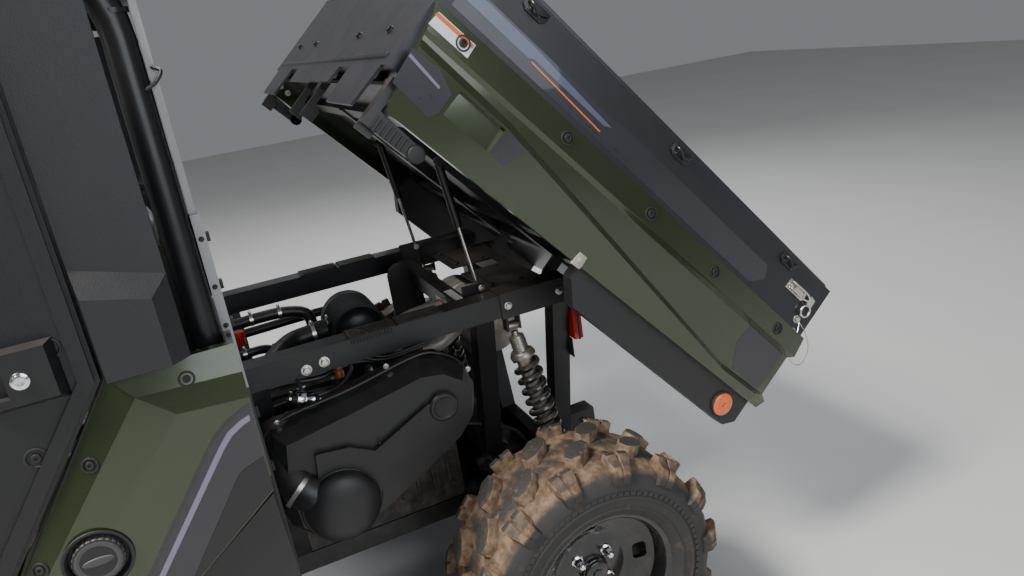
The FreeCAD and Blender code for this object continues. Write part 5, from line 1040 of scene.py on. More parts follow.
@dataclass
class Wheels(Group):
    """Dished steel rims with their hubs, windows and nuts."""

    nut_circle: float = 0.055
    nut_radius: float = 0.0125
    face: float = 0.048
    flange: float = 0.1895
    window_circle: float = 0.128
    facets: int = 96

    def build(self) -> Iterable[bpy.types.Object]:
        """Make rims, hub caps and chrome nuts.

        Returns:
            The pieces.
        """
        for wheel in self.vehicle.axles:
            low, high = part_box(f"tyre_{wheel}")
            centre = (Vector(low) + Vector(high)) / 2
            out = Vector((1.0 if "left" in wheel else -1.0, 0, 0))
            yield self._rim(wheel, centre, out, (high[0] - low[0]) / 2)
            yield self._hub(wheel, centre, out)
            yield self._nuts(wheel, centre, out)

    def _rim(self, wheel: str, centre: Vector, out: Vector, half: float) -> bpy.types.Object:
        """The rim's turned section with four windows cut through its disc."""
        lip = half - 0.019
        seat = half - 0.0257
        flange = self.flange
        section = [
            (0.048, 0.030), (0.048, 0.078), (0.044, 0.086), (0.044, 0.096), (0.050, 0.106), (0.056, 0.140),
            (0.062, 0.155), (0.068, 0.1625), (half - 0.040, 0.1650), (lip - 0.010, 0.1665), (lip - 0.003, 0.1705),
            (lip, 0.176), (lip, 0.1855), (lip - 0.002, flange - 0.001), (lip - 0.004, flange),
            (lip - 0.0065, flange - 0.001), (seat, 0.186), (seat - 0.002, 0.1758), (0.02, 0.1735), (-0.02, 0.1735),
            (0.002 - seat, 0.1758), (-seat, 0.186), (0.0065 - lip, flange - 0.001), (0.004 - lip, flange),
            (0.002 - lip, flange - 0.001), (-lip, 0.1855), (-lip, 0.176), (0.003 - lip, 0.1705), (0.010 - lip, 0.1665),
            (0.040 - half, 0.1650), (0.052, 0.1640), (0.046, 0.155), (0.041, 0.140), (0.037, 0.106), (0.034, 0.096),
            (0.034, 0.086), (0.038, 0.078), (0.038, 0.030),
        ]
        rim = Form()
        rows = []
        for angle in turns(self.facets):
            around = Vector((0, math.sin(angle), math.cos(angle)))
            rows.append([centre + out * x + around * r for x, r in section])
        rim.loft([*rows, rows[0]], caps=False)
        cutter = Form()
        for middle in circle(centre, self.window_circle, Direction.ACROSS, 4):
            radial = (middle - centre).normalized()
            along = out.cross(radial)
            corners = [(-0.022, -0.011), (-0.016, -0.0176), (0.016, -0.0176), (0.022, -0.011), (0.022, 0.011),
                       (0.016, 0.0176), (-0.016, 0.0176), (-0.022, 0.011)]
            ring = [middle + along * a + radial * b for a, b in corners]
            cutter.loft([[point + out * 0.015 for point in ring], [point + out * 0.09 for point in ring]])
        piece = self.finish(rim, f"rim_shell_{wheel}", f"wheel_{wheel}", "rim_coat", crease=32.0)
        self.vehicle.cut(piece, cutter)
        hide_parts(f"rim_{wheel}")
        return piece

    def _hub(self, wheel: str, centre: Vector, out: Vector) -> bpy.types.Object:
        """The hub in the middle of the disc with its pressed cap."""
        hub = Form()
        hub.lathe(centre, out, [(0.004, 0.0), (0.004, 0.038), (0.050, 0.038), (0.054, 0.034), (0.062, 0.033),
                                (0.0635, 0.031), (0.0700, 0.030), (0.0725, 0.026), (0.0725, 0.0)], 40)
        hub.lathe(centre, out, [(0.0700, 0.0), (0.0700, 0.014), (0.0760, 0.012), (0.0770, 0.0)], 24)
        piece = self.finish(hub, f"hub_{wheel}", f"wheel_{wheel}", "rim_coat")
        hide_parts(f"rim_{wheel}")
        return piece

    def _nuts(self, wheel: str, centre: Vector, out: Vector) -> bpy.types.Object:
        """Four domed chrome nuts on their seats."""
        nuts = Form()
        r = self.nut_radius
        for point in circle(centre, self.nut_circle, Direction.ACROSS, 4, 45.0):
            seat = point + out * self.face
            nuts.lathe(seat, out, [(-0.002, 0), (-0.002, r * 1.25), (0.004, r * 1.25), (0.006, r * 1.02), (0.006, 0)],
                       20)
            nuts.lathe(seat, out, [(0.004, 0), (0.004, r), (0.022, r), (0.026, r * 0.86), (0.026, 0)], 6, 15.0)
            dome = [(0.024 + 0.0095 * math.sin(a * 0.314), r * 0.82 * math.cos(a * 0.314)) for a in range(6)]
            nuts.lathe(seat, out, [(0.020, 0), *dome], 20)
        return self.finish(nuts, f"lug_nuts_{wheel}", f"wheel_{wheel}", "chrome_nut")


@dataclass
class CabFrame(Group):
    """Round bars of the roll cage and front bumper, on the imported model's lines."""

    cage_radius: float = 0.027
    bar_radius: float = 0.0216
    bumper_radius: float = 0.022

    def build(self) -> Iterable[bpy.types.Object]:
        """Make the cage and the bumper.

        Returns:
            The pieces.
        """
        at = self.at
        cage = Form()
        for s in (1, -1):
            hoop = [at(s * 0.6003, -0.686, 0.315), at(s * 0.690, -0.686, 0.315), at(s * 0.640, -0.686, 1.780),
                    at(s * 0.640, -1.400, 1.780), at(s * 0.690, -1.722, 1.0666)]
            cage.tube(bent(hoop, 0.12), self.cage_radius, 20)
            for level in (0.52, 0.92, 1.32, 1.70):
                x = s * (0.690 - 0.0341 * (level - 0.315) - 0.001)
                cage.lathe(at(x, -0.686, level), (0, 0, 1), [(0, 0.020), (0, 0.0277), (0.004, 0.0279),
                                                             (0.008, 0.0277), (0.008, 0.020)], 20)
        for y, z in ((-0.686, 1.180), (-0.806, 1.780), (-1.280, 1.780)):
            half = 0.640 + 0.0341 * (1.780 - z)
            cage.tube([at(-half, y, z), at(half, y, z)], self.bar_radius, 18)
        piece = self.finish(cage, "cage_bars", "chassis", "satin_tube")
        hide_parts("roll_cage")
        yield piece
        bar = Form()
        left = [(0.380, -2.440, 0.460), (0.380, -2.500, 0.640), (0.320, -2.500, 0.760)]
        loop = [at(*p) for p in left] + [at(-x, y, z) for x, y, z in reversed(left)]
        bar.tube(bent(loop, 0.06), self.bumper_radius, 18)
        bar.tube([at(-0.380, -2.440, 0.470), at(0.380, -2.440, 0.470)], self.bumper_radius, 18)
        for s in (1, -1):
            stay = [at(s * 0.205, -2.440, 0.470), at(s * 0.205, -2.380, 0.316), at(s * 0.205, -2.3303, 0.316)]
            bar.tube(bent(stay, 0.025), self.bumper_radius, 18)
            bar.tube([at(s * 0.240, -2.447, 0.470), at(s * 0.240, -2.500, 0.700), at(s * 0.240, -2.500, 0.755)],
                     0.012, 14)
        piece = self.finish(bar, "bumper_bars", "chassis", "satin_tube")
        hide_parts("front_bumper")
        yield piece


@dataclass
class Springs(Group):
    """Coil-overs: dampers with a bright head, cups and wound springs."""

    coil: float = 0.0305
    wire: float = 0.0082
    turns: float = 11.0
    damper: float = 0.020
    first: float = 0.178
    last: float = 0.788

    def build(self) -> Iterable[bpy.types.Object]:
        """Make the four dampers and the four springs.

        Returns:
            The pieces.
        """
        rods, coils = Form(), Form()
        ends = (((0.345, 0.030, 0.850), (0.430, 0.105, 0.309)), ((0.272, -2.153, 0.700), (0.430, -2.153, 0.309)))
        for head, foot in ends:
            for s in (1, -1):
                top = self.at(s * head[0], head[1], head[2])
                low = self.at(s * foot[0], foot[1], foot[2])
                self._damper(rods, top, low)
                self._coil(coils, top, low)
        dampers = self.finish(rods, "dampers", "chassis", "damper_metal", 0.0008)
        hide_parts("coil_overs")
        yield dampers
        springs = self.finish(coils, "springs", "chassis", "spring_coat")
        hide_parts("coil_overs")
        yield springs

    def _damper(self, form: Form, top: Vector, low: Vector) -> None:
        """One damper between its eyes, with an adjuster collar and spring cups."""
        length = (low - top).length
        along = low - top
        body = [(0.03, 0.009), (0.05, 0.0105), (0.055, self.damper), (0.13, self.damper), (0.133, 0.030),
                (0.150, 0.0345), (0.162, 0.0345), (0.166, 0.022), (0.55, 0.022), (0.56, 0.007), (0.79, 0.007),
                (0.80, 0.0335), (0.815, 0.0345), (0.832, 0.026), (0.84, 0.012), (0.97, 0.010)]
        form.lathe(top, along, [(share * length, radius) for share, radius in body], 28)
        for share in (0.065, 0.078, 0.091, 0.104, 0.117):
            form.lathe(top, along, [(share * length, 0.018), (share * length, 0.0215), (share * length + 0.003, 0.0215),
                                    (share * length + 0.003, 0.018)], 24)
        for centre in (top, low):
            form.lathe(centre - Vector((0, 0.014, 0)), (0, 1, 0), collar(0, 0.004, 0.012, 0.028), 20)
            form.bolt(centre + Vector((0, 0.014, 0)), (0, 1, 0), 0.0075)

    def _coil(self, form: Form, top: Vector, low: Vector) -> None:
        """One wound spring between the cups."""
        length = (low - top).length
        forward = (low - top).normalized()
        side = forward.orthogonal().normalized()
        other = forward.cross(side)
        steps = int(self.turns * 16)
        path = []
        for i in range(steps + 1):
            angle = 2 * math.pi * self.turns * i / steps
            share = self.first + (self.last - self.first) * i / steps
            around = side * math.cos(angle) + other * math.sin(angle)
            path.append(top + forward * length * share + around * self.coil)
        form.tube(path, self.wire, 8)


@dataclass
class HandWheel(Group):
    """The steering wheel: stitched round grip, three spokes and a padded hub."""

    radius: float = 0.180
    grip: float = 0.0138
    tilt: float = 35.0
    column: float = 0.180 - 0.006 - 0.018

    def build(self) -> Iterable[bpy.types.Object]:
        """Make the steering wheel.

        Returns:
            The pieces.
        """
        turn = Matrix.Rotation(math.radians(self.tilt - 90), 3, "X")
        centre = self.at(0.330, -1.290, 1.090)
        axis = turn @ Vector((0, 0, 1))
        rim = Form()
        rows = []
        for k, angle in enumerate(turns(72)):
            out = turn @ Vector((math.cos(angle), math.sin(angle), 0))
            thick = self.grip * (0.90 if k % 18 in (0, 1) else 1.0)
            rows.append([centre + out * (self.radius + thick * math.cos(t)) + axis * thick * math.sin(t)
                         for t in turns(14)])
        rim.loft([*rows, rows[0]], caps=False)
        for a in (0.0, 180.0, 270.0):
            out = turn @ Vector((math.cos(math.radians(a)), math.sin(math.radians(a)), 0))
            wide = axis.cross(out)
            rings = []
            for reach, half, deep in ((0.020, 0.026, 0.008), (0.070, 0.015, 0.006), (0.130, 0.013, 0.006),
                                      (0.176, 0.020, 0.007)):
                middle = centre + out * reach
                rings.append([middle + wide * half * math.cos(t) + axis * deep * math.sin(t)
                              for t in turns(12)])
            rim.loft(rings)
        rim.lathe(centre, axis, [(-0.020, 0), (-0.020, 0.030), (-0.012, 0.036), (0.002, 0.036), (0.008, 0.030),
                                 (0.0098, 0.018), (0.010, 0)], 32)
        reach = self.column / math.cos(math.radians(self.tilt))
        rim.lathe(centre, -axis, [(0.0, 0.018), (reach, 0.018), (reach, 0.0)], 24)
        piece = self.finish(rim, "hand_wheel_grip", "hand_wheel", "soft_grip", 0.0, 40.0)
        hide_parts("steering_wheel")
        yield piece


@dataclass
class DumpBed(Group):
    """The tipped bed's fittings: bolts, bare stickers, rope hooks, latches, reflectors, folds and ribs."""

    wall: float = 0.6902
    bolt_stations: tuple[float, ...] = (-0.728, -0.445, -0.178, 0.059, 0.324)
    hook_stations: tuple[float, ...] = (-0.643, -0.185, 0.255)

    def build(self) -> Iterable[bpy.types.Object]:
        """Make the bed's fittings on both sides.

        Returns:
            The pieces.
        """
        for side in Side:
            s = side.value
            yield self._moulding_bolts(side.word, s)
            yield from self._stickers(side.word, s)
            yield self._rope_hooks(side.word, s)
            yield from self._tail_latch(side.word, s)
            yield from self._reflector(side.word, s)
            yield from self._grip(side.word, s)
            yield self._clip(side.word, s)
        yield self._folds()
        yield self._floor_ribs()
        yield self._tailgate_face()

    def _way(self, x: float, y: float, z: float) -> Vector:
        """A direction of the bed at rest."""
        return self.vehicle.bed_way(x, y, z)

    def _moulding_bolts(self, word: str, s: int) -> bpy.types.Object:
        """Black recessed bolts along the flange."""
        form = Form()
        for y in self.bolt_stations:
            z = 0.186
            seat = self.on(s * (0.720 - 0.008 * (z - 0.160) / 0.054 - 0.0006), y, z)
            out = self._way(s, 0, 0.148)
            form.lathe(seat, out, [(-0.004, 0), (-0.004, 0.0155), (0.0022, 0.0155), (0.003, 0.0145), (0.003, 0.0125),
                                   (-0.001, 0.0115), (-0.001, 0)], 28)
            form.lathe(seat, out, [(-0.002, 0), (-0.002, 0.0085), (0.0035, 0.0085), (0.0045, 0.0072), (0.0045, 0.0045),
                                   (0.002, 0.0040), (0.002, 0)], 24)
        return self.finish(form, f"moulding_bolts_{word}", "bed", "soft_grip")

    def _plate(self, form: Form, s: int, corners: Sequence[Pair], low: float, high: float) -> Form:
        """A flat plate on the bed's side between two distances out, by its (y, z) corners."""
        return form.loft([[self.on(s * x, y, z) for y, z in corners] for x in (low, high)])

    def _sheet(self, s: int, corners: Sequence[Pair], x: float) -> Form:
        """A thin flat sticker on the bed's side."""
        return self._plate(Form(), s, corners, x - 0.0012, x + 0.0004)

    def _stickers(self, word: str, s: int) -> Iterable[bpy.types.Object]:
        """Bands of colour with their places for words left bare."""
        finish = self.finish
        band = [(-0.780, 0.232), (0.185, 0.232), (0.222, 0.262), (0.205, 0.293), (-0.340, 0.293), (-0.370, 0.288),
                (-0.780, 0.288)]
        yield finish(self._sheet(s, band, self.wall), f"side_band_{word}", "bed", "grey_vinyl")
        stripe = [(-0.780, 0.258), (-0.600, 0.258), (-0.590, 0.264), (-0.380, 0.264), (-0.362, 0.272), (-0.600, 0.283),
                  (-0.780, 0.283)]
        yield finish(self._sheet(s, stripe, self.wall + 0.0005), f"side_stripe_{word}", "bed", "blue_vinyl")
        line = [(-0.590, 0.2555), (-0.380, 0.2475), (-0.380, 0.2505), (-0.590, 0.2585)]
        yield finish(self._sheet(s, line, self.wall + 0.0005), f"side_line_{word}", "bed", "orange_vinyl")
        tail = [(0.290, 0.040), (0.396, 0.040), (0.404, 0.060), (0.404, 0.150), (0.262, 0.150), (0.252, 0.100)]
        yield finish(self._patch(s, tail, 0.0006), f"tail_panel_{word}", "bed", "grey_vinyl")
        front = [(-0.790, 0.048), (-0.700, 0.040), (-0.690, 0.056), (-0.690, 0.100), (-0.735, 0.121), (-0.798, 0.118)]
        yield finish(self._patch(s, front, 0.0006), f"front_panel_{word}", "bed", "grey_vinyl")
        streak = [(-0.795, 0.102), (-0.716, 0.092), (-0.716, 0.097), (-0.795, 0.108)]
        yield finish(self._patch(s, streak, 0.0011), f"front_streak_{word}", "bed", "lilac_vinyl")
        patch = [(-0.558, 0.064), (-0.522, 0.058), (-0.500, 0.112), (-0.472, 0.116), (-0.556, 0.117)]
        yield finish(self._patch(s, patch, 0.0006), f"recess_patch_{word}", "bed", "grey_vinyl")
        label = [(-0.800, 0.170), (-0.706, 0.170), (-0.706, 0.200), (-0.796, 0.200)]
        yield finish(self._flange(s, label, (-0.001, 0.0007)), f"bare_label_{word}", "bed", "white_vinyl")
        strip = [(-0.799, 0.190), (-0.708, 0.190), (-0.708, 0.198), (-0.798, 0.198)]
        yield finish(self._flange(s, strip, (0.0002, 0.0013)), f"label_strip_{word}", "bed", "orange_vinyl")

    def _flange(self, s: int, corners: Sequence[Pair], lifts: Pair) -> Form:
        """A sticker on the moulding's upper flange between two lifts off it."""
        return Form().loft([[self.on(s * (0.720 - 0.008 * (z - 0.160) / 0.054 + lift), y, z) for y, z in corners]
                            for lift in lifts])

    @staticmethod
    def _moulding_x(y: float, z: float) -> float:
        """How far out the moulding's channelled face lies at a station and height."""
        rows = ((-0.808, 0.128, 0.003), (-0.560, 0.120, 0.006), (0.248, 0.020, 0.020), (0.424, 0.024, 0.020))
        for (y0, c0, h0), (y1, c1, h1) in zip(rows, rows[1:]):
            if y <= y1 or (y1, c1, h1) == rows[-1]:
                t = max(0.0, min(1.0, (y - y0) / (y1 - y0)))
                crease, hollow = c0 + (c1 - c0) * t, h0 + (h1 - h0) * t
                break
        if z <= crease:
            return 0.720 - 0.012 * (1 - z / crease)
        if z <= crease + 0.014:
            return 0.720 - hollow * (z - crease) / 0.014
        if z <= 0.150:
            return 0.720 - hollow
        return 0.720 - hollow * (0.160 - z) / 0.010

    def _patch(self, s: int, corners: Sequence[Pair], lift: float) -> Form:
        """A sticker that follows the moulding's lower face."""
        return Form().loft([[self.on(s * (self._moulding_x(y, z) + off), y, z) for y, z in corners]
                            for off in (-0.001, lift)])

    def _rope_hooks(self, word: str, s: int) -> bpy.types.Object:
        """Black wire hooks on plates along the wall's upper edge."""
        form = Form()
        for y in self.hook_stations:
            plate = [(y - 0.030, 0.348), (y - 0.030, 0.330), (y - 0.020, 0.322), (y + 0.020, 0.322), (y + 0.030, 0.330),
                     (y + 0.030, 0.348)]
            self._plate(form, s, plate, 0.6895, 0.6945)
            loop = [(0.692, y - 0.022, 0.340), (0.702, y - 0.021, 0.340), (0.709, y - 0.014, 0.336),
                    (0.711, y, 0.329), (0.709, y + 0.014, 0.336), (0.702, y + 0.021, 0.340), (0.692, y + 0.022, 0.340)]
            form.tube(smooth_path([self.on(s * a, b, c) for a, b, c in loop], 5), 0.0036, 10)
            for a in (-0.012, 0.012):
                form.bolt(self.on(s * 0.6945, y + a, 0.330), self._way(s, 0, 0), 0.0045)
        return self.finish(form, f"rope_hooks_{word}", "bed", "satin_tube", 0.0006)

    def _tail_latch(self, word: str, s: int) -> Iterable[bpy.types.Object]:
        """A zinc toggle latch by the tailgate with its ring, bolts and cable loop."""
        on = self.on
        out = self._way(s, 0, 0)
        latch = Form()
        base = [(0.292, 0.285), (0.360, 0.285), (0.366, 0.291), (0.366, 0.305), (0.360, 0.311), (0.292, 0.311)]
        self._plate(latch, s, base, 0.6895, 0.6925)
        hoop = [(0.696, 0.300, 0.290), (0.702, 0.306, 0.290), (0.704, 0.356, 0.290), (0.704, 0.374, 0.298),
                (0.704, 0.356, 0.306), (0.702, 0.306, 0.306), (0.696, 0.300, 0.306)]
        latch.tube(smooth_path([on(s * a, b, c) for a, b, c in hoop], 5), 0.0028, 10)
        lever = [(0.316, 0.289), (0.352, 0.292), (0.352, 0.304), (0.316, 0.307)]
        self._plate(latch, s, lever, 0.6935, 0.7000)
        for y in (0.300, 0.344):
            latch.bolt(on(s * 0.6925, y, 0.298), out, 0.0042)
        catch = [(0.378, 0.284), (0.398, 0.288), (0.398, 0.308), (0.378, 0.312)]
        self._plate(latch, s, catch, 0.6895, 0.6985)
        for y, z in ((0.386, 0.244), (0.398, 0.212)):
            latch.bolt(on(s * 0.690, y, z), out, 0.0075)
        yield self.finish(latch, f"tail_latch_{word}", "bed", "bright_zinc", 0.0005)
        ring = Form()
        middle = on(s * 0.6985, 0.388, 0.272)
        rows = []
        across = self._way(0, 1, 0)
        up = self._way(0, 0, 1)
        for angle in turns(40):
            radial = across * math.cos(angle) + up * math.sin(angle)
            rows.append([middle + radial * (0.0150 + 0.0030 * math.cos(t)) + out * 0.0030 * math.sin(t)
                         for t in turns(10)])
        ring.loft([*rows, rows[0]], caps=False)
        loop = Form()
        start = on(s * 0.6985, 0.392, 0.240)
        hang = ((0.010, 0.010, -0.030), (0.012, 0.016, -0.075), (0.008, -0.004, -0.112), (0.006, -0.034, -0.100),
                (0.008, -0.036, -0.058), (0.008, -0.014, -0.020))
        droop = [start, *(start + Vector((s * x, y, z)) for x, y, z in hang), start]
        loop.tube(smooth_path(droop, 8), 0.0013, 8)
        yield self.finish(ring, f"latch_ring_{word}", "bed", "bright_zinc")
        yield self.finish(loop, f"latch_wire_{word}", "bed", "bright_zinc")

    def _reflector(self, word: str, s: int) -> Iterable[bpy.types.Object]:
        """A round reflector in its black cup on the skirt."""
        seat = self.on(s * 0.6898, 0.337, -0.044)
        out = self._way(s, 0, 0)
        cup = Form()
        cup.lathe(seat, out, [(0, 0), (0, 0.0335), (0.0045, 0.0335), (0.0065, 0.0320), (0.0065, 0.0300),
                              (0.002, 0.0296), (0.002, 0)], 40)
        yield self.finish(cup, f"reflector_cup_{word}", "bed", "soft_grip")
        lens = Form()
        lens.lathe(seat, out, [(0.001, 0), (0.001, 0.0298), (0.0060, 0.0294), (0.0080, 0.0260), (0.0086, 0.0150),
                               (0.0086, 0.0062), (0.0060, 0.0056), (0.0060, 0)], 40)
        yield self.finish(lens, f"reflector_{word}", "bed", "amber_lens")

    def _grip(self, word: str, s: int) -> Iterable[bpy.types.Object]:
        """Fins, round knob and bolts on the bed latch's grip."""
        on = self.on
        out = self._way(s, 0, 0)
        grip = Form()
        for k in range(7):
            y = -0.772 + 0.012 * k
            ring = [(y, -0.038), (y + 0.005, -0.038), (y + 0.005, -0.012), (y, -0.012)]
            self._plate(grip, s, ring, 0.684, 0.6925)
        grip.lathe(on(s * 0.664, -0.670, -0.025), out, [(0, 0), (0, 0.0185), (0.026, 0.0185), (0.030, 0.0165),
                                                        (0.0315, 0.0120), (0.0315, 0)], 32)
        yield self.finish(grip, f"latch_fins_{word}", "bed", "soft_grip", 0.0008)
        bolts = Form()
        for y, z in ((-0.772, 0.034), (-0.742, 0.030)):
            bolts.bolt(on(s * 0.672, y, z), out, 0.0065)
        yield self.finish(bolts, f"latch_bolts_{word}", "bed", "bright_zinc")

    def _clip(self, word: str, s: int) -> bpy.types.Object:
        """A pale clip under the moulding's lower edge."""
        form = Form()
        y, z = -0.255, 0.010
        strap = [(y - 0.011, z - 0.016), (y + 0.011, z - 0.016), (y + 0.013, z - 0.004), (y + 0.011, z + 0.014),
                 (y - 0.011, z + 0.014), (y - 0.013, z - 0.004)]
        x = self._moulding_x(y, 0.006)
        self._plate(form, s, strap, x - 0.006, x + 0.004)
        form.bolt(self.on(s * (x + 0.004), y, z), self._way(s, 0, 0), 0.0048)
        return self.finish(form, f"moulding_clip_{word}", "bed", "pale_clip", 0.0012)

    def _folds(self) -> bpy.types.Object:
        """Folded lips along the walls' top edges and a pressed fold across the front wall."""
        on = self.on
        form = Form()
        for s in (1, -1):
            lip = [(0.664, 0.354), (0.6905, 0.354), (0.6905, 0.3612), (0.664, 0.3612)]
            form.loft([[on(s * x, y, z) for x, z in lip] for y in (-0.808, 0.404)])
        lip = [(-0.8105, 0.354), (-0.784, 0.354), (-0.784, 0.3612), (-0.8105, 0.3612)]
        form.loft([[on(x, y, z) for y, z in lip] for x in (-0.688, 0.688)])
        fold = [(-0.8095, 0.086), (-0.8138, 0.090), (-0.8138, 0.098), (-0.8095, 0.102)]
        form.loft([[on(x, y, z) for y, z in fold] for x in (-0.640, 0.640)])
        for x in (-0.52, -0.26, 0.26, 0.52):
            form.bolt(on(x, -0.810, 0.160), self._way(0, -1, 0), 0.0065)
        return self.finish(form, "bed_folds", "bed", "bed_coat", 0.0016)

    def _floor_ribs(self) -> bpy.types.Object:
        """Long pressed ribs in the bed's floor."""
        form = Form()
        for k in range(-4, 5):
            x = k * 0.135
            section = [(x - 0.024, 0.0775), (x - 0.014, 0.0835), (x + 0.014, 0.0835), (x + 0.024, 0.0775)]
            rings = []
            for y, flat in ((-0.760, 0.0), (-0.740, 1.0), (0.360, 1.0), (0.380, 0.0)):
                rings.append([self.on(a, y, 0.0775 + (b - 0.0775) * flat) for a, b in section])
            form.loft(rings)
        return self.finish(form, "bed_floor_ribs", "bed", "bed_coat", 0.001)

    def _tailgate_face(self) -> bpy.types.Object:
        """Pressed fields and a pull handle on the tailgate."""
        on = self.on
        form = Form()
        for x0, x1 in ((-0.640, -0.240), (-0.200, 0.200), (0.240, 0.640)):
            outer = [(x0, 0.120), (x1, 0.120), (x1, 0.310), (x0, 0.310)]
            inner = [(x0 + 0.016, 0.136), (x1 - 0.016, 0.136), (x1 - 0.016, 0.294), (x0 + 0.016, 0.294)]
            form.loft([[on(x, 0.4360, z) for x, z in outer], [on(x, 0.4425, z) for x, z in inner]])
        form.tube(smooth_path([on(-0.070, 0.440, 0.334), on(-0.062, 0.4505, 0.334), on(0.062, 0.4505, 0.334),
                               on(0.070, 0.440, 0.334)], 5), 0.005, 12)
        return self.finish(form, "tailgate_face", "tailgate", "bed_coat", 0.0014)


@dataclass
class CabSide(Group):
    """The cab's side fittings: bolts, lock, decal band, filler cap and the bulkhead's edge."""

    def build(self) -> Iterable[bpy.types.Object]:
        """Make the fittings on both sides.

        Returns:
            The pieces.
        """
        for side in Side:
            yield from self._door(side.word, side.value)
            yield self._panel_bolts(side.word, side.value)
            yield from self._band(side.word, side.value)
            yield from self._trim(side.word, side.value)
        yield from self._filler()

    def _door(self, word: str, s: int) -> Iterable[bpy.types.Object]:
        """Recessed bolts, a push-button lock and the seam's rubber on a door."""
        at = self.at
        out = Vector((s, 0, 0))
        bolts = Form()
        for y, z in ((-0.914, 1.215), (-0.985, 1.041), (-1.560, 1.041), (-1.560, 0.700), (-1.330, 0.620)):
            seat = at(s * 0.7452, y, z)
            bolts.lathe(seat, out, [(-0.003, 0), (-0.003, 0.0185), (0.0012, 0.0185), (0.0022, 0.0170),
                                    (0.0022, 0.0150), (-0.0015, 0.0125), (-0.0015, 0)], 28)
            bolts.lathe(seat, out, [(-0.002, 0), (-0.002, 0.0080), (0.0022, 0.0080), (0.0030, 0.0070),
                                    (0.0030, 0.0036), (0.0005, 0.0030), (0.0005, 0)], 20)
        yield self.finish(bolts, f"door_bolts_{word}", f"door_{word}", "soft_grip")
        lock = Form()
        lock.lathe(at(s * 0.7675, -0.962, 1.182), out, [(-0.003, 0), (-0.003, 0.0150), (0.0010, 0.0150),
                                                        (0.0028, 0.0138), (0.0036, 0.0112), (0.0048, 0.0108),
                                                        (0.0054, 0.0090), (0.0050, 0.0060), (0.0050, 0)], 36)
        slot = [(-0.0012, -0.0052), (0.0012, -0.0052), (0.0012, 0.0052), (-0.0012, 0.0052)]
        lock.loft([[at(s * x, -0.962 + a, 1.182 + b) for a, b in slot] for x in (0.7725, 0.7737)])
        yield self.finish(lock, f"door_lock_{word}", f"door_{word}", "chrome_nut")
        seal = Form()
        run = [(-1.170, 0.690), (-0.853, 1.142), (-0.853, 1.730), (-1.435, 1.730), (-1.661, 1.078), (-1.661, 0.512),
               (-1.270, 0.512)]
        seal.tube(bent([at(s * 0.7425, y, z) for y, z in run], 0.03, 4), 0.0022, 6)
        yield self.finish(seal, f"door_seal_{word}", f"door_{word}", "soft_grip")

    def _panel_bolts(self, word: str, s: int) -> bpy.types.Object:
        """Black recessed bolts of the rear quarter and corner panels."""
        form = Form()
        for y, z in ((-0.734, 1.104), (-0.915, 1.003), (-1.038, 0.846)):
            seat, normal = self.vehicle.touch("quarter_panels", s, y, z)
            form.lathe(seat, normal, [(-0.004, 0), (-0.004, 0.0140), (0.0018, 0.0140), (0.0026, 0.0130),
                                      (0.0026, 0.0112), (-0.0005, 0.0102), (-0.0005, 0)], 28)
            form.lathe(seat, normal, [(-0.002, 0), (-0.002, 0.0068), (0.0028, 0.0068), (0.0036, 0.0058),
                                      (0.0036, 0.0032), (0.0015, 0.0028), (0.0015, 0)], 20)
        return self.finish(form, f"quarter_bolts_{word}", "chassis", "soft_grip")

    def _band(self, word: str, s: int) -> Iterable[bpy.types.Object]:
        """The dark band with its lilac line, its place for words left bare."""
        stick = self.vehicle.sticker
        band = [(-0.649, 1.027), (-0.664, 1.022), (-0.695, 1.006), (-0.720, 0.985), (-0.742, 0.958), (-0.905, 0.742),
                (-0.838, 0.712), (-0.700, 0.902), (-0.688, 0.912), (-0.649, 0.924)]
        yield stick(f"quarter_band_{word}", "quarter_panels", band, s, "grey_vinyl")
        lilac = [(-0.654, 1.010), (-0.672, 1.004), (-0.696, 0.990), (-0.716, 0.968), (-0.882, 0.750), (-0.873, 0.746),
                 (-0.708, 0.962), (-0.690, 0.981), (-0.668, 0.994), (-0.654, 0.999)]
        yield stick(f"quarter_stripe_{word}", "quarter_panels", lilac, s, "lilac_vinyl", 0.0011)
        edge = [(-0.649, 1.0305), (-0.665, 1.0255), (-0.697, 1.0090), (-0.7225, 0.9875), (-0.7450, 0.9600),
                (-0.9090, 0.7440), (-0.9060, 0.7420), (-0.7425, 0.9580), (-0.7205, 0.9855), (-0.6955, 1.0065),
                (-0.6640, 1.0225), (-0.649, 1.0272)]
        yield stick(f"quarter_edge_{word}", "quarter_panels", edge, s, "grey_vinyl", 0.0011)
        insert = [(-0.649, 0.924), (-0.688, 0.910), (-0.701, 0.900), (-0.829, 0.722), (-0.802, 0.7375),
                  (-0.654, 0.8500), (-0.649, 0.8535)]
        yield stick(f"quarter_insert_{word}", "quarter_panels", insert, s, "moulded_plastic", 0.0016)

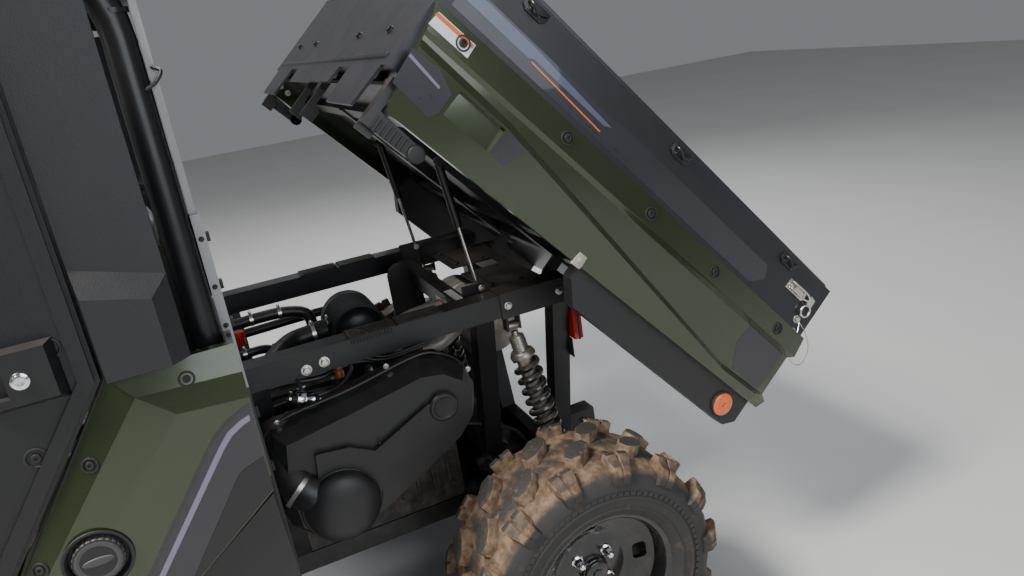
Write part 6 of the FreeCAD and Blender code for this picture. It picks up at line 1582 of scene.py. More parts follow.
    def _trim(self, word: str, s: int) -> Iterable[bpy.types.Object]:
        """The bulkhead's folded edge with its clips, and a hook on the hoop."""
        at = self.at
        fold = [(0.6555, -0.6575), (0.6610, -0.6575), (0.6610, -0.6400), (0.6300, -0.6400), (0.6300, -0.6445),
                (0.6555, -0.6445)]
        for part, ends, finish in (("edge", (1.020, 1.360), "panel_grey"),
                                   ("foot", (0.600, 1.0195), "moulded_plastic")):
            strip = Form().loft([[at(s * x, y, z) for x, y in fold] for z in ends])
            yield self.finish(strip, f"bulkhead_{part}_{word}", "chassis", finish, 0.0008)
        clips = Form()
        for z in (1.315, 1.225, 1.150, 0.960, 0.840):
            clips.lathe(at(s * 0.6608, -0.6490, z), (s, 0, 0), [(-0.002, 0), (-0.002, 0.0052), (0.0018, 0.0046),
                                                                 (0.0026, 0.0026), (0.0026, 0)], 16)
            self.vehicle.block(clips, s, (0.6380, 0.6540), (-0.6400, -0.6340), (z - 0.008, z + 0.008))
        yield self.finish(clips, f"bulkhead_clips_{word}", "chassis", "soft_grip", 0.0005)
        hook = Form()
        z = 1.597
        x = 0.690 - 0.0341 * (z - 0.315)
        line = [at(s * (x + 0.020), -0.668, z - 0.020), at(s * (x + 0.024), -0.650, z - 0.010),
                at(s * (x + 0.020), -0.638, z + 0.006), at(s * (x + 0.010), -0.650, z + 0.014)]
        hook.tube(smooth_path(line, 5), 0.0032, 8)
        yield self.finish(hook, f"hoop_hook_{word}", "chassis", "satin_tube")

    def _filler(self) -> Iterable[bpy.types.Object]:
        """The fuel cap's ribbed rim and turning bar, in its ring."""
        low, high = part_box("fuel_cap")
        s = 1 if high[0] > 0.5 else -1
        face = max(abs(low[0]), abs(high[0]))
        centre = Vector((s * face, (low[1] + high[1]) / 2, (low[2] + high[2]) / 2))
        cap = Form()
        rings = []
        for x, radius, notch in ((-0.018, 0.0405, 0.0), (-0.016, 0.0425, 0.0014), (-0.004, 0.0420, 0.0014),
                                 (-0.0008, 0.0395, 0.0008), (0.0006, 0.0360, 0.0), (0.0006, 0.0300, 0.0),
                                 (-0.0006, 0.0280, 0.0)):
            ring = []
            for k, angle in enumerate(turns(144)):
                r = radius - notch * (k % 6 < 2)
                ring.append(centre + Vector((s * x, r * math.cos(angle), r * math.sin(angle))))
            rings.append(ring)
        cap.loft(rings)
        bar = []
        for x, half, wide in ((-0.001, 0.026, 0.0085), (0.0016, 0.025, 0.0070), (0.0022, 0.023, 0.0055)):
            bar.append([centre + Vector((s * x, half * math.cos(t), wide * math.sin(t))) for t in turns(20)])
        cap.loft(bar)
        yield self.finish(cap, "filler_cap_ribs", "chassis", "cap_grey")
        cup = Form()
        cup.lathe(centre, (s, 0, 0), [(-0.0195, 0.0440), (-0.0195, 0.0515), (-0.006, 0.0545), (-0.0030, 0.0570),
                                      (-0.0015, 0.0560), (-0.0015, 0.0525), (-0.004, 0.0500), (-0.0175, 0.0470)], 64)
        yield self.finish(cup, "filler_ring", "chassis", "soft_grip")


@dataclass
class EngineBay(Group):
    """What fills the open bay: hoses, filter, pipes, rubber pads, bolts, cover details and stickers left bare."""

    def build(self) -> Iterable[bpy.types.Object]:
        """Make the bay's pieces.

        Returns:
            The pieces.
        """
        yield from self._air_cleaner()
        yield from self._hoses()
        yield from self._engine_top()
        yield from self._fuel_filter()
        yield from self._rails()
        yield from self._exhaust()
        yield from self._belt_cover()
        yield from self._beams()

    def _air_cleaner(self) -> Iterable[bpy.types.Object]:
        """The ribbed round canister with its bright far cap, neck and intake hose."""
        at = self.at
        can = Form()
        profile = [(0.004, 0.0), (0.004, 0.058), (0.010, 0.066)]
        for k in range(9):
            x = 0.016 + 0.0135 * k
            profile += [(x, 0.0705), (x + 0.003, 0.0748), (x + 0.008, 0.0748), (x + 0.0105, 0.0705)]
        profile += [(0.140, 0.0700), (0.145, 0.0745), (0.150, 0.0745), (0.1505, 0.066), (0.146, 0.060), (0.146, 0.036),
                    (0.1505, 0.030), (0.1505, 0.0)]
        can.lathe(at(0.020, -0.330, 0.888), (1, 0, 0), profile, 56)
        piece = self.finish(can, "air_canister", "chassis", "hose_rubber", crease=40.0)
        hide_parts("air_cleaner")
        yield piece
        cap = Form()
        cap.lathe(at(0.020, -0.330, 0.888), (-1, 0, 0), [(-0.030, 0.0), (-0.030, 0.0752), (-0.004, 0.0752),
                                                         (0.000, 0.0720), (0.0, 0.052), (0.003, 0.048), (0.003, 0.0)],
                  56)
        yield self.finish(cap, "canister_cap", "chassis", "cast_alloy")
        hose = Form()
        hose.tube(self.through((0.095, -0.360, 0.888), (0.095, -0.440, 0.888), (0.104, -0.495, 0.886),
                               (0.138, -0.535, 0.880), (0.180, -0.568, 0.872), (0.195, -0.605, 0.868),
                               (0.195, -0.6446, 0.868), steps=7), 0.028, 22)
        for share in range(7):
            hose.lathe(at(0.195, -0.590 - share * 0.0075, 0.868), (0, 1, 0), collar(0, 0.027, 0.0305, 0.0035), 22)
        neck = [(0.0, 0.020), (0.0, 0.0315), (-0.040, 0.0325), (-0.044, 0.030), (-0.044, 0.020)]
        hose.lathe(at(0.095, -0.388, 0.888), (0, 1, 0), neck, 28)
        piece = self.finish(hose, "intake_hose", "chassis", "hose_rubber")
        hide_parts("air_cleaner")
        yield piece
        clamps = Form()
        for y in (-0.440, -0.396):
            self._clamp(clamps, at(0.095, y, 0.888), Vector((0, 1, 0)), 0.0335 if y > -0.42 else 0.0295)
        yield self.finish(clamps, "hose_clamps", "chassis", "bright_zinc")

    def _clamp(self, form: Form, centre: Vector, way: Vector, radius: float) -> None:
        """A worm clamp: a band with its screw housing."""
        form.lathe(centre, way, [(-0.005, radius - 0.002), (-0.005, radius), (0.005, radius), (0.005, radius - 0.002)],
                   32)
        side = Vector((0, 0, 1)) if abs(way.z) < 0.5 else Vector((1, 0, 0))
        head = centre + side * (radius + 0.003)
        form.lathe(head - side.cross(way) * 0.010, side.cross(way), [(0, 0.0), (0, 0.0036), (0.016, 0.0036),
                                                                     (0.016, 0.0048), (0.021, 0.0048), (0.021, 0)], 12)

    def _hoses(self) -> Iterable[bpy.types.Object]:
        """Coolant, fuel and breather hoses with their clamps."""
        at = self.at
        fat = Form()
        fat.tube(self.through((-0.125, -0.6446, 0.900), (-0.122, -0.560, 0.905), (-0.120, -0.480, 0.902),
                              (-0.112, -0.425, 0.884), (-0.080, -0.420, 0.848), (-0.050, -0.455, 0.822),
                              (-0.040, -0.480, 0.790), steps=7), 0.0165, 16)
        fat.tube(self.through((0.010, -0.6446, 0.852), (0.008, -0.600, 0.856), (0.000, -0.560, 0.850),
                              (0.0, -0.530, 0.826), (0.0, -0.520, 0.790), steps=7), 0.0125, 14)
        fat.tube(self.through((-0.205, -0.6446, 0.842), (-0.200, -0.540, 0.846), (-0.196, -0.420, 0.850),
                              (-0.190, -0.330, 0.846), (-0.180, -0.250, 0.800), (-0.160, -0.222, 0.730),
                              (-0.150, -0.2365, 0.700), steps=7), 0.0135, 14)
        fat.tube(self.through((0.262, -0.6446, 0.786), (0.262, -0.560, 0.796), (0.262, -0.440, 0.790),
                              (0.262, -0.330, 0.776), (0.252, -0.262, 0.740), (0.225, -0.236, 0.690),
                              (0.200, -0.236, 0.655), steps=7), 0.0115, 14)
        yield self.finish(fat, "coolant_hoses", "chassis", "hose_rubber")
        thin = Form()
        for x, z, drop in ((0.285, 0.872, 0.030), (0.278, 0.852, 0.020), (0.270, 0.838, 0.010)):
            thin.tube(self.through((x, -0.6446, z), (x - 0.004, -0.560, z + 0.006), (x, -0.470, z - 0.004),
                                   (x - 0.012, -0.380, z + 0.004), (x - 0.006, -0.300, z - drop),
                                   (x - 0.020, -0.180, z - drop), steps=6), 0.0042, 8)
        thin.tube(self.through((0.352, -0.492, 0.826), (0.352, -0.462, 0.828), (0.356, -0.425, 0.842),
                               (0.350, -0.400, 0.874), (0.322, -0.420, 0.884), (0.280, -0.450, 0.872), steps=8),
                               0.0052, 10)
        thin.tube(self.through((0.215, -0.140, 0.560), (0.250, -0.060, 0.545), (0.300, 0.010, 0.520),
                               (0.380, 0.030, 0.470), (0.440, 0.045, 0.440), (0.500, 0.045, 0.415), steps=8),
                               0.0048, 10)
        thin.tube(self.through((0.150, -0.560, 0.800), (0.178, -0.520, 0.846), (0.200, -0.470, 0.850),
                               (0.206, -0.400, 0.842), (0.190, -0.330, 0.822), (0.165, -0.290, 0.780), steps=8),
                               0.0055, 10)
        yield self.finish(thin, "thin_lines", "chassis", "hose_rubber")
        clamps = Form()
        self._clamp(clamps, at(-0.1225, -0.575, 0.9045), Vector((0, 1, 0)), 0.0178)
        self._clamp(clamps, at(-0.1205, -0.495, 0.9026), Vector((0, 1, 0)), 0.0178)
        self._clamp(clamps, at(0.009, -0.618, 0.8545), Vector((0, 1, 0)), 0.0138)
        self._clamp(clamps, at(0.262, -0.545, 0.7962), Vector((0, 1, 0)), 0.0127)
        yield self.finish(clamps, "coolant_clamps", "chassis", "bright_zinc")
        red = Form()
        red.lathe(at(-0.062, -0.622, 0.862), (0, 0, 1), [(0, 0), (0, 0.016), (0.020, 0.016), (0.022, 0.019),
                                                         (0.036, 0.019), (0.040, 0.015), (0.040, 0)], 18)
        yield self.finish(red, "filler_plug", "chassis", "red_plastic", 0.0008)

    def _engine_top(self) -> Iterable[bpy.types.Object]:
        """Injectors with their rail and pipes, cover bolts, a dipstick and cast ribs."""
        at = self.at
        bright = Form()
        bright.lathe(at(0.062, -0.560, 0.834), (0, 1, 0), rod(0, 0.010, 0.270), 18)
        for k in range(3):
            y = -0.525 + 0.090 * k
            bright.lathe(at(0.020, y, 0.796), (0, 0, 1),
                         [(0, 0), (0, 0.013), (0.012, 0.013), (0.014, 0.009), (0.036, 0.009), (0.038, 0.006),
                          (0.050, 0.006), (0.050, 0)], 16)
            bright.tube(self.through((0.020, y, 0.842), (0.026, y + 0.004, 0.858), (0.046, y + 0.010, 0.860),
                                     (0.060, y + 0.016, 0.850), (0.062, y + 0.016, 0.838), steps=6), 0.0030, 8)
            bright.lathe(at(0.178, y + 0.012, 0.756), (0, 0, 1), [(0, 0), (0, 0.016), (0.010, 0.016), (0.013, 0.012),
                                                                  (0.030, 0.012), (0.030, 0)], 14)
        for x in (-0.088, 0.088):
            for y in (-0.572, -0.490, -0.400, -0.300, -0.258):
                bright.bolt(at(x, y, 0.7705), (0, 0, 1), 0.0060)
        for y in (-0.565, -0.475, -0.385, -0.300):
            bright.bolt(at(0.2345, y, 0.748), (1, 0, 0), 0.0068)
            bright.bolt(at(0.2405, y, 0.610), (1, 0, 0), 0.0075)
        yield self.finish(bright, "injector_set", "chassis", "bright_zinc", 0.0004)
        ribs = Form()
        for k in range(6):
            y = -0.555 + 0.052 * k
            ribs.box(at(-0.060, y, 0.7985), at(0.060, y + 0.010, 0.8045))
        for k in range(9):
            y = -0.560 + 0.046 * k
            ribs.box(at(0.238, y, 0.400), at(0.2485, y + 0.008, 0.640))
            ribs.box(at(-0.2485, y, 0.400), at(-0.238, y + 0.008, 0.640))
        ribs.box(at(0.150, -0.590, 0.6600), at(0.236, -0.240, 0.6720))
        yield self.finish(ribs, "engine_ribs", "chassis", "cast_iron", 0.0016)
        dark = Form()
        dark.lathe(at(-0.170, -0.536, 0.738), (0, -1, 0),
                   [(0, 0), (0, 0.030), (0.006, 0.034), (0.010, 0.030), (0.014, 0.034), (0.020, 0.034),
                    (0.022, 0.012), (0.030, 0.010), (0.030, 0)], 32)
        for z, x in ((0.720, 0.196), (0.700, 0.205)):
            dark.box(at(x, -0.590, z - 0.012), at(x + 0.020, -0.560, z + 0.014))
        yield self.finish(dark, "pulley_set", "chassis", "cast_iron", 0.0012)

    def _fuel_filter(self) -> Iterable[bpy.types.Object]:
        """A bright inline filter with its black ends and fittings beside the rail."""
        at = self.at
        start, end = at(0.376, -0.552, 0.8475), at(0.376, -0.484, 0.8225)
        way = (end - start).normalized()
        can = Form()
        can.lathe(start, way, [(0.008, 0), (0.008, 0.0170), (0.010, 0.0185), (0.026, 0.0185), (0.0275, 0.0195),
                               (0.0300, 0.0195), (0.0315, 0.0185), (0.048, 0.0185), (0.050, 0.0170), (0.050, 0)], 36)
        yield self.finish(can, "fuel_filter", "chassis", "chrome_nut")
        ends = Form()
        ends.lathe(start, way, [(-0.016, 0), (-0.016, 0.0050), (-0.010, 0.0050), (-0.009, 0.0072), (-0.004, 0.0072),
                                (-0.002, 0.0120), (0.0085, 0.0120), (0.0085, 0)], 20)
        ends.lathe(start, way, [(0.0495, 0), (0.0495, 0.0110), (0.058, 0.0100), (0.060, 0.0070), (0.072, 0.0062),
                                (0.072, 0)], 20)
        yield self.finish(ends, "filter_ends", "chassis", "soft_grip")
        rings = Form()
        for reach, radius in ((0.0635, 0.0092), (-0.007, 0.0092)):
            rings.lathe(start, way, [(reach - 0.002, 0.004), (reach - 0.002, radius), (reach + 0.003, radius),
                                     (reach + 0.003, 0.004)], 18)
        yield self.finish(rings, "filter_clips", "chassis", "bright_zinc")
        copper = Form()
        copper.lathe(at(0.318, -0.428, 0.842), (0, 0, 1), [(0, 0), (0, 0.012), (0.018, 0.012), (0.021, 0.009),
                                                           (0.034, 0.009), (0.034, 0)], 20)
        yield self.finish(copper, "copper_fitting", "chassis", "copper_part")
        hanger = Form()
        hanger.tube(self.through((0.362, -0.530, 0.884), (0.374, -0.529, 0.872), (0.378, -0.527, 0.862), steps=4),
                    0.004, 8)
        yield self.finish(hanger, "filter_hanger", "chassis", "soft_grip")

    def _rails(self) -> Iterable[bpy.types.Object]:
        """Hex bolts on the rails' sides, and slanted ribs on their rubber pads."""
        at = self.at
        bolts = Form()
        for s in (1, -1):
            for y, z in ((-0.504, 0.900), (-0.460, 0.907)):
                bolts.bolt(at(s * 0.3602, y, z), (s, 0, 0), 0.0095)
            for y in (0.020, 0.168):
                bolts.bolt(at(s * 0.3642, y, 0.913), (s, 0, 0), 0.0075)
            bolts.bolt(at(s * 0.296, -0.020, 0.955), (s, 0, 0), 0.0065)
        yield self.finish(bolts, "rail_bolts", "chassis", "bright_zinc", 0.0004)
        pads = Form()
        for s in (1, -1):
            for k in range(15):
                y = -0.390 + 0.0077 * k
                top, low, lean = 0.9493, 0.9468, 0.010 * s
                a = [(0.3035, y), (0.3565, y + lean), (0.3565, y + lean + 0.0042), (0.3035, y + 0.0042)]
                a = [(x, max(-0.391, min(-0.2785, b))) for x, b in a]
                if a[0][1] == a[3][1] or a[1][1] == a[2][1]:
                    continue
                pads.loft([[at(s * x, b, low) for x, b in a], [at(s * x, b, top) for x, b in a]])
                side = [(y, 0.9300), (y + 0.0042, 0.9300), (y + 0.0042, 0.9468), (y, 0.9468)]
                if y + 0.0042 < -0.2785:
                    pads.loft([[at(s * 0.3598, b, z) for b, z in side], [at(s * 0.3618, b, z) for b, z in side]])
        yield self.finish(pads, "pad_ribs", "chassis", "ribbed_rubber", 0.0006)

    def _exhaust(self) -> Iterable[bpy.types.Object]:
        """The silencer with pressed ends and straps, its pipe and tail."""
        at = self.at
        form = Form()
        form.lathe(at(-0.220, 0.060, 0.770), (1, 0, 0), [(0.0, 0.0), (0.0, 0.062), (0.004, 0.072), (0.014, 0.0785),
                                                        (0.020, 0.0800), (0.120, 0.0800), (0.124, 0.0772),
                                                        (0.134, 0.0772), (0.138, 0.0800), (0.226, 0.0800),
                                                        (0.230, 0.0772), (0.240, 0.0772), (0.244, 0.0800),
                                                        (0.340, 0.0800), (0.346, 0.0785), (0.356, 0.072),
                                                        (0.360, 0.062), (0.360, 0.0)], 56)
        form.tube(self.through((0.060, -0.1497, 0.740), (0.060, -0.095, 0.742), (0.060, -0.050, 0.765),
                               (0.060, 0.015, 0.790), (0.060, 0.040, 0.790), steps=8), 0.022, 22)
        form.tube(self.through((-0.180, 0.060, 0.770), (-0.180, 0.150, 0.748), (-0.180, 0.250, 0.720), steps=6),
                  0.022, 22)
        piece = self.finish(form, "silencer_set", "chassis", "exhaust_steel", crease=30.0)
        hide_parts("exhaust")
        yield piece
        pipe = Form()
        pipe.tube(self.through((0.120, -0.235, 0.850), (0.135, -0.185, 0.872), (0.150, -0.120, 0.884),
                               (0.160, -0.060, 0.886), (0.160, -0.020, 0.866), (0.150, 0.010, 0.830), steps=8),
                               0.0205, 24)
        self._clamp(pipe, at(0.160, -0.052, 0.8855), Vector((0, 1, -0.12)), 0.0225)
        yield self.finish(pipe, "exhaust_elbow", "chassis", "exhaust_steel", crease=40.0)

    def _belt_cover(self) -> Iterable[bpy.types.Object]:
        """Bosses, a flange, bolts and the duct's sleeve with its clamp on the belt cover."""
        at = self.at
        detail = Form()
        boss = at(0.500, -0.511, 0.620)
        detail.lathe(boss, (1, 0, 0), [(-0.002, 0.075), (-0.002, 0.094), (0.004, 0.0945), (0.006, 0.092),
                                       (0.006, 0.088), (0.012, 0.088), (0.014, 0.0855), (0.014, 0.075)], 56)
        dome = [(0.026 + 0.0300 * math.sin(a), 0.0845 * math.cos(a)) for a in map(math.radians, range(0, 91, 9))]
        detail.lathe(boss, (1, 0, 0), [(0.010, 0.0), (0.010, 0.0845), *dome], 56)
        centre = at(0.500, -0.236, 0.772)
        detail.lathe(centre, (1, 0, 0), [(0.0, 0.0), (0.0, 0.036), (0.012, 0.036), (0.0165, 0.032), (0.0165, 0.026),
                                         (0.0145, 0.024), (0.0145, 0.0)], 40)
        for k in range(5):
            share = k / 4
            y, z = -0.500 + 0.200 * share, 0.735 + 0.045 * share
            detail.lathe(at(0.5115, y, z - 0.020), (1, 0, 0), [(-0.002, 0), (-0.002, 0.0035), (0.0016, 0.0030),
                                                               (0.0016, 0)], 10)
        yield self.finish(detail, "cover_bosses", "chassis", "moulded_plastic", 0.0008)
        edge = ((-0.612, 0.805), (-0.420, 0.838), (-0.263, 0.868), (-0.205, 0.858), (-0.160, 0.824), (-0.143, 0.776),
                (-0.150, 0.722), (-0.190, 0.676), (-0.300, 0.612), (-0.420, 0.549), (-0.500, 0.528), (-0.581, 0.536),
                (-0.622, 0.580), (-0.630, 0.700))
        rim = Form()
        loop = [at(0.410, -0.400 + (y + 0.400) * 1.032, 0.700 + (z - 0.700) * 1.032) for y, z in edge]
        rim.tube(self._ring(loop), 0.0045, 8)
        yield self.finish(rim, "cover_flange", "chassis", "moulded_plastic")
        bolts = Form()
        for y, z in ((-0.600, 0.818), (-0.330, 0.872), (-0.132, 0.800), (-0.225, 0.646), (-0.470, 0.524)):
            bolts.bolt(at(0.412, y, z), (1, 0, 0), 0.0052)
        yield self.finish(bolts, "cover_bolts", "chassis", "bright_zinc")
        duct = Form()
        route = bent([at(0.506, -0.511, 0.624), at(0.490, -0.595, 0.680), at(0.372, -0.595, 0.798)], 0.06, 12)
        duct.tube(route, 0.0452, 40)
        yield self.finish(duct, "duct_sleeve", "chassis", "hose_rubber")
        clamp = Form()
        middle = at(0.4915, -0.585, 0.6740)
        way = Vector((-0.42, -0.62, 0.66)).normalized()
        clamp.lathe(middle + way * 0.010, way, collar(-0.0050, 0.0440, 0.0476, 0.0050), 48)
        yield self.finish(clamp, "duct_clamp", "chassis", "bright_zinc")

    @staticmethod
    def _ring(loop: Sequence[Vector]) -> list[Vector]:
        """A closed run through a loop of points, ending where it starts."""
        run = smooth_path([loop[-1], *loop, loop[0], loop[1]], 6)
        return run[6:-6]

    def _beams(self) -> Iterable[bpy.types.Object]:
        """The plate with a rounded top, the deck plates and the bare sticker on the cross beam."""
        at = self.at
        plate = Form()
        outline = [(-0.150, 0.700), (-0.150, 0.905), (-0.142, 0.926), (-0.122, 0.938), (-0.100, 0.940), (-0.082, 0.930),
                   (-0.075, 0.915), (-0.072, 0.700)]
        plate.loft([[at(-0.196, y, z) for y, z in outline], [at(-0.190, y, z) for y, z in outline]])
        yield self.finish(plate, "bay_plate", "chassis", "brown_black", 0.0016)
        deck = Form()
        for x0, x1 in ((-0.240, -0.050), (0.020, 0.230)):
            deck.box(at(x0, 0.020, 0.915), at(x1, 0.148, 0.9195))
            for x in (x0 + 0.02, x1 - 0.02):
                for y in (0.040, 0.128):
                    deck.bolt(at(x, y, 0.9195), (0, 0, 1), 0.0055)
            deck.box(at(x0 + 0.03, 0.046, 0.9195), at(x1 - 0.03, 0.052, 0.9275))
        yield self.finish(deck, "deck_plates", "chassis", "frame_coat", 0.0010)
        label = Form()
        label.box(at(0.125, -0.072, 0.9150), at(0.225, -0.050, 0.9158))
        label.box(at(0.125, -0.0962, 0.870), at(0.225, -0.0955, 0.911))
        yield self.finish(label, "beam_label", "chassis", "white_vinyl")
        strip = Form()
        strip.box(at(0.127, -0.0966, 0.897), at(0.223, -0.0960, 0.909))
        yield self.finish(strip, "beam_label_strip", "chassis", "orange_vinyl")


@dataclass
class Seats(Group):
    """Padded seats: vinyl cushions and backs blown up by cloth pressure, with seams, piping and belts."""

    voxel: float = 0.006
    frames: int = 20
    pressure: float = 4.0
    cap: float = 0.016
    middle: float = 0.300
    half: float = 0.248
    seam_line: float = 0.128
    seam_half: float = 0.006
    seam_depth: float = 0.007
    channel_pitch: float = 0.072

    def build(self) -> Iterable[bpy.types.Object]:
        """Make the cushions, the backs, their piping and the belts.

        Returns:
            The pieces.
        """
        at = self.at
        for side in Side:
            s = side.value
            low, high = at(self.middle - self.half, -1.198, 0.7020), at(self.middle + self.half, -0.752, 0.7850)
            base = Form().loft(self._cushion_rings(s, low, high))
            yield self._pad(base, f"cushion_{side.word}", "seat_cushions")
            back = Form().loft(self._back_rings(s))
            yield self._pad(back, f"backrest_{side.word}", "seat_backs")
            yield self._piping(side.word, s)
        yield self._belts()

    def _cushion_rings(self, s: int, low: Vector, high: Vector) -> list[list[Point]]:
        """Sections of a cushion along the vehicle, thicker over the thighs."""
        rings = []
        for share, swell in ((0.0, 0.70), (0.06, 0.95), (0.30, 1.0), (0.70, 0.94), (0.94, 0.90), (1.0, 0.70)):
            y = low[1] + (high[1] - low[1]) * share
            top = low[2] + (high[2] - low[2]) * swell
            inset = 0.020 * (share in (0.0, 1.0))
            x0, x1 = low[0] + inset, high[0] - inset
            ring = [(x0, y, low[2]), (x1, y, low[2]), (x1, y, top - 0.020), (x1 - 0.060, y, top),
                    (x1 - 0.120, y, top - 0.010), (x0 + 0.120, y, top - 0.010), (x0 + 0.060, y, top),
                    (x0, y, top - 0.020)]
            rings.append([(s * x, b, c) for x, b, c in ring])
        return rings

    def _back_rings(self, s: int) -> list[list[Point]]:
        """Sections of a backrest from its foot to its head, leaning back."""
        rings = []
        rows = ((0.820, 0.200, 0.052), (0.860, 0.236, 0.060), (1.000, 0.240, 0.064), (1.140, 0.222, 0.058),
                (1.220, 0.150, 0.050), (1.330, 0.140, 0.048), (1.346, 0.120, 0.040))
        for z, half, deep in rows:
            share = (z - 0.8006) / 0.560
            middle = self.at(self.middle, -0.840 + (0.036 + 0.041) * share + 0.041 - 0.0415, z)
            ring = []
            for a, b in ((-half, deep * 0.62), (half, deep * 0.62), (half, -deep * 0.30), (half * 0.72, -deep * 0.62),
                         (half * 0.38, -deep * 0.45), (-half * 0.38, -deep * 0.45), (-half * 0.72, -deep * 0.62),
                         (-half, -deep * 0.30)):
                ring.append((s * (middle.x + a), middle.y + b * 0.98, z))
            rings.append(ring)
        return rings

    def _pad(self, form: Form, name: str, node: str) -> bpy.types.Object:
        """Blow a start shape up to a cushion and sew its seams in."""
        piece = self.finish(form, name, "chassis", "seat_vinyl", crease=60.0)
        self.vehicle.remesh(piece, self.voxel)
        self._inflate(piece)
        self._seams(piece)
        self.vehicle.subdivide(piece)
        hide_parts(node)
        return piece

    def _inflate(self, piece: bpy.types.Object) -> None:
        """Run the cloth with pressure and cap how far each point moves."""
        before = [v.co.copy() for v in piece.data.vertices]
        cloth = piece.modifiers.new("swell", "CLOTH")
        settings = cloth.settings
        settings.use_pressure = True
        settings.uniform_pressure_force = self.pressure
        settings.effector_weights.gravity = 0.0
        settings.quality = 4
        settings.tension_stiffness = 20.0
        settings.compression_stiffness = 20.0
        settings.shear_stiffness = 8.0
        settings.bending_stiffness = 0.6
        cloth.collision_settings.use_collision = False
        cloth.point_cache.frame_start = 1
        cloth.point_cache.frame_end = self.frames
        scene = bpy.context.scene
        for frame in range(1, self.frames + 1):
            scene.frame_set(frame)
        result = piece.evaluated_get(bpy.context.evaluated_depsgraph_get())
        after = [v.co.copy() for v in result.data.vertices]
        piece.modifiers.clear()
        scene.frame_set(1)
        for vertex, old, new in zip(piece.data.vertices, before, after):
            move = new - old
            if move.length > self.cap:
                move *= self.cap / move.length
            vertex.co = old + move

    def _seams(self, piece: bpy.types.Object) -> None:
        """Press two long seams and cross channels into the top."""
        low, high = self._corners(piece)
        middle = (low.x + high.x) / 2
        upright = high.z - low.z > 0.25
        for vertex in piece.data.vertices:
            co = vertex.co
            inside = abs(co.x - middle)
            along = co.z if upright else co.y
            start = low.z if upright else low.y
            seam = math.exp(-((inside - self.seam_line) / self.seam_half) ** 2)
            channel = 0.0
            if inside < self.seam_line - 0.003:
                phase = ((along - start) / self.channel_pitch) % 1.0 - 0.5
                channel = math.exp(-(phase * self.channel_pitch / self.seam_half) ** 2) * 0.8
            depth = self.seam_depth * max(seam, channel)
            face = vertex.normal
            if (upright and face.y < -0.3) or (not upright and face.z > 0.3):
                vertex.co = co - face * depth

    @staticmethod
    def _corners(piece: bpy.types.Object) -> tuple[Vector, Vector]:
        """The lowest and highest corner of a mesh."""
        points = [v.co for v in piece.data.vertices]
        return tuple(Vector(pick(p[i] for p in points) for i in range(3)) for pick in (min, max))

    def _piping(self, word: str, s: int) -> bpy.types.Object:
        """Piping round a cushion's foot."""
        at = self.at
        form = Form()
        corners = [(0.046, -1.205), (0.554, -1.205), (0.554, -0.745), (0.046, -0.745)]
        loop = [at(s * x, y, 0.7050) for x, y in corners]
        run = bent([(loop[0] + loop[1]) / 2, loop[1], loop[2], loop[3], loop[0], (loop[0] + loop[1]) / 2], 0.03, 5)
        form.tube(run, 0.0042, 8)
        return self.finish(form, f"cushion_piping_{word}", "chassis", "soft_grip")

    def _belts(self) -> bpy.types.Object:
        """Shoulder belts hanging flat beside the backs."""
        at = self.at
        form = Form()
        for s in (1, -1):
            run = [at(s * 0.545, -0.720, 1.300), at(s * 0.575, -0.735, 1.180), at(s * 0.588, -0.745, 0.960),
                   at(s * 0.590, -0.750, 0.760)]
            rings = []
            for point in smooth_path(run, 6):
                rings.append([point + Vector((0, -0.022, 0)), point + Vector((0, 0.022, 0)),
                              point + Vector((s * 0.0016, 0.022, 0)), point + Vector((s * 0.0016, -0.022, 0))])
            form.loft(rings)
        return self.finish(form, "seat_belts", "chassis", "soft_grip")


@dataclass
class Nose(Group):
    """The front's fittings: lamp bowls, grille mesh, hood ridges and bolts."""

    def build(self) -> Iterable[bpy.types.Object]:
        """Make the front's pieces.

        Returns:
            The pieces.
        """
        at = self.at
        out = Vector((0, -1, 0))
        bowls = Form()
        for s in (1, -1):
            for x in (0.495, 0.585):
                bowls.lathe(at(s * x, -2.425, 0.850), out,
                            [(-0.004, 0.0), (-0.004, 0.034), (0.0, 0.038), (0.004, 0.038), (0.004, 0.033),
                             (-0.001, 0.020), (-0.001, 0.010), (0.003, 0.008), (0.004, 0.0)], 32)
        yield self.finish(bowls, "lamp_bowls", "chassis", "lamp_bowl")
        mesh = Form()
        for k in range(5):
            z0 = 0.600 + 0.048 * k
            for j in range(25):
                x = -0.288 + 0.024 * j
                mesh.tube([at(x, -2.4175, z0 - 0.002), at(x + 0.008, -2.4175, z0 + 0.028)], 0.0016, 6)
        yield self.finish(mesh, "grille_mesh", "chassis", "soft_grip")
        ridge = Form()
        for s in (1, -1):
            rings = []
            for y, z, x in ((-2.370, 0.9335, 0.150), (-2.340, 0.9360, 0.155), (-1.840, 1.0430, 0.200),
                            (-1.780, 1.0535, 0.205)):
                rise = 0.010 if -2.35 < y < -1.83 else 0.001
                rings.append([at(s * (x - 0.018), y, z), at(s * (x + 0.018), y, z), at(s * (x + 0.010), y, z + rise),
                              at(s * (x - 0.010), y, z + rise)])
            ridge.loft(rings)
        yield self.finish(ridge, "hood_ridges", "hood", "body_paint", 0.002)
        bolts = Form()
        for s in (1, -1):
            for x, z in ((0.600, 0.760), (0.600, 0.600), (0.360, 0.600), (0.360, 0.760)):
                bolts.lathe(at(s * x, self._face_y(z), z), out, [(-0.004, 0), (-0.004, 0.0085), (0.0018, 0.0080),
                                                                 (0.0026, 0.0060), (0.0026, 0)], 20)
        yield self.finish(bolts, "nose_bolts", "chassis", "soft_grip")

    @staticmethod
    def _face_y(z: float) -> float:
        """Station of the fascia's face at a height, from the rear axle line."""
        return -2.430 - 0.020 * (z - 0.560) / 0.250


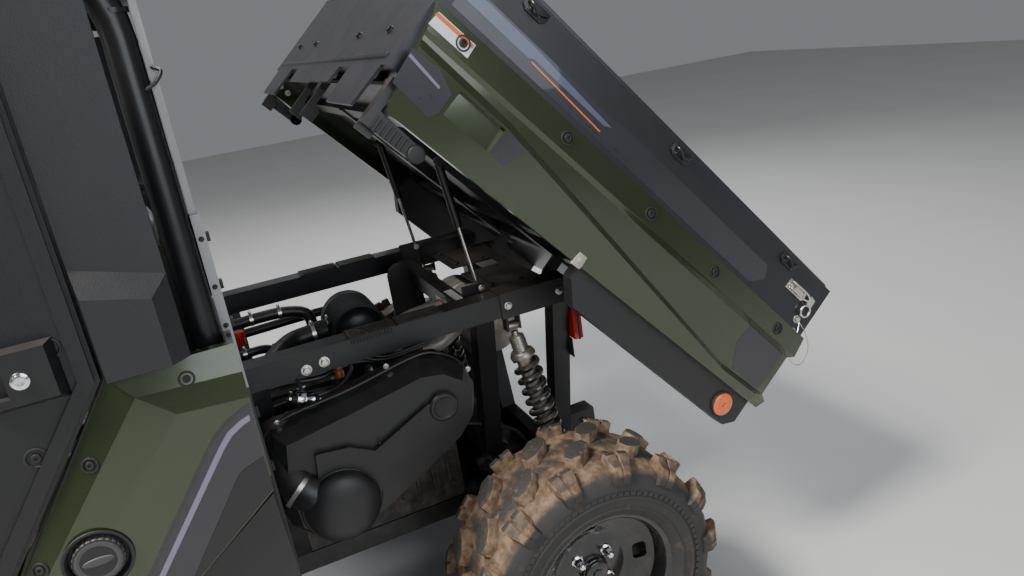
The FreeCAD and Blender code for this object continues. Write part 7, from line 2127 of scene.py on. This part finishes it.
@dataclass
class RearFittings(Group):
    """Tail lamp lenses and rims, hitch pin and the struts' feet at the back."""

    def build(self) -> Iterable[bpy.types.Object]:
        """Make the rear pieces.

        Returns:
            The pieces.
        """
        at = self.at
        lens = Form()
        frame = Form()
        for s in (1, -1):
            for k in range(7):
                z = 0.7685 + 0.0125 * k
                self.vehicle.block(lens, s, (0.296, 0.354), (0.2245, 0.2262), (z, z + 0.0085))
            frame.loft([[at(s * x, y, z) for x, z in self._rim(0.0028)] for y in (0.2120, 0.2170)])
            self.vehicle.block(frame, s, (0.310, 0.340), (0.1995, 0.2015), (0.700, 0.758))
        yield self.finish(lens, "tail_lens_ribs", "chassis", "red_lens", 0.0006)
        yield self.finish(frame, "tail_lamp_rims", "chassis", "soft_grip", 0.0008)
        pin = Form()
        pin.lathe(at(-0.046, 0.350, 0.315), (1, 0, 0), [(0, 0), (0, 0.0074), (0.090, 0.0074), (0.092, 0.0060),
                                                        (0.092, 0)], 20)
        pin.tube(smooth_path([at(-0.044, 0.350, 0.315), at(-0.056, 0.350, 0.313), at(-0.062, 0.350, 0.300),
                              at(-0.062, 0.350, 0.280)], 5), 0.0055, 10)
        clip = [at(0.039, 0.350, 0.324), at(0.040, 0.352, 0.305), at(0.041, 0.362, 0.296), at(0.041, 0.372, 0.305),
                at(0.041, 0.362, 0.320)]
        pin.tube(smooth_path(clip, 6), 0.0016, 8)
        yield self.finish(pin, "hitch_pin", "chassis", "bright_zinc")
        ends = Form()
        for s in (1, -1):
            foot = at(s * 0.270, -0.020, 0.955)
            ends.lathe(foot - Vector((0.0095, 0, 0)), (1, 0, 0), rod(0, 0.0062, 0.019), 16)
        yield self.finish(ends, "strut_feet", "chassis", "bright_zinc")

    @staticmethod
    def _rim(grow: float) -> list[Pair]:
        """Outline round a tail lamp as (across, height) corners."""
        return [(0.290 - grow, 0.760 - grow), (0.360 + grow * 0.1, 0.760 - grow), (0.360 + grow * 0.1, 0.860 + grow),
                (0.290 - grow, 0.860 + grow)]


@dataclass
class Studio(Group):
    """Floor, lights and the camera at the photograph's angle."""

    eye: tuple[float, float, float] = (2.113, -0.658, 1.597)
    yaw: float = 21.7
    pitch: float = 18.8
    roll: float = -8.8
    focal_pixels: float = 777.0
    frame_pixels: float = 1024.0
    sensor: float = 36.0
    floor_reach: float = 14.0
    room_light: float = 0.24

    def build(self) -> None:
        """Place the floor, the lights and the camera."""
        self._floor()
        self._lights()
        self._camera()

    def _floor(self) -> None:
        """A wide pale floor."""
        data = bpy.data.meshes.new("studio_floor")
        reach = self.floor_reach
        data.from_pydata([(-reach, -reach, 0), (reach, -reach, 0), (reach, reach, 0), (-reach, reach, 0)], [],
                         [(0, 1, 2, 3)])
        graph = Graph("pale_floor")
        tone = graph.mix(graph.noise(1.3, 4.0), (0.52, 0.52, 0.515), (0.60, 0.60, 0.59))
        data.materials.append(graph.surface(Base_Color=tone, Roughness=0.75))
        floor = bpy.data.objects.new("studio_floor", data)
        bpy.context.scene.collection.objects.link(floor)

    def _lights(self) -> None:
        """A large key from high on the left, a fill from the front and a rim from behind."""
        aims = (
            ("key", (1.6, -2.6, 5.6), 1.3, 560.0, (1.0, 0.965, 0.90)),
            ("fill", (5.2, 1.6, 2.6), 3.4, 110.0, (0.86, 0.92, 1.0)),
            ("rim", (-3.8, 2.6, 4.2), 2.4, 170.0, (0.95, 0.97, 1.0)),
            ("front", (0.6, -5.4, 3.2), 3.0, 70.0, (1.0, 1.0, 1.0)),
        )
        for name, place, width, power, colour in aims:
            lamp = bpy.data.lights.new(f"{name}_light", "AREA")
            lamp.shape = "SQUARE"
            lamp.size = width
            lamp.energy = power
            lamp.color = colour
            holder = bpy.data.objects.new(f"{name}_light", lamp)
            holder.location = place
            look = self.at(0.3, -0.3, 0.8) - Vector(place)
            holder.rotation_euler = look.to_track_quat("-Z", "Y").to_euler()
            bpy.context.scene.collection.objects.link(holder)
        world = bpy.data.worlds.new("soft_room")
        world.use_nodes = True
        sky = world.node_tree.nodes["Background"].inputs
        sky["Color"].default_value = (0.80, 0.84, 0.90, 1.0)
        sky["Strength"].default_value = self.room_light
        bpy.context.scene.world = world

    def _camera(self) -> None:
        """A camera from ahead of the rear wheel, looking down at the open engine bay."""
        yaw, pitch, roll = (math.radians(angle) for angle in (self.yaw, self.pitch, self.roll))
        look = Vector((-math.cos(yaw) * math.cos(pitch), math.sin(yaw) * math.cos(pitch), -math.sin(pitch)))
        right = look.cross(Vector((0, 0, 1))).normalized()
        up = right.cross(look)
        turned_right = right * math.cos(roll) + up * math.sin(roll)
        turned_up = up * math.cos(roll) - right * math.sin(roll)
        data = bpy.data.cameras.new("main_camera")
        data.sensor_width = self.sensor
        data.lens = self.sensor * self.focal_pixels / self.frame_pixels
        data.clip_end = 60.0
        camera = bpy.data.objects.new("main_camera", data)
        turn = Matrix((turned_right, turned_up, -look)).transposed()
        camera.matrix_world = Matrix.Translation(self.at(*self.eye)) @ turn.to_4x4()
        bpy.context.scene.collection.objects.link(camera)
        bpy.context.scene.camera = camera


def main() -> None:
    """Dress the frame, piece by piece, and light it."""
    logging.basicConfig(level=logging.INFO, format="%(message)s")
    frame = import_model()
    vehicle = Vehicle(frame)
    for node, finish in NODE_FINISHES.items():
        vehicle.palette.coat(vehicle.nodes[node], finish)
    kinds = (Tyres, Wheels, CabFrame, Springs, HandWheel, DumpBed, CabSide, EngineBay, Seats, Nose, RearFittings)
    for kind in kinds:
        for piece in kind(vehicle).build():
            LOG.info("built %s", piece.name)
    Studio(vehicle).build()


if __name__ == "__main__":
    main()
